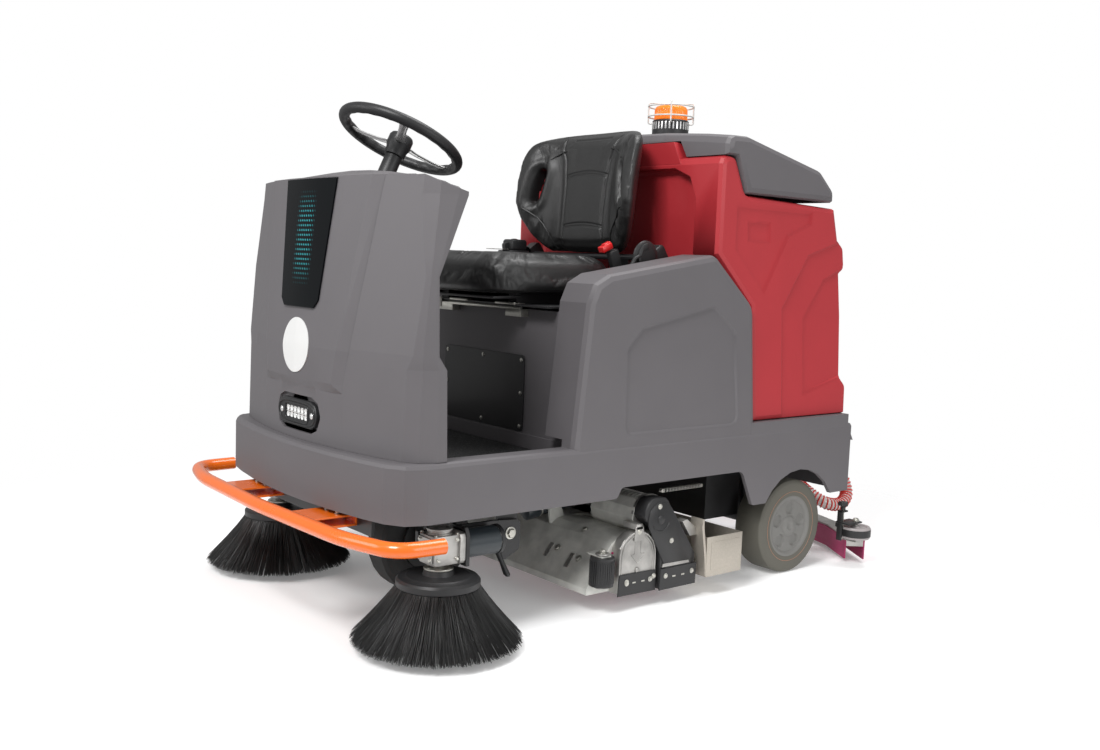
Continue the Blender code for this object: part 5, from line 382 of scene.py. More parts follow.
@dataclass(frozen=True)
class CastMetal(Finish):
    """A cast or blasted metal with a pitted skin."""

    def inputs(self, shader: Shader) -> dict:
        """Builds the nodes of the finish."""
        edge, rounded = shader.edges(self.edge_radius)
        mottle = shader.noise(18.0, 5.0)
        pits = shader.cells(self.grain_scale)
        colour = shader.blend(mottle.ramp(0.3, 0.7), self.shade(1 - 2.5 * self.mottle),
                              self.shade(1 + self.mottle))
        colour = shader.blend(edge * self.wear, colour, self.edge_colour)
        return {"Base Color": colour, "Roughness": self.roughness - 0.1 + mottle * 0.2,
                "Metallic": self.metallic, "Normal": shader.relief(pits, self.grain, rounded)}


@dataclass(frozen=True)
class Vinyl(Finish):
    """Upholstery vinyl with a leather grain."""

    def inputs(self, shader: Shader) -> dict:
        """Builds the nodes of the finish."""
        creases = shader.cells(self.grain_scale, "DISTANCE_TO_EDGE")
        folds = shader.noise(55.0, 3.0)
        colour = shader.blend(shader.noise(8.0, 3.0), self.colour, self.shade(1 + self.mottle))
        height = creases.ramp(0.0, 0.25) * 0.6 + folds * 0.8
        return {"Base Color": colour, "Roughness": self.roughness - 0.04 + folds * 0.1,
                "Coat Weight": self.coat, "Coat Roughness": 0.35,
                "Normal": shader.relief(height, self.grain)}


@dataclass(frozen=True)
class Grit(Finish):
    """A black mat strewn with coarse grit."""

    sparkle_colour: Colour = (0.35, 0.35, 0.34)

    def inputs(self, shader: Shader) -> dict:
        """Builds the nodes of the finish."""
        speck = (1 - shader.cells(self.grain_scale)).ramp(0.55, 0.8)
        sparkle = shader.noise(self.grain_scale, 2.0).ramp(0.6, 0.68)
        colour = shader.blend(sparkle * 0.35, self.colour, self.sparkle_colour)
        return {"Base Color": colour, "Roughness": self.roughness - speck * 0.2,
                "Normal": shader.relief(speck, self.grain)}


@dataclass(frozen=True)
class ScreenGlass(Finish):
    """A glossy black panel with rows of small generic dots that fade at the field's rim."""

    dot_colour: Colour = (0.04, 0.36, 0.40)
    pitch: float = 0.0125
    middle_z: float = 1.0

    def inputs(self, shader: Shader) -> dict:
        """Builds the nodes of the finish."""
        x, _, z = shader.axes()
        row = z / self.pitch
        across = x / self.pitch + row * 0.5
        from_row = (row.part() - 0.5).size()
        from_column = (across.part() - 0.5).size()
        dot = 1 - (from_row ** 2 + from_column ** 2).ramp(0.03, 0.07)
        reach = (1 - (z - self.middle_z).size().ramp(0.05, 0.13)) * (1 - x.size().ramp(0.02, 0.055))
        colour = shader.blend(dot * reach, self.colour, self.dot_colour)
        return {"Base Color": colour, "Roughness": self.roughness, "Coat Weight": self.coat,
                "Specular IOR Level": 0.06, "Coat Roughness": 0.03}


@dataclass(frozen=True)
class ClearAmber(Finish):
    """A translucent amber lens with a painted glow: a weak emission in its own colour."""

    def inputs(self, shader: Shader) -> dict:
        """Builds the nodes of the finish."""
        colour = shader.blend(shader.noise(40.0, 2.0), self.colour, self.edge_colour)
        # Painted glow: the lens emits weakly in its own colour, standing in for light shining through it.
        return {"Base Color": colour, "Roughness": self.roughness, "Transmission Weight": 0.35,
                "Coat Weight": self.coat, "Coat Roughness": 0.05, "Emission Color": colour,
                "Emission Strength": 0.18}


GREY_PLASTIC = Finish("grey_plastic", (0.128, 0.120, 0.127), 0.50, mottle=0.05, grain_scale=520,
                      grain=0.00010, edge_radius=0.0016, edge_colour=(0.30, 0.29, 0.30), wear=0.10)
RED_PLASTIC = Finish("red_plastic", (0.44, 0.026, 0.034), 0.48, mottle=0.06, grain_scale=520,
                     grain=0.00010, edge_radius=0.0020, edge_colour=(0.70, 0.16, 0.17), wear=0.16)
BLACK_STEEL = Finish("black_steel", (0.016, 0.016, 0.017), 0.42, mottle=0.15, coat=0.1,
                     grain_scale=700, grain=0.00006, edge_colour=(0.16, 0.16, 0.16), wear=0.35)
BLACK_PLASTIC = Finish("black_plastic", (0.016, 0.016, 0.017), 0.45, mottle=0.15, grain_scale=900,
                       grain=0.00007, edge_colour=(0.09, 0.09, 0.09), wear=0.25)
BLACK_GLOSS = ScreenGlass("black_gloss", (0.006, 0.007, 0.008), 0.16, coat=0.0)
BLACK_VINYL = Vinyl("black_vinyl", (0.012, 0.012, 0.012), 0.36, coat=0.15, mottle=0.3,
                    grain_scale=640, grain=0.00018)
ORANGE_PAINT = Finish("orange_paint", (0.93, 0.165, 0.008), 0.26, coat=0.6, mottle=0.04,
                      grain_scale=240, grain=0.00003, edge_radius=0.0008,
                      edge_colour=(0.95, 0.26, 0.04), wear=0.10)
ZINC = DrawnMetal("zinc", (0.58, 0.57, 0.52), 0.34, metallic=0.95, mottle=0.12, grain=0.00003,
                  edge_colour=(0.8, 0.8, 0.78), wear=0.4)
CAST_ALUMINIUM = CastMetal("cast_aluminium", (0.47, 0.46, 0.44), 0.42, metallic=0.85, mottle=0.12,
                           grain_scale=620, grain=0.00016, edge_colour=(0.72, 0.72, 0.70), wear=0.5)
POLISHED = DrawnMetal("polished", (0.88, 0.88, 0.87), 0.24, metallic=0.75, mottle=0.05,
                      grain=0.00001, edge_colour=(0.85, 0.85, 0.85), wear=0.3)
# Painted light: a brighter, nearly non-metallic copy of the cast aluminium for the deck's hood, lifted
# because the hood sits in shade under the body.
HOOD_PAINTED_LIGHT = CastMetal("hood_painted_light", (0.66, 0.66, 0.62), 0.46, metallic=0.08, mottle=0.08,
                       grain_scale=620, grain=0.00012, edge_colour=(0.72, 0.72, 0.70), wear=0.4)
TRAY_STEEL = DrawnMetal("tray_steel", (0.50, 0.46, 0.40), 0.45, metallic=0.75, mottle=0.08,
                        grain=0.00003, edge_colour=(0.7, 0.68, 0.62), wear=0.4)
TYRE_RUBBER = Finish("tyre_rubber", (0.115, 0.110, 0.090), 0.70, mottle=0.14, grain_scale=380,
                     grain=0.00015, edge_colour=(0.20, 0.19, 0.16), wear=0.3, bottom_tint=0.4)
DARK_TYRE = Finish("dark_tyre", (0.020, 0.020, 0.020), 0.66, mottle=0.2, grain_scale=380,
                   grain=0.00015, edge_colour=(0.09, 0.09, 0.085), wear=0.3, bottom_tint=0.4)
HUB_GREY = Finish("hub_grey", (0.175, 0.172, 0.162), 0.50, mottle=0.06, grain_scale=520,
                  grain=0.00008, edge_colour=(0.32, 0.32, 0.31), wear=0.25)
BRISTLE = Finish("bristle", (0.010, 0.010, 0.010), 0.34, mottle=0.4, grain=0.00001, wear=0.0)
AMBER = ClearAmber("amber", (0.95, 0.23, 0.01), 0.16, coat=0.5, edge_colour=(1.0, 0.34, 0.03))
GUARD_WIRE = Finish("guard_wire", (0.72, 0.70, 0.67), 0.35, coat=0.3, mottle=0.04, wear=0.1)
MAGENTA_RUBBER = Finish("magenta_rubber", (0.36, 0.012, 0.10), 0.50, mottle=0.12, grain_scale=400,
                        grain=0.00008, edge_colour=(0.6, 0.10, 0.25), wear=0.2)
RED_HOSE = Finish("red_hose", (0.62, 0.03, 0.02), 0.35, coat=0.3, mottle=0.1, grain=0.00003, wear=0.1)
MAT_RUBBER = Grit("mat_rubber", (0.014, 0.014, 0.015), 0.75, grain_scale=230, grain=0.0012)
RED_CATCH = Finish("red_catch", (0.62, 0.012, 0.012), 0.35, coat=0.2, mottle=0.06, wear=0.1)
WHITE_ENAMEL = Finish("white_enamel", (0.80, 0.80, 0.79), 0.30, coat=0.3, mottle=0.02, wear=0.05)
SIDE_LINE = Finish("side_line", (0.42, 0.20, 0.12), 0.6, mottle=0.1, wear=0.0)
ROLLER_PLASTIC = Finish("roller_plastic", (0.34, 0.31, 0.31), 0.42, mottle=0.06, wear=0.15)
MOTOR_BLUE = Finish("motor_blue", (0.022, 0.030, 0.036), 0.38, coat=0.2, mottle=0.1, wear=0.2)
PALE_HOSE = Finish("pale_hose", (0.62, 0.56, 0.54), 0.25, coat=0.3, mottle=0.1, wear=0.0)

NODE_FINISHES = {
    GREY_PLASTIC: ("body_shell", "front_cowl", "tank_lid"),
    RED_PLASTIC: ("recovery_tank",),
    BLACK_STEEL: ("chassis_frame", "rear_axle", "access_panel", "seat_plate", *both("broom_arm"),
                  "drive_unit"),
    BLACK_PLASTIC: ("battery_pack", "headlamp", "steering_column", "dashboard",
                    "accelerator_pedal", "brake_pedal", "seat_recliner", "belt_buckle",
                    "belt_tongue", *both("belt_cover", "deck_roller")),
    BLACK_GLOSS: ("cowl_screen",),
    ZINC: ("seat_hinge", "lift_links", "squeegee_arm"),
    CAST_ALUMINIUM: (*both("broom_motor", "end_door"), "squeegee_bar"),
    HOOD_PAINTED_LIGHT: ("deck_housing",),
    TRAY_STEEL: ("debris_tray",),
    DARK_TYRE: ("drive_wheel",),
    MAGENTA_RUBBER: ("squeegee_blade_front", "squeegee_blade_rear"),
    MAT_RUBBER: ("floor_mat",),
}
# The record's nearest slot for each finish that has no slot of its own
BORROWED_SLOTS = {"polished": "zinc", "dark_tyre": "tyre_rubber", "red_catch": "black_plastic",
                  "white_enamel": "hub_grey", "pale_hose": "red_hose", "side_line": "tyre_rubber",
                  "hood_painted_light": "cast_aluminium", "roller_plastic": "hub_grey",
                  "motor_blue": "black_steel"}


# Shapes


@dataclass
class Shape:
    """Faces gathered in one mesh, which becomes one piece in one finish."""

    name: str
    finish: Finish
    body: str
    mesh: bmesh.types.BMesh = field(default_factory=bmesh.new)

    def loft(self, loops: Sequence[Sequence[Point]], capped: bool = True,
             closed: bool = False) -> "Shape":
        """Skins a row of loops with equal counts of points.

        Args:
            loops: the loops in order.
            capped: whether the first and last loops are filled.
            closed: whether the last loop joins the first.

        Returns:
            The shape itself.
        """
        rows = [[self.mesh.verts.new(point) for point in loop] for loop in loops]
        pairs = list(zip(rows, rows[1:] + ([rows[0]] if closed else [])))
        count = len(rows[0])
        faces = []
        for near, far in pairs:
            for index in range(count):
                after = (index + 1) % count
                faces.append(self.mesh.faces.new((near[index], near[after], far[after], far[index])))
        if capped and not closed:
            faces.append(self.mesh.faces.new(list(reversed(rows[0]))))
            faces.append(self.mesh.faces.new(rows[-1]))
        bmesh.ops.recalc_face_normals(self.mesh, faces=faces)
        return self

    def prism(self, axis: Axis, outline: Sequence[tuple[float, float]], low: float,
              high: float, edge: float = 0.0) -> "Shape":
        """Extrudes an outline along an axis, with its rims drawn in by a chamfer."""
        along, right, up = axis.value
        middle = Vector((0, 0, 0))
        for first, second in outline:
            middle += (right * first + up * second) / len(outline)
        levels = [(low, edge), (low + edge, 0), (high - edge, 0), (high, edge)]
        if edge == 0:
            levels = [(low, 0), (high, 0)]
        loops = []
        for level, inset in levels:
            loop = []
            for first, second in outline:
                point = right * first + up * second
                reach = (point - middle).length
                share = max(0.0, reach - inset) / reach if reach else 1
                loop.append(middle + (point - middle) * share + along * level)
            loops.append(loop)
        return self.loft(loops)

    def box(self, low: Point, high: Point, edge: float = 0.0) -> "Shape":
        """A box between two corners."""
        outline = [(low[0], low[1]), (high[0], low[1]), (high[0], high[1]), (low[0], high[1])]
        return self.prism(Axis.Z, outline, low[2], high[2], edge)

    def turn(self, axis: Axis, centre: Point, profile: Sequence[tuple[float, float]],
             steps: int = 40, capped: bool = True) -> "Shape":
        """Revolves a profile of radius and height pairs about an axis through a point."""
        along, right, up = axis.value
        loops = []
        for radius, height in profile:
            loops.append([Vector(centre) + along * height
                          + (right * math.cos(angle) + up * math.sin(angle)) * radius
                          for angle in turns(steps)])
        return self.loft(loops, capped)

    def disc(self, axis: Axis, centre: Point, radius: float, low: float, high: float,
             edge: float = 0.0, steps: int = 40) -> "Shape":
        """A round plate or pin with chamfered rims."""
        profile = [(radius - edge, low), (radius, low + edge), (radius, high - edge),
                   (radius - edge, high)]
        if edge == 0:
            profile = [(radius, low), (radius, high)]
        return self.turn(axis, centre, profile, steps)

    def tube(self, points: Sequence[Point], radius: float, sides: int = 12,
             closed: bool = False) -> "Shape":
        """A round bar along a route."""
        route = [Vector(point) for point in points]
        count = len(route)
        loops = []
        normal = None
        for index, point in enumerate(route):
            before = route[index - 1] if index or closed else point
            after = route[(index + 1) % count] if index < count - 1 or closed else point
            heading = (after - before).normalized()
            if normal is None:
                spare = Vector((0, 0, 1)) if abs(heading.z) < 0.9 else Vector((1, 0, 0))
                normal = heading.cross(spare).normalized()
            normal = (normal - heading * normal.dot(heading)).normalized()
            cross = heading.cross(normal)
            loops.append([point + (normal * math.cos(angle) + cross * math.sin(angle)) * radius
                          for angle in turns(sides)])
        return self.loft(loops, closed=closed)

    def moved(self, matrix: Matrix) -> "Shape":
        """Moves all that was gathered so far."""
        self.mesh.transform(matrix)
        return self

    def take(self, other: "Shape") -> "Shape":
        """Adds all that another shape gathered, and frees it."""
        spare = bpy.data.meshes.new("spare")
        other.mesh.to_mesh(spare)
        other.mesh.free()
        self.mesh.from_mesh(spare)
        bpy.data.meshes.remove(spare)
        return self

    def loose(self) -> bpy.types.Object:
        """Turns what was gathered into an object that isn't dressed yet."""
        mesh = bpy.data.meshes.new(self.name)
        self.mesh.to_mesh(mesh)
        self.mesh.free()
        made = bpy.data.objects.new(self.name, mesh)
        bpy.context.scene.collection.objects.link(made)
        mesh.materials.append(self.finish.material())
        return made

    def piece(self, hard: float = HARD_ANGLE, replaces: Sequence[str] = (), bevel: float = 0.0,
              levels: int = 0) -> bpy.types.Object:
        """Turns what was gathered into a finished piece.

        Args:
            hard: the angle above which an edge stays sharp.
            replaces: the CAD nodes that the piece stands for.
            bevel: the width of the rounding of hard edges.
            levels: subdivision levels.

        Returns:
            The new object, riding on its body.
        """
        return dress(self.loose(), self.finish, self.body, hard, replaces, bevel, levels)


def dress(made: bpy.types.Object, finish: Finish, body: str, hard: float = HARD_ANGLE,
          replaces: Sequence[str] = (), bevel: float = 0.0, levels: int = 0,
          moulded: bool = False) -> bpy.types.Object:
    """Rounds, shades and mounts a finished mesh object.

    Args:
        made: the object, with its place in its mesh.
        finish: its finish, already in its first material slot.
        body: the body it rides on, or an empty text, which leaves it on no body.
        hard: the angle above which an edge stays sharp.
        replaces: the CAD nodes that it stands for.
        bevel: the width of the rounding of hard edges.
        levels: subdivision levels.
        moulded: whether large faces keep a flat shade and small ones blend between them.

    Returns:
        The same object.
    """
    if bevel > 0:
        rounding = made.modifiers.new("rounding", "BEVEL")
        rounding.width = bevel
        rounding.segments = 2
        rounding.limit_method = "ANGLE"
        rounding.angle_limit = hard
    if levels > 0:
        smoothing = made.modifiers.new("smoothing", "SUBSURF")
        smoothing.levels = levels
        smoothing.render_levels = levels
    if made.modifiers:
        settle(made)
    made.data.shade_smooth()
    made.data.set_sharp_from_angle(angle=hard)
    if moulded:
        weights = made.modifiers.new("weights", "WEIGHTED_NORMAL")
        weights.mode = "FACE_AREA"
        weights.weight = 60
        weights.keep_sharp = True
        settle(made)
    if body:
        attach(made, body)
    BORROWED_SLOTS.get(finish.name, finish.name)
    if replaces:
        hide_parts(*replaces)
    LOG.info("%s: %d faces on %s", made.name, len(made.data.polygons), body)
    return made


def settle(made: bpy.types.Object) -> None:
    """Bakes an object's modifiers into a plain mesh."""
    graph = bpy.context.evaluated_depsgraph_get()
    mesh = bpy.data.meshes.new_from_object(made.evaluated_get(graph))
    made.modifiers.clear()
    made.data = mesh


def merged_copy(node: str, finish: Finish) -> bpy.types.Object:
    """A copy of a CAD node's mesh with its loose triangles joined.

    Args:
        node: the CAD node.
        finish: the copy's finish.

    Returns:
        The copy, linked but not yet dressed.
    """
    joined = bmesh.new()
    joined.from_mesh(frame["nodes"][node].data)
    bmesh.ops.remove_doubles(joined, verts=joined.verts, dist=MERGE)
    bmesh.ops.dissolve_limit(joined, angle_limit=FLAT_ANGLE, verts=joined.verts, edges=joined.edges)
    return Shape(node + "_skin", finish, "", joined).loose()


def body_of(node: str) -> str:
    """The body that carries a CAD node."""
    return next(body for body, nodes in frame["record"]["behaviour"]["bodies"].items()
                if node in nodes)


@dataclass
class Skins:
    """Smooth skins over the CAD nodes whose shapes stay as they are.

    Attributes:
        moulded: nodes with large flat faces.
        moulded_angle: the angle above which a moulded edge stays sharp.
        bevels: rounding widths of nodes whose edges show.
    """

    moulded: tuple = ("body_shell", "front_cowl", "tank_lid", "recovery_tank", "deck_housing",
                      *both("end_door"), "chassis_frame")
    moulded_angle: float = math.radians(16)
    bevels: dict = field(default_factory=lambda: {
        **dict.fromkeys(("deck_housing", *both("broom_motor", "belt_cover")), 0.0015),
        "debris_tray": 0.0006, "squeegee_arm": 0.0012, "chassis_frame": 0.001})

    def build(self) -> None:
        """Makes one skin for each node."""
        for finish, nodes in NODE_FINISHES.items():
            for node in nodes:
                moulded = node in self.moulded
                dress(merged_copy(node, finish), finish, body_of(node),
                      self.moulded_angle if moulded else HARD_ANGLE, (node,),
                      self.bevels.get(node, 0.0), moulded=moulded)


# Things that repeat, made by Geometry Nodes


@dataclass
class Repeats:
    """Copies of a small pattern piece, one at each point, facing along the point's direction.

    Attributes:
        name: the piece's name.
        finish: its finish.
        body: the body it rides on.
        pattern: what is repeated.
        spread: how far the copies' sizes vary.
        seed: the seed of that variation.
    """

    name: str
    finish: Finish
    body: str
    pattern: bpy.types.Object
    spread: float = 0.0
    seed: int = 3

    def tree(self) -> bpy.types.GeometryNodeTree:
        """Builds the node tree with its named inputs.

        Returns:
            A tree that puts the pattern on points, realizes it and sets its material.
        """
        made = bpy.data.node_groups.new(self.name + "_tree", "GeometryNodeTree")
        for name, kind in (("Geometry", "Geometry"), ("Pattern", "Object"), ("Size spread", "Float"),
                           ("Seed", "Int"), ("Finish", "Material")):
            made.interface.new_socket(name, in_out="INPUT", socket_type="NodeSocket" + kind)
        made.interface.new_socket("Geometry", in_out="OUTPUT", socket_type="NodeSocketGeometry")
        graph = Graph(made)
        entry = graph.node("NodeGroupInput").outputs
        spread = Signal(graph, entry["Size spread"])
        chance = graph.node("FunctionNodeRandomValue", {},
                            {2: 1 - spread, 3: 1 + spread, "Seed": entry["Seed"]})
        turn, size = (graph.node("GeometryNodeInputNamedAttribute", {"data_type": "FLOAT_VECTOR"},
                                 {"Name": name}).outputs["Attribute"] for name in ("turn", "size"))
        scaled = graph.node("ShaderNodeVectorMath", {"operation": "SCALE"},
                            {0: size, "Scale": chance.outputs[1]})
        rotation = graph.node("FunctionNodeEulerToRotation", {}, {0: turn})
        pattern = graph.node("GeometryNodeObjectInfo", {}, {"Object": entry["Pattern"]})
        placed = graph.node("GeometryNodeInstanceOnPoints", {}, {
            "Points": entry["Geometry"], "Instance": pattern.outputs["Geometry"],
            "Rotation": rotation.outputs[0], "Scale": scaled.outputs[0]})
        real = graph.node("GeometryNodeRealizeInstances", {}, {0: placed.outputs[0]})
        painted = graph.node("GeometryNodeSetMaterial", {},
                             {0: real.outputs[0], "Material": entry["Finish"]})
        graph.node("NodeGroupOutput", {}, {0: painted.outputs[0]})
        return made

    def at(self, places: Sequence[tuple[Point, tuple, Point]],
           replaces: Sequence[str] = ()) -> bpy.types.Object:
        """Puts the pattern at places.

        Args:
            places: each a point, an Euler turn and a size.
            replaces: the CAD nodes that the piece stands for.

        Returns:
            The finished piece.
        """
        mesh = bpy.data.meshes.new(self.name)
        mesh.from_pydata([tuple(place[0]) for place in places], [], [])
        for key, index in (("turn", 1), ("size", 2)):
            layer = mesh.attributes.new(key, "FLOAT_VECTOR", "POINT")
            layer.data.foreach_set("vector", [value for place in places for value in place[index]])
        made = bpy.data.objects.new(self.name, mesh)
        bpy.context.scene.collection.objects.link(made)
        repeat = made.modifiers.new("repeat", "NODES")
        repeat.node_group = self.tree()
        values = {"Pattern": self.pattern, "Size spread": self.spread, "Seed": self.seed,
                  "Finish": self.finish.material()}
        for item in repeat.node_group.interface.items_tree:
            if item.in_out == "INPUT" and item.name in values:
                repeat[item.identifier] = values[item.name]
        settle(made)
        return dress(made, self.finish, self.body, replaces=replaces)


def pattern_piece(shape: Shape) -> bpy.types.Object:
    """A small mesh at the origin that Geometry Nodes repeat. It is removed with clear_patterns."""
    made = shape.loose()
    made["pattern"] = True
    return made


def clear_patterns() -> None:
    """Removes the patterns once all that repeats is made."""
    for made in [o for o in bpy.context.scene.objects if "pattern" in o]:
        bpy.data.objects.remove(made)


def facing(direction: Point, roll: float = 0.0) -> tuple[float, float, float]:
    """The Euler turn that takes +Z to a direction."""
    turn = Vector(direction).to_track_quat("Z", "Y").to_matrix() @ Matrix.Rotation(roll, 3, "Z")
    return tuple(turn.to_euler())


def ring(centre: Point, radius: float, count: int) -> list:
    """Places for Repeats on a level circle, each turned outward."""
    return [((centre[0] + radius * math.cos(turn), centre[1] + radius * math.sin(turn), centre[2]),
             (0, 0, turn), (1, 1, 1)) for turn in turns(count)]


class Head(Enum):
    """A fastener's head, as shares of its radius: its sides, and the profile of its top."""

    HEX = (6, ((1.0, 0.2), (1.0, 0.62), (0.86, 0.76)))
    PAN = (20, ((1.0, 0.2), (0.95, 0.315), (0.72, 0.45), (0.35, 0.53)))
    SOCKET = (20, ((1.0, 0.2), (1.0, 0.9), (0.86, 1.04)))


WASHER = ((1.35, 0), (1.35, 0.18), (1.2, 0.22))
HEAD_ROLL = 0.4


def fasteners(name: str, body: str, places: Sequence[tuple[Point, Point]], radius: float,
              head: Head = Head.HEX, finish: Finish = ZINC) -> bpy.types.Object:
    """Bolts or screws with washers.

    Args:
        name: the piece's name.
        body: the body they ride on.
        places: each a point on the face, and the direction out of it.
        radius: the head's radius.
        head: the head's form.
        finish: the finish.

    Returns:
        The finished piece.
    """
    sides, top = head.value
    shape = Shape(name + "_pattern", finish, body)
    shape.turn(Axis.Z, ORIGIN, WASHER, 20).turn(Axis.Z, ORIGIN, top, sides)
    return Repeats(name, finish, body, pattern_piece(shape)).at(
        [(point, facing(out, HEAD_ROLL * index), (radius,) * 3)
         for index, (point, out) in enumerate(places)])


@dataclass
class Sided:
    """What stands on one side of the machine, with its mirror image on the other.

    Attributes:
        side_name: the ending of this side's names.
        side: 1 on the machine's left and -1 on its right.
    """

    side_name: str
    side: int

    def shape(self, name: str, finish: Finish, body: str) -> Shape:
        """Starts a shape whose name ends with the side."""
        return Shape(f"{name}_{self.side_name}", finish, body)

    def at(self, x: float, y: float, z: float) -> Point:
        """A place mirrored to this side."""
        return self.side * x, y, z

    def span(self, low: float, high: float) -> list[float]:
        """Two distances from the middle, as a low and a high X on this side."""
        return sorted((self.side * low, self.side * high))

    def slab(self, shape: Shape, outline: Sequence[tuple[float, float]], low: float, high: float,
             edge: float = 0.0) -> Shape:
        """Adds a plate with a YZ outline between two distances from the middle."""
        return shape.prism(Axis.X, outline, *self.span(low, high), edge)

    def fasten(self, name: str, body: str, places: Sequence[tuple[Point, Point]], radius: float,
               head: Head = Head.HEX) -> None:
        """Fasteners at places that are given for the left side."""
        fasteners(f"{name}_{self.side_name}", body,
                  [(self.at(*point), (self.side * out[0], out[1], out[2])) for point, out in places],
                  radius, head)

    def fasten_out(self, name: str, body: str, places: Sequence[Point], radius: float) -> None:
        """Fasteners whose heads all point away from the machine's middle."""
        self.fasten(name, body, [(place, OUTWARD) for place in places], radius)


# Finding surfaces


class Probe:
    """Finds points on the surface of a CAD node or of a finished piece."""

    def __init__(self, source: Union[str, bpy.types.Object]) -> None:
        """Reads the mesh of a node, by name, or of an object."""
        made = frame["nodes"][source] if isinstance(source, str) else source
        shape = bmesh.new()
        shape.from_mesh(made.data)
        self.tree = BVHTree.FromBMesh(shape)
        shape.free()

    def cast(self, start: Point, heading: Point, lift: float = 0.0) -> Vector:
        """Where a ray meets the surface.

        Args:
            start: where the ray begins.
            heading: its direction.
            lift: how far the result is drawn back toward the start.

        Returns:
            The point, or the ray's start where it meets nothing.
        """
        way = Vector(heading).normalized()
        point = self.tree.ray_cast(Vector(start), way)[0]
        return Vector(start) if point is None else point - way * lift

    def disc(self, shape: Shape, start: Point, heading: Point, radius: float, thick: float,
             rings: int = 4, steps: int = 48) -> Shape:
        """Adds a thin round plate that follows the surface.

        Args:
            shape: what the plate is added to.
            start: a point in front of the plate's middle.
            heading: the direction from there to the surface.
            radius: the plate's radius.
            thick: how far it stands out.
            rings: rings of points across the plate.
            steps: points round each ring.

        Returns:
            The shape.
        """
        way = Vector(heading).normalized()
        right = way.cross(Vector((0, 0, 1))).normalized()
        up = right.cross(way)
        loops = []
        for lift, order in ((0.0003, range(1, rings + 1)), (thick, range(rings, 0, -1))):
            for ring in order:
                reach = radius * ring / rings
                loops.append([self.cast(Vector(start) + right * reach * math.cos(turn)
                                        + up * reach * math.sin(turn), way, lift)
                              for turn in turns(steps)])
        return shape.loft(loops)


def superellipse(half_x: float, half_y: float, power: float, steps: int) -> list:
    """An outline between an ellipse and a rectangle."""
    points = []
    for turn in turns(steps):
        cosine, sine = math.cos(turn), math.sin(turn)
        points.append((half_x * math.copysign(abs(cosine) ** (2 / power), cosine),
                       half_y * math.copysign(abs(sine) ** (2 / power), sine)))
    return points


def from_stops(value: float, stops: Sequence[tuple[float, float]]) -> float:
    """A value read from stops, with straight lines between them."""
    for (low, first), (high, second) in zip(stops, stops[1:]):
        if value <= high:
            share = min(1.0, max(0.0, (value - low) / (high - low)))
            return first + (second - first) * share
    return stops[-1][1]


def bump(distance: float, width: float) -> float:
    """A bell curve that is 1 in its middle."""
    return math.exp(-(distance / width) ** 2)


# Seat


@dataclass
class Foam:
    """Foam under vinyl, swollen by Blender's Cloth from a slightly smaller shape.

    Attributes:
        voxel: the size of the remesh.
        pressure: the Cloth's pressure.
        frames: how many frames it runs.
        cap: how far a point may move.
    """

    voxel: float = 0.006
    pressure: float = 4.0
    frames: int = 20
    cap: float = 0.010

    def remesh(self, made: bpy.types.Object) -> None:
        """Gives the piece an even mesh."""
        voxels = made.modifiers.new("voxels", "REMESH")
        voxels.mode = "VOXEL"
        voxels.voxel_size = self.voxel
        soften = made.modifiers.new("soften", "SMOOTH")
        soften.factor = 0.5
        soften.iterations = 10
        settle(made)

    def swell(self, made: bpy.types.Object, held: Callable[[Vector], bool]) -> None:
        """Runs the Cloth and bakes its result.

        Args:
            made: the remeshed piece.
            held: says which points stay where they are.
        """
        before = [vertex.co.copy() for vertex in made.data.vertices]
        group = made.vertex_groups.new(name="held")
        group.add([vertex.index for vertex in made.data.vertices if held(vertex.co)], 1.0, "REPLACE")
        cloth = made.modifiers.new("cloth", "CLOTH")
        cloth.settings.use_pressure = True
        cloth.settings.uniform_pressure_force = self.pressure
        cloth.settings.vertex_group_mass = "held"
        cloth.settings.effector_weights.gravity = 0
        cloth.collision_settings.use_collision = False
        cloth.point_cache.frame_start = 1
        cloth.point_cache.frame_end = self.frames
        for number in range(1, self.frames + 1):
            bpy.context.scene.frame_set(number)
        settle(made)
        bpy.context.scene.frame_set(1)
        for vertex, start in zip(made.data.vertices, before):
            offset = vertex.co - start
            if offset.length > self.cap:
                vertex.co = start + offset * (self.cap / offset.length)

    def carve(self, made: bpy.types.Object, change: Callable[[Vector, Vector], float]) -> None:
        """Moves each point along its normal, inward where the change is below zero."""
        smoothing = made.modifiers.new("smoothing", "SUBSURF")
        smoothing.levels = smoothing.render_levels = 1
        settle(made)
        normals = [vertex.normal.copy() for vertex in made.data.vertices]
        for vertex, normal in zip(made.data.vertices, normals):
            vertex.co = vertex.co + normal * change(vertex.co, normal)


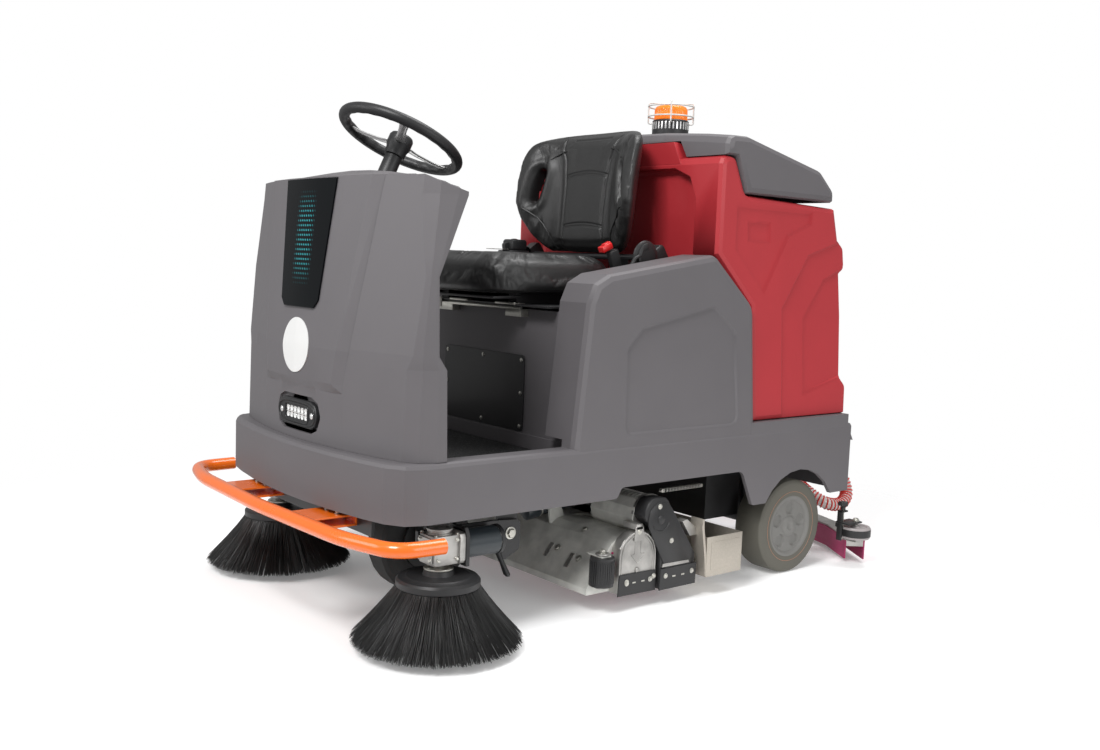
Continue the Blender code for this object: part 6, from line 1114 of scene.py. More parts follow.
@dataclass
class Seat:
    """The cushion and the wrap-round backrest, with piping, slots, recliner and belt.

    Attributes:
        half_width, front, rear, bottom, top: the cushion's box.
        panel_half, panel_front: the edges of its sewn middle panel.
        dish_half, dish_long, dish_depth, dish_y: the hollow that a driver sits in.
        seam_depth, seam_half: how deep and how wide its sewn lines are.
        cross_seams: the Y of the lines that cross its panel.
        back_half, back_bottom, back_top, back_front, back_thick: the backrest's size and place.
        back_widths: its half width at shares of its height, as shares of the widest.
        back_panel: half its middle panel's width at heights.
        back_seams: the heights of the lines that cross that panel, and their rise in its middle.
        wing_forward, lean: how far its wings come forward and its top leans back.
        slot_x, slot_low, slot_high, slot_half, slot_lean: its grab slots.
        welts: each welt's X and Z places on the left, its lift and its radius.
        recliner_centre: the left pivot cover's middle.
        foam, fine_foam: how the cushion and the backrest swell.
    """

    body: str = "seat"
    half_width: float = 0.247
    front: float = -0.492
    rear: float = -0.006
    bottom: float = 0.868
    top: float = 0.974
    panel_half: float = 0.150
    panel_front: float = -0.385
    dish_half: float = 0.185
    dish_long: float = 0.225
    dish_depth: float = 0.013
    dish_y: float = -0.19
    seam_depth: float = 0.0042
    seam_half: float = 0.0045
    cross_seams: tuple = (-0.27, -0.15)
    back_half: float = 0.272
    back_bottom: float = 0.994
    back_top: float = 1.368
    back_front: float = 0.018
    back_thick: float = 0.070
    back_widths: tuple = ((0.0, 0.60), (0.05, 0.70), (0.14, 0.83), (0.28, 0.945), (0.42, 0.99),
                          (0.58, 1.0), (0.76, 0.985), (0.86, 0.96), (1.0, 0.94))
    back_panel: tuple = ((1.0, 0.098), (1.10, 0.092), (1.20, 0.093), (1.28, 0.104), (1.36, 0.135))
    back_seams: tuple = ((1.232, 0.012), (1.226, 0.010), (1.075, 0.009), (1.069, 0.007))
    wing_forward: float = 0.096
    lean: float = 0.037
    slot_x: float = 0.206
    slot_low: float = 1.142
    slot_high: float = 1.262
    slot_half: float = 0.021
    slot_lean: float = 0.20
    welts: tuple = ((((0.236, 1.130), (0.214, 1.118), (0.190, 1.100), (0.168, 1.078),
                      (0.150, 1.052), (0.140, 1.025), (0.135, 1.003)), 0.0004, 0.0026),
                    (((0.176, 1.279), (0.150, 1.296), (0.122, 1.309), (0.104, 1.312)),
                     0.0002, 0.0022))
    recliner_centre: Point = (0.3155, -0.006, 0.984)
    foam: Foam = field(default_factory=Foam)
    fine_foam: Foam = field(default_factory=lambda: Foam(voxel=0.0045, pressure=3.0, cap=0.006))

    def cushion(self) -> None:
        """A crowned pad with side bolsters, a rolled front lip and a sewn middle panel."""
        middle_y = (self.front + self.rear) / 2
        half_y = (self.rear - self.front) / 2
        profile = ((self.bottom, 0.030), (self.bottom + 0.006, 0.012), (self.bottom + 0.022, 0.002),
                   (self.bottom + 0.050, 0.0), (self.top - 0.030, 0.004), (self.top - 0.012, 0.014),
                   (self.top - 0.002, 0.032), (self.top, 0.060))
        shape = Shape("seat_pad", BLACK_VINYL, self.body)
        shape.loft([[(x, y + middle_y, z) for x, y in
                     superellipse(self.half_width - inset, half_y - inset, 4.2, 96)]
                    for z, inset in profile])
        pad = shape.loose()
        self.foam.remesh(pad)
        self.foam.swell(pad, lambda point: point.z < self.bottom + 0.012)
        self.foam.carve(pad, self.cushion_change)
        dress(pad, BLACK_VINYL, self.body, SOFT_ANGLE, ("seat_cushion",))

    def cushion_change(self, point: Vector, normal: Vector) -> float:
        """How far the cushion's skin rises or sinks at a point."""
        if normal.z < 0.2:
            return 0.0
        across = max(0.0, 1 - (abs(point.x) / self.dish_half) ** 2)
        along = max(0.0, 1 - ((point.y - self.dish_y) / self.dish_long) ** 4)
        dish = -self.dish_depth * across * along
        beside = abs(point.x) - self.panel_half
        before = self.panel_front - point.y
        edge = max(beside, before)
        if beside > 0 and before > 0:
            edge = math.hypot(beside, before)
        seam = -self.seam_depth * bump(edge, self.seam_half) + 0.0022 * bump(edge - 0.013, 0.008)
        if edge < -0.004:
            for place in self.cross_seams:
                seam -= 0.0026 * bump(point.y - place - 0.25 * point.x ** 2, 0.0035)
        pleat = 0.0
        if -0.47 < point.y < self.panel_front:
            pleat = (-0.0045 * bump(point.x + 0.030 + (point.y + 0.39) * 0.7, self.seam_half)
                     * bump(point.y + 0.425, 0.035))
        return dish + seam * min(1.0, (normal.z - 0.2) * 3) + pleat

    def back_share(self, height: float) -> float:
        """A height as a share of the backrest's own."""
        return (height - self.back_bottom) / (self.back_top - self.back_bottom)

    def back_half_at(self, height: float) -> float:
        """Half the backrest's width at a height."""
        share = self.back_share(height)
        bend = min(1.0, max(0.0, (share - 0.70) / 0.30))
        corner = max(0.02, 1 - bend ** 4) ** 0.25
        return self.back_half * from_stops(share, self.back_widths) * corner

    def back_face_y(self, x: float, height: float) -> float:
        """Where the backrest's front face lies before it swells."""
        share = self.back_share(height)
        aside = min(1.0, abs(x) / self.back_half)
        return self.back_front + self.lean * share ** 2 - self.wing_forward * aside ** 3

    def backrest(self) -> bpy.types.Object:
        """The backrest, cut through by its two grab slots.

        Returns:
            The finished backrest.
        """
        loops = []
        levels, columns = 48, 72
        for level in range(1, levels):
            share = (1 - math.cos(math.pi * level / levels)) / 2
            height = self.back_bottom + (self.back_top - self.back_bottom) * share
            half = self.back_half_at(height)
            ends = max(0.0, (share - 0.90) / 0.10, (0.05 - share) / 0.05)
            thick = self.back_thick * math.sqrt(max(0.16, 1 - ends ** 2))
            loop = []
            for across, depth in superellipse(half, thick / 2, 3.4, columns):
                slim = 1 - 0.12 * (across / half) ** 2
                loop.append((across, self.back_face_y(across, height) + self.back_thick / 2
                             + depth * slim, height))
            loops.append(loop)
        back = Shape("seat_back_pad", BLACK_VINYL, self.body).loft(loops).loose()
        knives = Shape("knives", BLACK_VINYL, self.body)
        for _, side in SIDES:
            knives.prism(Axis.Y, self.slot_outline(side), -0.15, 0.15)
        knife = knives.loose()
        slots = back.modifiers.new("slots", "BOOLEAN")
        slots.operation = "DIFFERENCE"
        slots.object = knife
        self.fine_foam.remesh(back)
        bpy.data.objects.remove(knife)
        self.fine_foam.swell(back, lambda point: point.y > self.back_face_y(point.x, point.z) + 0.035)
        self.fine_foam.carve(back, self.back_change)
        dress(back, BLACK_VINYL, self.body, SOFT_ANGLE, ("seat_back",))
        return back

    def slot_outline(self, side: int) -> list:
        """The leaning slot's outline as pairs of height and sideways place."""
        middle = (self.slot_low + self.slot_high) / 2
        tall = (self.slot_high - self.slot_low) / 2
        outline = []
        for up, out in superellipse(tall, self.slot_half, 2.5, 36):
            outline.append((middle + up, side * (self.slot_x + out - self.slot_lean * up)))
        return outline

    def back_change(self, point: Vector, normal: Vector) -> float:
        """How far the backrest's skin rises or sinks at a point."""
        if normal.y > 0.25:
            return 0.0
        height = point.z
        share = self.back_share(height)
        half = self.back_half_at(height)
        aside = abs(point.x)
        rim = half - aside
        roll = 0.006 * bump(rim - 0.034, 0.022) * min(1.0, share * 4) * min(1.0, (1 - share) * 6)
        roll += 0.004 * bump(share - 0.90, 0.07)
        middle = (self.slot_low + self.slot_high) / 2
        lean = self.slot_x - self.slot_lean * (height - middle)
        around = math.hypot(aside - lean, max(0.0, abs(height - middle) - 0.04))
        roll += 0.007 * bump(around - 0.036, 0.016)
        border = self.panel_at(height)
        hollow = -0.010 * bump(aside - (border + 0.022), 0.020) * (1 - share ** 3)
        seam = -0.0046 * bump(aside - border, 0.0042)
        if aside < border - 0.003:
            for place, rise in self.back_seams:
                curve = place + rise * (1 - (point.x / border) ** 2)
                seam -= 0.0030 * bump(height - curve, 0.0026)
            if aside < 0.088:
                seam -= 0.0034 * bump(height - 1.343, 0.003)
            seam += 0.0015 * min(1.0, (border - aside) / 0.03)
        fade = min(1.0, max(0.0, (self.back_top - 0.012 - height) / 0.016))
        return roll + (hollow + seam) * fade * min(1.0, max(0.0, (0.25 - normal.y) / 0.3))

    def panel_at(self, height: float) -> float:
        """Half the middle panel's width at a height."""
        return from_stops(height, self.back_panel)

    def piping(self, back: bpy.types.Object) -> None:
        """The welt from each slot down the wing's inner border, and round each slot's rim."""
        probe = Probe(back)
        welts = Shape("seat_piping", BLACK_VINYL, self.body)
        for _, side in SIDES:
            for route, lift, radius in self.welts:
                welts.tube([probe.cast((side * x, -0.3, z), REARWARD, lift) for x, z in route],
                           radius, 10)
        welts.piece()

    def recliner(self) -> None:
        """The round pivot covers with their levers at both ends of the tilt joint."""
        out, y, z = self.recliner_centre
        for side_name, side in SIDES:
            shape = Shape(f"recliner_cover_{side_name}", BLACK_PLASTIC, self.body)
            face = side * out
            centre = (face, y, z)
            shape.turn(Axis.X, centre, [(0.046, -side * 0.004), (0.048, side * 0.001),
                                        (0.044, side * 0.006), (0.030, side * 0.009),
                                        (0.012, side * 0.0095)], 48)
            shape.piece(ROUND_ANGLE)
            lever = Shape(f"recliner_lever_{side_name}", BLACK_PLASTIC, self.body)
            rims = [(0.040, step) for step in range(13)]
            rims += [(0.021 + 0.010 * step / 12, step) for step in range(12, -1, -1)]
            outline = [(y + reach * math.cos(math.radians(95 + 120 * step / 12)),
                        z + reach * math.sin(math.radians(95 + 120 * step / 12)))
                       for reach, step in rims]
            lever.prism(Axis.X, outline, *sorted((face + side * 0.006, face + side * 0.016)))
            lever.tube([(face + side * lift, y - back, z - drop) for lift, back, drop in
                        ((0.010, 0.030, -0.004), (0.010, 0.050, 0.006), (0.011, 0.066, 0.030),
                         (0.009, 0.082, 0.052))], 0.0065, 12)
            lever.piece(bevel=0.0015)

    def belt(self) -> None:
        """The buckle's red button, the retractor's shell, the strap and the steel tongue."""
        button = Shape("buckle_button", RED_CATCH, self.body)
        lean = Matrix.Translation((0.262, -0.112, 1.000)) @ Matrix.Rotation(math.radians(24), 4, "X")
        button.box((-0.011, -0.019, -0.002), (0.011, 0.019, 0.016), 0.002)
        button.box((-0.007, -0.006, 0.012), (0.007, 0.019, 0.020), 0.001)
        button.moved(lean).piece(bevel=0.001)
        shell = Shape("belt_retractor", BLACK_PLASTIC, self.body)
        shell.box((-0.292, -0.072, 0.990), (-0.238, -0.014, 1.028), 0.006)
        shell.box((-0.300, -0.086, 0.976), (-0.232, -0.006, 0.992), 0.003)
        shell.piece(bevel=0.002)
        strap = Shape("belt_strap", BLACK_VINYL, self.body)
        section = ((-0.023, 0.0), (0.023, 0.0), (0.023, 0.0016), (-0.023, 0.0016))
        strap.loft([[(-0.262 + x, y, z + rise) for x, rise in section] for y, z in
                    ((-0.022, 1.006), (-0.004, 1.003), (0.004, 0.995), (0.004, 0.985))]).piece()
        tongue = Shape("belt_latch", ZINC, self.body)
        for low_x, low_y, high_x, high_y in ((-0.286, -0.100, -0.238, -0.088),
                                             (-0.286, -0.132, -0.238, -0.122),
                                             (-0.286, -0.124, -0.276, -0.096),
                                             (-0.248, -0.124, -0.238, -0.096),
                                             (-0.274, -0.152, -0.250, -0.128)):
            tongue.box((low_x, low_y, 0.9935), (high_x, high_y, 0.9955))
        tongue.piece()

    def under(self) -> None:
        """The hinges and the latch along the seat plate's front edge, and the slide's handle."""
        hinges = Shape("seat_plate_hinges", ZINC, self.body)
        for x in (-0.076, 0.154):
            hinges.box((x - 0.045, -0.387, 0.8392), (x + 0.045, -0.352, 0.8412), 0.0005)
            hinges.disc(Axis.X, (x, -0.3885, 0.8400), 0.0042, -0.045, 0.045, 0.0006, 16)
        hinges.box((-0.232, -0.3895, 0.812), (-0.168, -0.3865, 0.842), 0.001)
        hinges.piece(bevel=0.0005)
        screws = [((x, -0.366, 0.8410), UP) for x in (-0.106, -0.046, 0.124, 0.184)]
        screws += [((x, -0.3896, 0.828), FORWARD) for x in (-0.215, -0.185)]
        fasteners("seat_plate_screws", self.body, screws, 0.0045, Head.PAN)
        slide = Shape("slide_handle", BLACK_STEEL, self.body)
        slide.tube([(-0.19, -0.36, 0.860), (-0.19, -0.455, 0.856), (0.19, -0.455, 0.856),
                    (0.19, -0.36, 0.860)], 0.0045, 10).piece()

    def build(self) -> None:
        """Makes the whole seat."""
        self.cushion()
        self.piping(self.backrest())
        self.recliner()
        self.belt()
        self.under()


# Driver's controls


@dataclass
class SteeringWheel:
    """A gripped black rim on three polished spokes, tilted toward the driver."""

    body: str = "steering"
    centre: Point = (0.0, -0.649, 1.277)
    tilt: float = math.radians(25)
    radius: float = 0.166
    tube: float = 0.0148
    hub: float = 0.034
    grips: int = 24
    grip_depth: float = 0.0011
    spokes: tuple = (90, 210, 330)
    # Each spoke's reach, height, half width and thickness
    spoke_stations: tuple = ((0.026, -0.013, 0.017, 0.007), (0.060, -0.013, 0.013, 0.006),
                             (0.110, -0.008, 0.012, 0.006), (0.140, -0.003, 0.014, 0.006),
                             (0.158, 0.0, 0.020, 0.008))

    @property
    def turned(self) -> Matrix:
        """From the flat wheel to its place."""
        return Matrix.Translation(self.centre) @ Matrix.Rotation(-self.tilt, 4, "X")

    def rim(self) -> None:
        """The rim with grip notches on its inner side, and the hub."""
        rim = Shape("steering_rim", BLACK_PLASTIC, self.body)
        loops = []
        for turn in turns(168):
            out = Vector((math.cos(turn), math.sin(turn), 0))
            loop = []
            grip = math.cos(turn * self.grips)
            for angle in turns(18):
                reach = self.tube + self.grip_depth * max(0.0, math.cos(angle - math.pi)) * grip
                loop.append(out * (self.radius + reach * math.cos(angle))
                            + Vector((0, 0, reach * math.sin(angle))))
            loops.append(loop)
        rim.loft(loops, closed=True)
        rim.turn(Axis.Z, ORIGIN, [(0.028, -0.050), (0.030, -0.030), (self.hub, -0.020),
                                     (self.hub, 0.004), (0.030, 0.011), (0.020, 0.014),
                                     (0.008, 0.015)], 48)
        rim.moved(self.turned).piece(ROUND_ANGLE, ("steering_wheel",))

    def build(self) -> None:
        """Makes the rim, hub and spokes."""
        self.rim()
        spokes = Shape("steering_spokes", POLISHED, self.body)
        for turn in self.spokes:
            spoke = Shape("spoke", POLISHED, self.body)
            spoke.loft([[(reach, half * wide, drop + thick * high) for wide, high in
                         ((-1, 0), (-0.6, 0.5), (0.6, 0.5), (1, 0), (0.6, -0.5), (-0.6, -0.5))]
                        for reach, drop, half, thick in self.spoke_stations])
            spokes.take(spoke.moved(Matrix.Rotation(math.radians(turn), 4, "Z")))
        spokes.moved(self.turned).piece(bevel=0.001)


def bent(points: Sequence[Point], radius: float, steps: int = 8) -> list:
    """A route whose corners are rounded by curves.

    Args:
        points: the route's corners.
        radius: how far from each corner its curve begins.
        steps: points along each curve.

    Returns:
        The rounded route.
    """
    route = [Vector(points[0])]
    for before, corner, after in zip(points, points[1:], points[2:]):
        before, corner, after = Vector(before), Vector(corner), Vector(after)
        reach = min(radius, (before - corner).length * 0.48, (after - corner).length * 0.48)
        first = corner + (before - corner).normalized() * reach
        last = corner + (after - corner).normalized() * reach
        for step in range(steps + 1):
            share = step / steps
            route.append(first.lerp(corner, share).lerp(corner.lerp(last, share), share))
    return route + [Vector(points[-1])]


def flowing(points: Sequence[Point], steps: int = 10) -> list:
    """A smooth curve through points."""
    spots = [Vector(point) for point in points]
    spots = [spots[0] * 2 - spots[1]] + spots + [spots[-1] * 2 - spots[-2]]
    route = []
    for a, b, c, d in zip(spots, spots[1:], spots[2:], spots[3:]):
        for step in range(steps):
            t = step / steps
            route.append(0.5 * (b * 2 + (c - a) * t + (a * 2 - b * 5 + c * 4 - d) * t ** 2
                                + (b * 3 - a - c * 3 + d) * t ** 3))
    return route + [spots[-2]]


def hull(circles: Sequence[tuple[float, float, float]], steps: int = 48) -> list:
    """The outline of a belt laid round circles, each given by its middle and radius."""
    dots = sorted((x + r * math.cos(turn), y + r * math.sin(turn))
                  for x, y, r in circles for turn in turns(steps))
    halves = []
    for order in (dots, list(reversed(dots))):
        chain = []
        for dot in order:
            while len(chain) > 1 and ((chain[-1][0] - chain[-2][0]) * (dot[1] - chain[-2][1])
                                      <= (chain[-1][1] - chain[-2][1]) * (dot[0] - chain[-2][0])):
                chain.pop()
            chain.append(dot)
        halves.append(chain[:-1])
    return halves[0] + halves[1]


# Cowl


@dataclass
class Front:
    """The bare badge and the headlamp's reflector on the cowl."""

    body: str = "base"
    badge_z: float = 0.720
    badge_radius: float = 0.072
    badge_thick: float = 0.0022
    lamp_z: float = 0.540
    half_width: float = 0.060
    half_height: float = 0.018
    columns: int = 6
    screw_x: float = 0.085
    # Each rolled rim's half width, half height, squareness and radius
    rims: tuple = ((0.100, 0.0305, 3.2, 0.0032), (0.0655, 0.0235, 6.0, 0.0030))

    def badge(self) -> None:
        """A bare white disc that follows the cowl."""
        plate = Shape("cowl_badge", WHITE_ENAMEL, self.body)
        Probe("front_cowl").disc(plate, (0, AHEAD_Y, self.badge_z), REARWARD, self.badge_radius,
                                 self.badge_thick)
        plate.piece(RIM_ANGLE)

    def lamp(self) -> None:
        """The bezel's two rolled rims, the reflector with its cups and lights, and two screws."""
        probe = Probe("headlamp")
        floor, face = (probe.cast((x, AHEAD_Y, self.lamp_z), REARWARD).y for x in (0, self.screw_x))
        rims = Shape("headlamp_rims", BLACK_PLASTIC, self.body)
        for half_x, half_z, power, radius in self.rims:
            rims.tube([(x, face + 0.0006, self.lamp_z + z)
                       for x, z in superellipse(half_x, half_z, power, 64)], radius, 10, closed=True)
        rims.piece()
        plate = Shape("headlamp_reflector", WHITE_ENAMEL, self.body)
        plate.box((-self.half_width, floor - 0.0012, self.lamp_z - self.half_height),
                  (self.half_width, floor - 0.0002, self.lamp_z + self.half_height))
        lights = Shape("headlamp_lights", POLISHED, self.body)
        pitch = 2 * self.half_width / self.columns
        for column in range(self.columns):
            x = -self.half_width + pitch * (column + 0.5)
            for row in (-1, 1):
                spot = (x, floor, self.lamp_z + row * self.half_height / 2)
                plate.turn(Axis.Y, spot, [(0.0042, -0.0015), (0.0084, -0.0046), (0.0078, -0.0048),
                                          (0.0036, -0.0018)], 24, capped=False)
                lights.turn(Axis.Y, spot, [(0.0030, -0.0014), (0.0028, -0.0026), (0.0014, -0.0032)], 16)
        plate.box((-self.half_width, floor - 0.0050, self.lamp_z - 0.0009),
                  (self.half_width, floor - 0.0010, self.lamp_z + 0.0009))
        plate.piece()
        lights.piece()
        fasteners("headlamp_screws", self.body, [((side * self.screw_x, face, self.lamp_z), FORWARD)
                                                 for _, side in SIDES], 0.0060, Head.PAN, POLISHED)

    def build(self) -> None:
        """Makes the cowl's small parts."""
        self.badge()
        self.lamp()


@dataclass
class Beacon:
    """A ribbed amber lens on a striped foot, inside a guard of round white wire."""

    body: str = "lid"
    x: float = 0.0
    y: float = 0.385
    seat: float = 1.3594
    low: float = 1.4383
    height: float = 0.046
    radius: float = 0.0548
    foot_radius: float = 0.060
    flange_radius: float = 0.0745
    stripes: int = 30
    guard_radius: float = 0.0742
    guard_foot: float = 0.0585
    wire: float = 0.0026
    ribs: int = 44
    rib_depth: float = 0.0009
    # The lens's heights and sizes, as shares
    dome: tuple = ((0.0, 0.985), (0.03, 1.0), (0.70, 0.99), (0.90, 0.94), (0.965, 0.87),
                   (0.999, 0.80))

    def lens(self) -> None:
        """The lens with its upright ribs."""
        shape = Shape("beacon_lens_ribbed", AMBER, self.body)
        loops = []
        for share, size in self.dome:
            loop = []
            for turn in turns(self.ribs * 6):
                rib = self.rib_depth * math.cos(self.ribs * turn) if share < 0.9 else 0.0
                reach = self.radius * size - self.rib_depth + rib
                loop.append((self.x + reach * math.cos(turn), self.y + reach * math.sin(turn),
                             self.low + self.height * share))
            loops.append(loop)
        shape.loft(loops).piece(math.radians(60), ("beacon_lens",))

    def foot(self) -> None:
        """The round black foot with bright upright stripes under the lens."""
        shape = Shape("beacon_foot", BLACK_PLASTIC, self.body)
        rim, flange = self.foot_radius, self.flange_radius
        shape.turn(Axis.Z, (self.x, self.y, 0), [
            (flange, self.seat), (flange, self.seat + 0.004), (rim + 0.003, self.seat + 0.008),
            (rim, self.seat + 0.012), (rim, self.low - 0.004), (rim - 0.003, self.low - 0.0006)], 64)
        shape.piece(replaces=("beacon_base",))
        stripe = Shape("stripe_pattern", POLISHED, self.body)
        stripe.box((-0.0010, -0.0024, -0.012), (0.0010, 0.0024, 0.012), 0.0005)
        Repeats("beacon_stripes", POLISHED, self.body, pattern_piece(stripe)).at(
            ring((self.x, self.y, self.low - 0.020), rim, self.stripes))

    def guard(self) -> None:
        """Two rings, four posts and a crossed top in white wire."""
        shape = Shape("beacon_guard_wires", GUARD_WIRE, self.body)
        foot, top = self.low - 0.012, self.low + self.height + 0.0102
        for height in (self.low + 0.011, top - 0.012):
            shape.tube([(self.x + x, self.y + y, height) for x, y in
                        superellipse(self.guard_radius, self.guard_radius, 2.0, 56)],
                       self.wire, 10, closed=True)
        wide, near = self.guard_radius, self.guard_foot
        for angle, lift in ((45, 0.0), (135, 0.0018)):
            along = Vector((math.cos(math.radians(angle)), math.sin(math.radians(angle)), 0))
            middle = Vector((self.x, self.y, 0))
            corners = [(-near, foot), (-wide, foot), (-wide, top + lift), (wide, top + lift),
                       (wide, foot), (near, foot)]
            shape.tube(bent([middle + along * reach + Vector((0, 0, height))
                             for reach, height in corners], 0.008), self.wire, 10)
        shape.piece(replaces=("beacon_guard",))

    def build(self) -> None:
        """Makes the whole beacon."""
        self.foot()
        self.lens()
        self.guard()


@dataclass
class Bumper:
    """The glossy orange tube and its two open channels."""

    body: str = "base"
    tube: float = 0.0185
    z: float = 0.300
    corners: tuple = ((0.588, -0.866), (0.580, -0.988), (0.409, -1.034), (0.0, -1.050))
    corner_reach: float = 0.062
    channel_low: float = 0.150
    channel_high: float = 0.260
    channel_middle: float = 0.205
    wall: float = 0.005
    half_height: float = 0.015
    edge: float = 0.0008

    def build(self) -> None:
        """Makes the tube, the channels and their bolts."""
        bar = Shape("bumper_tube", ORANGE_PAINT, self.body)
        half = [(x, y, self.z) for x, y in self.corners]
        route = half + [(-x, y, z) for x, y, z in reversed(half[:-1])]
        bar.tube(bent(route, self.corner_reach, 10), self.tube, 28)
        plate_y = Probe("chassis_frame").cast((self.channel_middle, AHEAD_Y, self.z), REARWARD).y - 0.0004
        top, low = self.z + self.half_height, self.z - self.half_height
        tube_y = self.corners[-1][1] + 0.010
        bolts, inner = [], []
        for _, side in SIDES:
            near, far = sorted((side * self.channel_low, side * self.channel_high))
            bar.box((near, tube_y, top - self.wall), (far, plate_y, top), self.edge)
            bar.box((near, tube_y, low), (far, plate_y, low + self.wall), self.edge)
            bar.box((near, plate_y - self.wall, low + 0.001), (far, plate_y, top - 0.001), self.edge)
            bolts += [((side * x, plate_y - 0.040, top), UP) for x in (0.178, 0.232)]
            inner.append(((side * self.channel_middle, plate_y - self.wall, self.z), FORWARD))
        bar.piece(RIM_ANGLE, ("bumper_bar",))
        fasteners("bumper_bolts", self.body, bolts, 0.0060, Head.SOCKET)
        fasteners("bumper_inner_bolts", self.body, inner, 0.0075)


# Wheels


@dataclass
class RearWheel(Sided):
    """A smooth solid tyre on a dished hub with five shallow cups."""

    inner_x: float = 0.365
    outer_x: float = 0.470
    radius: float = 0.150
    hub_radius: float = 0.098
    y: float = 0.540
    cup_circle: float = 0.058
    cup_radius: float = 0.0200
    cup_depth: float = 0.0062
    cups: int = 5

    @property
    def body(self) -> str:
        """The body it spins with."""
        return f"rear_wheel_{self.side_name}"

    def revolve(self, shape: Shape, profile: Sequence[tuple[float, float]]) -> Shape:
        """Turns a closed profile of x and radius pairs about the axle, which makes a ring."""
        return shape.turn(Axis.X, (0, self.y, self.radius),
                          [(reach, self.side * x) for x, reach in (*profile, profile[0])], 72,
                          capped=False)

    def tyre(self) -> None:
        """The olive tyre with its rounded shoulders and thin coloured line."""
        inner, outer, rim, seat = self.inner_x, self.outer_x, self.radius, self.hub_radius
        self.revolve(self.shape("tyre", TYRE_RUBBER, self.body), [
            (inner, seat), (inner, rim - 0.012), (inner + 0.004, rim - 0.003), (inner + 0.012, rim),
            (outer - 0.014, rim), (outer - 0.006, rim - 0.0022), (outer - 0.0012, rim - 0.008),
            (outer, rim - 0.014), (outer, seat + 0.012), (outer - 0.0015, seat + 0.004),
            (outer - 0.002, seat)]).piece(replaces=(f"rear_tyre_{self.side_name}",))
        self.revolve(self.shape("tyre_line", SIDE_LINE, self.body), [
            (outer - 0.001, 0.1105), (outer + 0.0005, 0.1110), (outer + 0.0005, 0.1120),
            (outer - 0.001, 0.1125)]).piece()

    def sunk(self, y: float, z: float) -> float:
        """How deep the nearest cup is at a place on the hub's face, measured from the axle."""
        depth = 0.0
        for turn in turns(self.cups, 0.20):
            away = math.hypot(y - self.cup_circle * math.cos(turn), z - self.cup_circle * math.sin(turn))
            share = min(1.0, max(0.0, (self.cup_radius + 0.0015 - away) / 0.0045))
            depth = max(depth, self.cup_depth * share * share * (3 - 2 * share))
        return depth

    def hub(self) -> None:
        """The dished hub with cups and a centre cap."""
        outer, rim = self.outer_x, self.hub_radius - 0.0002
        face, first, last, rings = outer - 0.0085, rim - 0.015, 0.034, 27
        profile = [(self.inner_x, rim), (outer - 0.002, rim), (outer - 0.0014, rim - 0.003),
                   (outer - 0.003, rim - 0.010)]
        profile += [(face, first + (last - first) * step / rings) for step in range(rings + 1)]
        profile += [(face + 0.004, 0.030), (face + 0.0062, 0.026), (face + 0.0066, 0.014),
                    (face + 0.0050, 0.012), (face + 0.0050, 0.002)]
        loops = []
        for x, reach in profile:
            loop = []
            for turn in turns(168):
                y, z = reach * math.cos(turn), reach * math.sin(turn)
                sunk = self.sunk(y, z) if x == face else 0.0
                loop.append((self.side * (x - sunk), self.y + y, self.radius + z))
            loops.append(loop)
        self.shape("hub", HUB_GREY, self.body).loft(loops).piece(
            RIM_ANGLE, (f"rear_hub_{self.side_name}",))

    def build(self) -> None:
        """Makes the wheel."""
        self.tyre()
        self.hub()


# Squeegee and hose


@dataclass
class Hose:
    """A clear hose with a red spiral, from the squeegee's port to the tank's.

    Attributes:
        radius: the tube's radius.
        wire: the spiral's radius.
        pitch: the spiral's rise in a turn.
        per_turn: points of the spiral in a turn.
        bend_start: where the hose would leave the body's motion; not used.
        bend_end: where it would follow the hitch wholly; not used.
        points: its route.
    """

    radius: float = 0.0195
    wire: float = 0.0030
    pitch: float = 0.0125
    per_turn: int = 14
    bend_start: Point = (0.260, 0.860, 0.600)
    bend_end: Point = (0.100, 1.012, 0.150)
    points: tuple = ((0.100, 1.012, 0.1125), (0.106, 1.006, 0.158), (0.170, 0.930, 0.215),
                     (0.275, 0.850, 0.205), (0.350, 0.865, 0.170), (0.368, 0.930, 0.160),
                     (0.355, 0.985, 0.190), (0.325, 0.985, 0.255), (0.285, 0.925, 0.345),
                     (0.262, 0.872, 0.450), (0.258, 0.860, 0.560), (0.260, 0.850, 0.650),
                     (0.260, 0.818, 0.697), (0.260, 0.7755, 0.700))

    def winding(self, route: Sequence[Vector]) -> list:
        """The spiral's route round the tube's.

        Args:
            route: the tube's route.

        Returns:
            The spiral's points.
        """
        lengths = [0.0]
        for before, after in zip(route, route[1:]):
            lengths.append(lengths[-1] + (after - before).length)
        winding = []
        normal = Vector((1, 0, 0))
        index = 0
        for step in range(int(lengths[-1] / self.pitch * self.per_turn)):
            reach = step * self.pitch / self.per_turn
            while lengths[index + 1] < reach:
                index += 1
            share = (reach - lengths[index]) / (lengths[index + 1] - lengths[index])
            heading = (route[index + 1] - route[index]).normalized()
            normal = (normal - heading * normal.dot(heading)).normalized()
            turn = 2 * math.pi * step / self.per_turn
            out = normal * math.cos(turn) + heading.cross(normal) * math.sin(turn)
            winding.append(route[index].lerp(route[index + 1], share) + out * (self.radius + 0.0006))
        return winding

    def build(self) -> None:
        """Makes the tube and winds the spiral round it."""
        route = flowing(self.points, 14)
        tube = Shape("hose_tube", PALE_HOSE, "").tube(route, self.radius, 24)
        spiral = Shape("hose_spiral", RED_HOSE, "").tube(self.winding(route), self.wire, 6)
        for piece in (tube.piece(replaces=("vacuum_hose",)), spiral.piece()):
            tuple(self.bend_start)
            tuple(self.bend_end)
            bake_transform(piece)


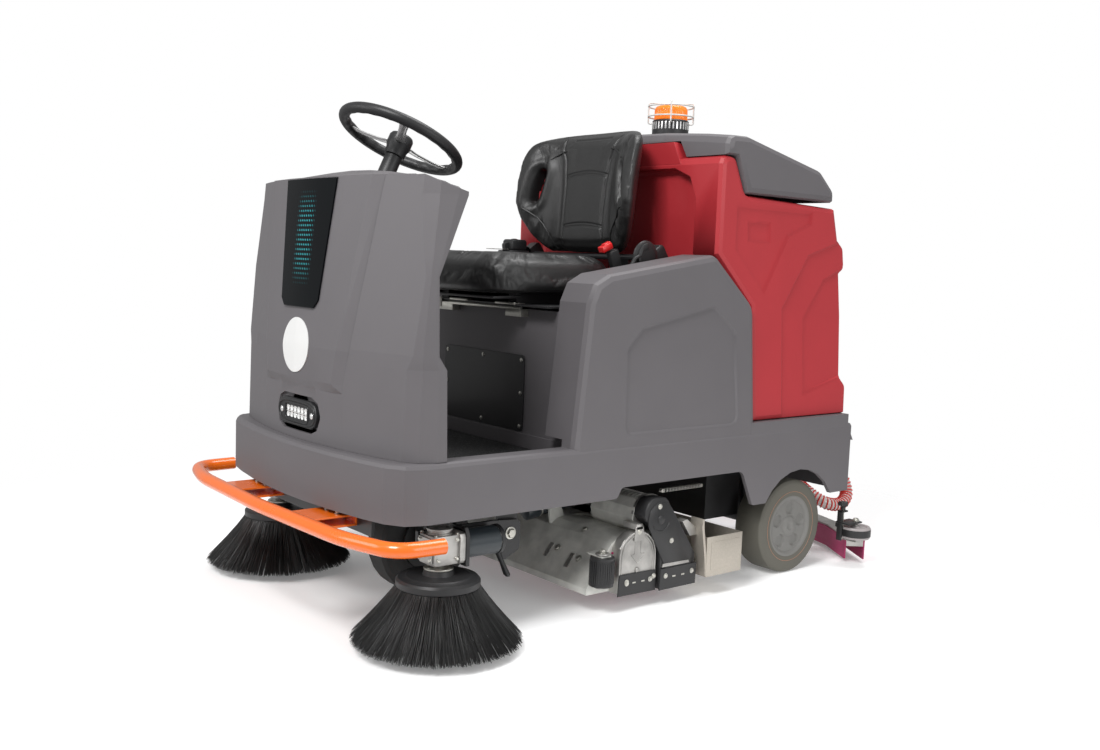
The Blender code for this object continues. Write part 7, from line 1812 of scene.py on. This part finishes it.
@dataclass
class Squeegee:
    """End rollers, their brackets and the star knobs."""

    body: str = "squeegee"
    roller_x: float = 0.532
    roller_y: float = 0.800
    radius: float = 0.050
    low: float = 0.093
    height: float = 0.040
    post_x: float = 0.508
    post_back: float = 0.044
    knob_radius: float = 0.017
    low_knob_radius: float = 0.015
    lobes: int = 5
    nut_radius: float = 0.0085

    def knob(self, shape: Shape, place: Point, radius: float) -> None:
        """A star knob on a short stem."""
        outline = []
        for turn in turns(60):
            reach = radius * (0.86 + 0.14 * math.cos(self.lobes * turn))
            outline.append((place[0] + reach * math.cos(turn), place[1] + reach * math.sin(turn)))
        shape.prism(Axis.Z, outline, place[2], place[2] + 0.014, 0.002)
        shape.disc(Axis.Z, (place[0], place[1], 0), radius * 0.45, place[2] - 0.012, place[2] + 0.001)

    def roller(self, side_name: str, x: float) -> None:
        """One guide roller with its rubber band."""
        body = body_of(f"end_roller_{side_name}")
        centre = (x, self.roller_y, 0)
        low, top, rim = self.low, self.low + self.height, self.radius
        Shape(f"roller_disc_{side_name}", ROLLER_PLASTIC, body).turn(Axis.Z, centre, [
            (0.012, low + 0.001), (rim - 0.004, low + 0.001), (rim - 0.001, low + 0.006),
            (rim - 0.001, top - 0.006), (rim - 0.004, top - 0.001), (rim - 0.012, top - 0.001),
            (rim - 0.015, top - 0.005), (0.016, top - 0.005), (0.014, top)],
            56).piece(replaces=(f"end_roller_{side_name}",))
        Shape(f"roller_band_{side_name}", BLACK_PLASTIC, body).turn(Axis.Z, centre, [
            (rim - 0.002, low + 0.007), (rim, low + 0.009), (rim, top - 0.009),
            (rim - 0.002, top - 0.007)], 56, capped=False).piece()

    def build(self) -> None:
        """Makes the small parts at both ends of the squeegee."""
        knobs = Shape("squeegee_knobs", BLACK_PLASTIC, self.body)
        stems = Shape("squeegee_stems", ZINC, self.body)
        nuts = []
        y, top = self.roller_y, self.low + self.height
        for side_name, side in SIDES:
            x, post_x, post_y = side * self.roller_x, side * self.post_x, y - self.post_back
            self.roller(side_name, x)
            knobs.box((min(x, post_x) - 0.014, post_y - 0.014, top + 0.010),
                      (max(x, post_x) + 0.014, y + 0.016, top + 0.015), 0.001)
            knobs.box((post_x - 0.010, post_y - 0.012, 0.086),
                      (post_x + 0.010, post_y - 0.006, top + 0.052), 0.001)
            knobs.box((post_x - 0.010, post_y - 0.012, top + 0.046),
                      (post_x + 0.010, post_y + 0.018, top + 0.052), 0.001)
            self.knob(knobs, (post_x, post_y + 0.004, top + 0.066), self.knob_radius)
            stems.disc(Axis.Z, (post_x, post_y + 0.004, 0), 0.0045, 0.088, top + 0.060, 0.0006, 16)
            self.knob(knobs, (side * 0.430, y + 0.056, 0.100), self.low_knob_radius)
            nuts += [((x, y, top + lift), UP) for lift in (0.015, 0.019)]
        knobs.piece(bevel=0.0008)
        stems.piece()
        fasteners("squeegee_nuts", self.body, nuts, self.nut_radius)


# Side brooms


@dataclass
class SideBroom(Sided):
    """A cup broom of loose bristles set in a round black block."""

    centre_x: float = 0.439
    centre_y: float = -0.780
    block_bottom: float = 0.158
    block_top: float = 0.184
    block_radius: float = 0.105
    tip_radius: float = 0.214
    tip_z: float = 0.030
    fibre: float = 0.00150
    fibre_size: float = 0.11
    # Each row's radius, its reach as a share and its count of fibres
    rows: tuple = ((0.101, 1.0, 1150), (0.095, 0.97, 950), (0.086, 0.92, 700), (0.075, 0.84, 500),
                   (0.060, 0.72, 300))
    seed: int = 11

    @property
    def body(self) -> str:
        """The body it spins with."""
        return f"broom_{self.side_name}"

    def fibre_pattern(self) -> bpy.types.Object:
        """One bent, tapering fibre: unit length down, unit reach outward.

        Returns:
            The pattern's object.
        """
        steps = 4
        loops = []
        for share in (step / steps for step in range(steps + 1)):
            out = share * (0.90 + 0.10 * share)
            down = share * (1.06 - 0.06 * share)
            thick = self.fibre * (1 - 0.45 * share) * 8
            loops.append([(out + thick * math.cos(angle) * 0.9, thick * math.sin(angle), -down)
                          for angle in (0.0, 2.1, 4.2)])
        return pattern_piece(self.shape("fibre", BRISTLE, self.body).loft(loops))

    def block(self, centre: Point) -> None:
        """The round block that holds the bristles."""
        low, high, rim = self.block_bottom, self.block_top, self.block_radius
        self.shape("broom_block", BLACK_PLASTIC, self.body).turn(Axis.Z, centre, [
            (0.02, low - 0.004), (rim - 0.006, low - 0.004), (rim, low + 0.002),
            (rim, high - 0.010), (rim - 0.005, high - 0.004), (rim - 0.022, high - 0.002),
            (rim - 0.026, high + 0.001), (0.040, high + 0.002), (0.036, high + 0.014),
            (0.028, high + 0.018)], 56).piece()

    def build(self) -> None:
        """Makes the block and its bristles."""
        centre = self.at(self.centre_x, self.centre_y, 0)
        self.block(centre)
        chance = random.Random(self.seed + self.side)
        drop = self.block_bottom - self.tip_z
        places = []
        for root, share, count in self.rows:
            reach = (self.tip_radius - self.block_radius) * share + (self.block_radius - root) * 0.3
            for index in range(count):
                angle = 2 * math.pi * (index + chance.uniform(-0.4, 0.4)) / count
                radius = root + chance.uniform(-0.003, 0.003)
                point = (centre[0] + radius * math.cos(angle),
                         centre[1] + radius * math.sin(angle), self.block_bottom)
                out = reach * chance.uniform(0.94, 1.03)
                down = drop * chance.uniform(0.99, 1.07)
                swing = chance.uniform(-0.05, 0.05)
                places.append((point, (0, 0, angle + swing), (out, self.fibre_size, down)))
        Repeats(f"broom_bristles_{self.side_name}", BRISTLE, self.body,
                self.fibre_pattern()).at(places, (f"side_broom_{self.side_name}",))


# Brush deck


@dataclass
class DeckEnd(Sided):
    """What shows at one end of the deck: the end door, the belt cover, skirts and guide roller.

    Attributes:
        door_y, door_z, door_radius: the middle and the radius of the door's arch.
        door_face, cover_face: how far out the door and the belt cover stand.
        cover_circles: the Y, Z and radius of the circles that the cover runs round.
        motor_x, motor_fins, fin_pitch: the motor's cooling rings behind the cover.
        roller_x, roller_y, roller_radius: the guide roller.
    """

    body: str = "deck"
    door_y: float = -0.1445
    door_z: float = 0.152
    door_radius: float = 0.071
    door_face: float = 0.4843
    cover_face: float = 0.4953
    cover_circles: tuple = ((-0.0715, 0.250, 0.062), (0.006, 0.122, 0.071))
    motor_x: float = 0.432
    motor_fins: int = 10
    fin_pitch: float = 0.016
    roller_y: float = -0.266
    roller_x: float = 0.472
    roller_radius: float = 0.034
    knurls: int = 34
    strap_face: float = 0.4885
    bolt: float = 0.0058

    def arch(self, inset: float, foot: float, steps: int = 28) -> list:
        """The door's outline, drawn in by an inset, from one foot over the top to the other."""
        reach = self.door_radius - inset
        outline = [(self.door_y - reach, foot)]
        for step in range(steps + 1):
            turn = math.pi * (1 - step / steps)
            outline.append((self.door_y + reach * math.cos(turn), self.door_z + reach * math.sin(turn)))
        return outline + [(self.door_y + reach, foot)]

    def taper(self, wide: float, low: float, narrow: float, high: float) -> list:
        """A YZ outline about the door's middle, as wide at the bottom and as narrow at the top."""
        return [(self.door_y - wide, low), (self.door_y + wide, low),
                (self.door_y + narrow, high), (self.door_y - narrow, high)]

    def door(self) -> None:
        """The double raised rim, the embossed arrow, the boss and the hanger strap."""
        shape = self.shape("door_rims", CAST_ALUMINIUM, self.body)
        x = self.side * self.door_face
        for inset, radius in ((0.0030, 0.0028), (0.0115, 0.0020)):
            shape.tube([(x, y, z) for y, z in self.arch(inset, 0.104)], radius, 8)
        arrow = ((-0.011, 0.196), (0.011, 0.196), (0.011, 0.158), (0.025, 0.158), (0.0, 0.130),
                 (-0.025, 0.158), (-0.011, 0.158))
        shape.tube([(x, self.door_y + y, z) for y, z in arrow], 0.0013, 6, closed=True)
        shape.disc(Axis.X, (0, self.door_y, 0.112), 0.008, *sorted((x, x + self.side * 0.003)),
                   0.0006, 24)
        self.slab(shape, self.taper(0.019, 0.196, 0.015, 0.236), 0.4850, self.strap_face, 0.0008)
        self.slab(shape, self.taper(0.013, 0.228, 0.012, 0.243), 0.430, self.strap_face, 0.0012)
        shape.piece(ROUND_ANGLE)
        self.fasten_out("door_bolts", self.body, [
            (self.strap_face, self.door_y + y, z)
            for y, z in ((0.0, 0.222), (-0.042, 0.084), (0.062, 0.087))], self.bolt)

    def cover(self) -> None:
        """The belt cover's raised plate, its arc and two bolts, and the motor's rim behind it."""
        plate = self.shape("cover_plate", BLACK_PLASTIC, self.body)
        (top_y, top_z, top_r), (low_y, low_z, low_r) = self.cover_circles
        face = self.cover_face + 0.0036
        self.slab(plate, hull(((top_y, top_z, top_r - 0.012), (low_y, low_z + 0.008, low_r - 0.014))),
                  self.cover_face - 0.001, self.cover_face + 0.0035, 0.0015)
        arc = (math.radians(210 + 130 * step / 14) for step in range(15))
        plate.tube([self.at(face, top_y + 0.034 * math.cos(turn), top_z + 0.034 * math.sin(turn))
                    for turn in arc], 0.0022, 8)
        plate.disc(Axis.X, (0, top_y, top_z), 0.013, *self.span(self.cover_face, self.cover_face + 0.006),
                   0.001, 28)
        plate.piece(ROUND_ANGLE)
        self.fasten_out("cover_bolts", self.body, [(face, top_y - 0.008, top_z + 0.038),
                                                   (face, top_y + 0.044, top_z - 0.066)], self.bolt)
        motor = self.shape("motor_rim", CAST_ALUMINIUM, self.body)
        for index in range(self.motor_fins):
            outer = self.motor_x - index * self.fin_pitch
            motor.disc(Axis.X, (0, top_y, top_z), 0.0605, *self.span(outer, outer - 0.004), 0.0006, 56)
        motor.disc(Axis.X, (0, top_y, top_z), 0.0645, *self.span(0.437, 0.4495), 0.0015, 56)
        motor.piece()

    def skirts(self) -> None:
        """The worn rubber skirts under the door and the cover, with bolts, slots and a band."""
        rubber = self.shape("deck_skirts", BLACK_PLASTIC, self.body)
        door, cover = self.door_face + 0.0045, self.cover_face + 0.005
        self.slab(rubber, [(-0.218, 0.046), (-0.073, 0.044), (-0.073, 0.104), (-0.214, 0.107)],
                  self.door_face + 0.0004, door, 0.0010)
        self.slab(rubber, [(-0.069, 0.044), (0.078, 0.044), (0.080, 0.106), (-0.066, 0.106)],
                  self.cover_face + 0.0004, cover, 0.0010)
        rubber.piece()
        self.fasten_out("skirt_bolts", self.body, [(cover, y, 0.084) for y in (-0.046, 0.060)]
                        + [(door, y, 0.080) for y in (-0.186, -0.096)], 0.0056)
        slots = self.shape("skirt_slots", ZINC, self.body)
        for face, places in ((door, (-0.158, -0.124)), (cover, (-0.012, 0.024))):
            for y in places:
                self.slab(slots, [(y - 0.006, 0.077), (y + 0.006, 0.077), (y + 0.006, 0.081),
                                  (y - 0.006, 0.081)], face - 0.001, face + 0.0006)
        slots.piece()
        bracket = self.shape("deck_bracket", CAST_ALUMINIUM, self.body)
        self.slab(bracket, [(-0.060, 0.110), (0.050, 0.110), (0.046, 0.118), (-0.056, 0.120)],
                  self.cover_face + 0.0002, self.cover_face + 0.0042, 0.0006)
        self.slab(bracket, [(0.020, 0.232), (0.040, 0.236), (0.088, 0.200), (0.088, 0.186),
                            (0.052, 0.186)], 0.462, 0.494, 0.0015)
        bracket.piece()

    def roller(self) -> None:
        """The guide roller's knurled tread, and the nuts on its bracket."""
        body = body_of(f"deck_roller_{self.side_name}")
        x, y = self.side * self.roller_x, self.roller_y
        tooth = self.shape("knurl", BLACK_PLASTIC, body)
        tooth.box((-0.0016, -0.0022, -0.031), (0.0016, 0.0022, 0.031), 0.0006)
        Repeats(f"roller_knurl_{self.side_name}", BLACK_PLASTIC, body, pattern_piece(tooth)).at(
            ring((x, y, 0.124), self.roller_radius * 0.985, self.knurls))
        cage = self.shape("roller_cage", CAST_ALUMINIUM, self.body)
        for low in (0.1690, 0.0765):
            cage.turn(Axis.Z, (x, y, 0), [(0.0180, low), (0.0200, low + 0.002),
                                          (0.0190, low + 0.0055), (0.008, low + 0.006)], 36)
        cage.piece()
        self.fasten("roller_nuts", self.body, [((self.roller_x, y, z), UP) for z in (0.1750, 0.1790)],
                    0.0080)

    def clamp(self) -> None:
        """The toggle clamp with its red handle, sprung rod and steel hook."""
        at = self.at
        steel = self.shape("clamp_steel", ZINC, self.body)
        steel.tube([at(0.236, -0.104, 0.222), at(0.392, -0.104, 0.240)], 0.0042, 12)
        coils, per_turn, coil = 15, 12, []
        for step in range(coils * per_turn):
            share, turn = step / (coils * per_turn), 2 * math.pi * step / per_turn
            coil.append(at(0.262 + 0.094 * share, -0.104 + 0.0074 * math.cos(turn),
                           0.225 + 0.011 * share + 0.0074 * math.sin(turn)))
        steel.tube(coil, 0.0012, 5)
        steel.tube(bent([at(0.180, -0.128, 0.206), at(0.214, -0.106, 0.214), at(0.404, -0.106, 0.210),
                         at(0.428, -0.122, 0.214)], 0.02), 0.0062, 12)
        near, far = self.span(0.372, 0.414)
        steel.box((near, -0.124, 0.204), (far, -0.084, 0.209), 0.0006)
        for y in (-0.121, -0.087):
            steel.box((near, y - 0.0015, 0.208), (far, y + 0.0015, 0.250), 0.0006)
        steel.piece(bevel=0.0006)
        handle = [at(0.388, -0.104, 0.238), at(0.394, -0.104, 0.262), at(0.405, -0.104, 0.290)]
        self.shape("clamp_handle", RED_CATCH, self.body).tube(bent(handle, 0.01), 0.0078, 14).piece(
            bevel=0.001)
        self.fasten("clamp_pins", self.body, [((0.384, -0.1226, 0.240), FORWARD),
                                              ((0.402, -0.1226, 0.222), FORWARD)], 0.0044)

    def build(self) -> None:
        """Makes this end of the deck."""
        self.door()
        self.cover()
        self.skirts()
        self.roller()
        self.clamp()


@dataclass
class DeckTop:
    """The lift actuator, wedge lugs and bolts on the hood, the chain, the brushes and the tray's end."""

    body: str = "deck"
    # Each lug's X and Z on the hood's front slope
    lug_places: tuple = ((0.232, 0.128), (0.332, 0.120), (-0.232, 0.128), (-0.332, 0.120))
    ridge_bolts: tuple = (0.316, 0.0, -0.316)
    actuator_x: float = 0.150
    # The actuator's fork: the Y, Z and radius of its two eyes
    fork: tuple = ((-0.030, 0.246, 0.011), (0.012, 0.222, 0.009))
    chain_start: Point = (0.350, 0.078, 0.291)
    chain_pitch: float = 0.0130
    chain_links: int = 13
    brush_places: tuple = (("brush_front", -0.156), ("brush_rear", 0.006))
    brush_z: float = 0.122
    brush_half: float = 0.455
    tuft_columns: int = 66
    tuft_rows: int = 13

    def hood(self) -> None:
        """Wedge lugs on the hood's front slope, and bolts along it."""
        probe = Probe("deck_housing")
        lugs = Shape("hood_lugs", CAST_ALUMINIUM, self.body)
        bolts = []
        for x, z in self.lug_places:
            y = probe.cast((x, -0.6, z), REARWARD).y
            lugs.prism(Axis.X, [(y - 0.016, z - 0.016), (y + 0.006, z - 0.016), (y + 0.020, z + 0.018),
                                (y + 0.012, z + 0.020)], x - 0.008, x + 0.008, 0.0012)
            side_y = probe.cast((x + 0.030, -0.6, z + 0.012), REARWARD).y
            bolts.append(((x + 0.030, side_y, z + 0.012), (0, -0.75, 0.66)))
        lugs.piece()
        bolts += [(tuple(probe.cast((x, -0.196, 0.6), DOWN)), (0, -0.4, 0.9))
                  for x in self.ridge_bolts]
        fasteners("hood_bolts", self.body, bolts, 0.0078)

    def actuator(self) -> None:
        """The dark lift tube over the hood with its steel rod and two forked links."""
        x = self.actuator_x
        case = Shape("lift_actuator", MOTOR_BLUE, self.body)
        case.tube([(x, -0.250, 0.226), (x, -0.095, 0.240)], 0.0155, 24)
        case.tube([(x, -0.286, 0.222), (x, -0.244, 0.226)], 0.0205, 24)
        case.piece(bevel=0.0015)
        rod = Shape("lift_rod", ZINC, self.body)
        rod.tube([(x, -0.096, 0.240), (x, -0.030, 0.246)], 0.0072, 16)
        for low, high in ((x - 0.011, x - 0.006), (x + 0.006, x + 0.011)):
            rod.prism(Axis.X, hull(self.fork), low, high, 0.0006)
        for y, z, _ in self.fork:
            rod.disc(Axis.X, (0, y, z), 0.0050, x - 0.016, x + 0.016, 0.0008, 20)
        for y, z in ((-0.236, 0.2265), (-0.110, 0.2385)):
            rod.tube([(x, y, z), (x, y + 0.006, z + 0.0005)], 0.0168, 24)
        rod.piece(bevel=0.0006)

    def chain(self) -> None:
        """The leaf chain that lifts the deck's rear."""
        link = Shape("chain_link", ZINC, self.body)
        plate = hull(((-0.0065, 0, 0.0052), (0.0065, 0, 0.0052)), 16)
        link.prism(Axis.X, plate, -0.006, -0.0036).prism(Axis.X, plate, 0.0036, 0.006)
        link.disc(Axis.X, ORIGIN, 0.0030, -0.0072, 0.0072, 0.0004, 12)
        x, y, z = self.chain_start
        Repeats("lift_chain", ZINC, self.body, pattern_piece(link)).at(
            [((x, y + self.chain_pitch * step, z), ORIGIN, (1, 1, 1))
             for step in range(self.chain_links)])

    def tray_end(self) -> None:
        """The tray's folded front end with its bent grip."""
        fold = Shape("tray_grip", TRAY_STEEL, "tray")
        fold.prism(Axis.X, [(0.0995, 0.066), (0.0975, 0.066), (0.0920, 0.120), (0.0760, 0.214),
                            (0.0800, 0.236), (0.0850, 0.236), (0.0850, 0.214), (0.0995, 0.130)],
                   0.470, 0.5195, 0.0004)
        fold.prism(Axis.X, [(0.118, 0.080), (0.236, 0.080), (0.236, 0.164), (0.118, 0.164)],
                   0.5196, 0.5212, 0.0008)
        fold.piece(bevel=0.0004)

    def brushes(self) -> None:
        """Both brush rollers: cores wound with rows of magenta tufts."""
        for node, y in self.brush_places:
            body = body_of(node)
            core = Shape(node + "_core", MAGENTA_RUBBER, body)
            core.turn(Axis.X, (0, y, self.brush_z), [(0.014, -0.4690), (0.040, -0.4680),
                                                     (0.040, 0.4680), (0.014, 0.4690)], 32)
            core.piece()
            tuft = Shape(node + "_tuft", MAGENTA_RUBBER, body)
            tuft.turn(Axis.Z, ORIGIN, [(0.0026, 0.0), (0.0040, 0.030), (0.0044, 0.0345)], 6)
            places = []
            for column in range(self.tuft_columns):
                x = -self.brush_half + 2 * self.brush_half * column / (self.tuft_columns - 1)
                for row in range(self.tuft_rows):
                    turn = 2 * math.pi * row / self.tuft_rows + abs(x) * 5.0 + (column % 2) * 0.24
                    out = Vector((0, math.cos(turn), math.sin(turn)))
                    places.append((tuple(Vector((x, y, self.brush_z)) + out * 0.038), facing(out),
                                   (1, 1, 1)))
            Repeats(node + "_tufts", MAGENTA_RUBBER, body, pattern_piece(tuft), 0.04).at(places, (node,))

    def build(self) -> None:
        """Makes what the deck carries on top."""
        self.hood()
        self.actuator()
        self.chain()
        self.tray_end()
        self.brushes()


# Broom drives


@dataclass
class BroomDrive(Sided):
    """The small parts of one broom's gearbox, motor and arm."""

    x: float = 0.4393
    y: float = -0.780
    top: float = 0.288
    half: float = 0.038
    axis_z: float = 0.252
    arm_face: float = 0.4012
    screw_circle: float = 0.0280

    def gearbox(self, body: str) -> None:
        """The boss rings and the flanges on the gearbox, with their screws."""
        x, y, top = self.x, self.y, self.top
        cast = self.shape("gearbox_rings", CAST_ALUMINIUM, body)
        cast.turn(Axis.Z, self.at(x, y, 0), [
            (0.0325, top), (0.0325, top + 0.004), (0.0300, top + 0.006), (0.0300, top + 0.010),
            (0.0335, top + 0.0115), (0.0335, top + 0.0150), (0.0290, top + 0.0165),
            (0.0220, top + 0.0165), (0.0200, top + 0.0140), (0.0090, top + 0.0140)], 48)
        front = y - self.half - 0.0035
        for face in (y + self.half + 0.001, front):
            near, far = self.span(x - 0.030, x + 0.030)
            cast.box((near, face, 0.222), (far, face + 0.0025, 0.282), 0.001)
        cast.piece(RIM_ANGLE)
        screws = [((x + 0.0380, y + dy, z), OUTWARD) for dy in (-0.027, 0.027) for z in (0.229, 0.276)]
        screws += [((x + dx, front, z), FORWARD) for dx in (-0.023, 0.023) for z in (0.229, 0.275)]
        screws += [((x + dx, y + dy, top), UP) for dx in (-0.031, 0.031) for dy in (-0.031, 0.031)]
        self.fasten("gearbox_screws", body, screws, 0.0040, Head.SOCKET)

    def motor(self, body: str) -> None:
        """The clamp plate, the motor's sleeve and its end cap."""
        x, middle = self.x, self.at(self.x, 0, self.axis_z)
        black = self.shape("broom_clamp", BLACK_STEEL, body)
        outline = [(x - 0.0375, 0.206), (x + 0.0435, 0.206), (x + 0.0435, 0.284),
                   (x + 0.0340, 0.302), (x - 0.0375, 0.302)]
        black.prism(Axis.Y, [(z, self.side * out) for out, z in outline], -0.7290, -0.7180, 0.001)
        black.disc(Axis.Y, middle, 0.0378, -0.6130, -0.6000, 0.002, 48).piece()
        self.shape("broom_motor_sleeve", MOTOR_BLUE, body).disc(
            Axis.Y, middle, 0.0366, -0.7178, -0.6135, 0.0012, 48).piece()

    def arm(self, body: str) -> None:
        """The pivot's bolt, the clamp's bolt and its tapered lever."""
        self.fasten_out("broom_pivot", body, [(self.arm_face, -0.532, 0.249)], 0.0125)
        self.fasten_out("broom_clamp_bolt", body, [(self.arm_face, -0.585, 0.222)], 0.0075)
        loops = []
        for share, radius in ((0.0, 0.0060), (0.06, 0.0085), (0.5, 0.0072), (0.92, 0.0095), (1.0, 0.0060)):
            middle = Vector(self.at(0.414 + 0.012 * share, -0.585 + 0.030 * share, 0.216 - 0.074 * share))
            loops.append([middle + Vector((radius * math.cos(turn), radius * math.sin(turn), 0))
                          for turn in turns(16)])
        self.shape("broom_lever", BLACK_PLASTIC, body).loft(loops).piece()

    def shaft(self) -> None:
        """The zinc shaft with its round screwed plate on the broom's block."""
        body = f"broom_{self.side_name}"
        x, y = self.x - 0.0003, self.y
        self.shape("broom_shaft", ZINC, body).turn(Axis.Z, self.at(x, y, 0), [
            (0.0360, 0.1990), (0.0370, 0.2000), (0.0370, 0.2030), (0.0360, 0.2040),
            (0.0160, 0.2045), (0.0125, 0.2075), (0.0125, 0.2150)], 48).piece()
        centre = self.at(x, y, 0.2040)
        fasteners(f"broom_shaft_screws_{self.side_name}", body, [
            ((centre[0] + self.screw_circle * math.cos(turn), y + self.screw_circle * math.sin(turn),
              centre[2]), UP) for turn in turns(6, 0.5)], 0.0036, Head.PAN)

    def build(self) -> None:
        """Makes the boss rings, flanges, motor sleeve, lever, pivot and shaft plate."""
        body = f"broom_carrier_{self.side_name}"
        self.gearbox(body)
        self.motor(body)
        self.arm(body)
        self.shaft()


# Body fittings


@dataclass
class Fittings:
    """Screws round the access panel."""

    panel_y: float = -0.3484
    panel_x: float = 0.186
    panel_rows: tuple = (0.490, 0.585, 0.680)

    def build(self) -> None:
        """Makes the fasteners."""
        places = [(side * self.panel_x, z) for _, side in SIDES for z in self.panel_rows]
        places += [(0.0, z) for z in (self.panel_rows[0], self.panel_rows[-1])]
        fasteners("access_panel_screws", "base", [((x, self.panel_y, z), FORWARD) for x, z in places],
                  0.0046, Head.PAN)


# Studio


@dataclass
class Studio:
    """Camera, soft lamps and a plain pale floor.

    Attributes:
        azimuth, pitch, roll: the camera's turn.
        place: where the camera stands.
        focal_pixels, frame_width, sensor: its lens, in the photograph's pixels.
        sky_strength: how strongly the surroundings light the machine.
        floor_reach: half the floor's width.
        lamps: each lamp's name, place, aim, size and power.
    """

    azimuth: float = math.radians(50.7064)
    pitch: float = math.radians(5.8624)
    roll: float = math.radians(2.1824)
    place: Point = (2.6899, -2.2905, 0.9656)
    focal_pixels: float = 1120.5655
    frame_width: int = 1100
    sensor: float = 36.0
    sky_strength: float = 0.42
    floor_reach: float = 14.0
    lamps: tuple = (("key", (1.6, -3.6, 4.2), (0, -0.2, 0.6), 1.5, 190),
                    ("front", (-1.6, -4.4, 2.2), (0, -0.5, 0.6), 2.0, 40),
                    ("side", (4.2, 0.4, 1.6), (0, 0.2, 0.6), 2.2, 45),
                    ("top", (0.4, 0.9, 4.4), (0, 0.1, 0.8), 2.0, 95))

    def camera(self) -> None:
        """Places the camera at the photograph's viewing angle."""
        back = Vector((math.sin(self.azimuth) * math.cos(self.pitch),
                       -math.cos(self.azimuth) * math.cos(self.pitch), math.sin(self.pitch)))
        right = (-back).cross(Vector((0, 0, 1))).normalized()
        up = right.cross(-back)
        turned = right * math.cos(self.roll) + up * math.sin(self.roll)
        above = -right * math.sin(self.roll) + up * math.cos(self.roll)
        lens = bpy.data.cameras.new("camera")
        lens.sensor_width = self.sensor
        lens.lens = self.focal_pixels / self.frame_width * self.sensor
        camera = bpy.data.objects.new("camera", lens)
        matrix = Matrix((turned, above, back)).transposed().to_4x4()
        matrix.translation = Vector(self.place)
        camera.matrix_world = matrix
        bpy.context.scene.collection.objects.link(camera)
        bpy.context.scene.camera = camera

    def lamp(self, name: str, place: Point, aim: Point, size: float, power: float) -> None:
        """Adds one soft square lamp."""
        light = bpy.data.lights.new(name, "AREA")
        light.size = size
        light.energy = power
        made = bpy.data.objects.new(name, light)
        made.location = place
        made.rotation_euler = (Vector(aim) - Vector(place)).to_track_quat("-Z", "Y").to_euler()
        bpy.context.scene.collection.objects.link(made)

    def world(self) -> None:
        """Lights the scene evenly and shows white behind it."""
        world = bpy.data.worlds.new("studio")
        world.use_nodes = True
        bpy.context.scene.world = world
        graph = Graph(world.node_tree)
        path = graph.node("ShaderNodeLightPath").outputs
        seen = Signal(graph, path["Is Camera Ray"]).most(Signal(graph, path["Is Transmission Ray"]))
        sky, white = (graph.node("ShaderNodeBackground", {}, {"Color": (1, 1, 1), "Strength": strength})
                      for strength in (self.sky_strength, 1.0))
        mix = graph.node("ShaderNodeMixShader", {}, {0: seen, 1: sky.outputs[0], 2: white.outputs[0]})
        graph.node("ShaderNodeOutputWorld", {}, {0: mix.outputs[0]})

    def floor(self) -> None:
        """Lays a pale floor that keeps the machine's shadow."""
        mesh = bpy.data.meshes.new("floor")
        corners = ((-1, -1), (1, -1), (1, 1), (-1, 1))
        mesh.from_pydata([(x * self.floor_reach, y * self.floor_reach, 0) for x, y in corners], [],
                         [(0, 1, 2, 3)])
        floor = bpy.data.objects.new("floor", mesh)
        bpy.context.scene.collection.objects.link(floor)
        shader = Shader("floor")
        x, y, _ = shader.axes()
        away = (x * x + y * y) ** 0.5
        mesh.materials.append(shader.finish({
            "Base Color": (0.93, 0.93, 0.93), "Roughness": 0.9, "Specular IOR Level": 0.0,
            "Emission Color": (1, 1, 1), "Emission Strength": 0.16,
            "Alpha": 1 - away.ramp(0.9, 2.4)}))

    def build(self) -> None:
        """Sets up the whole studio."""
        bpy.context.scene.view_settings.view_transform = "Standard"
        self.camera()
        self.world()
        self.floor()
        for lamp in self.lamps:
            self.lamp(*lamp)


def main() -> None:
    """Builds the studio and every class of pieces, and notes the sizes."""
    logging.basicConfig(level=logging.INFO, format="%(message)s")
    for kind in (Studio, Skins, Seat, SteeringWheel, Front, Fittings, Beacon, Bumper, Hose, Squeegee):
        kind().build()
    for side_name, side in SIDES:
        for kind in (RearWheel, SideBroom, BroomDrive, DeckEnd):
            kind(side_name, side).build()
    DeckTop().build()
    clear_patterns()


if __name__ == "__main__":
    main()
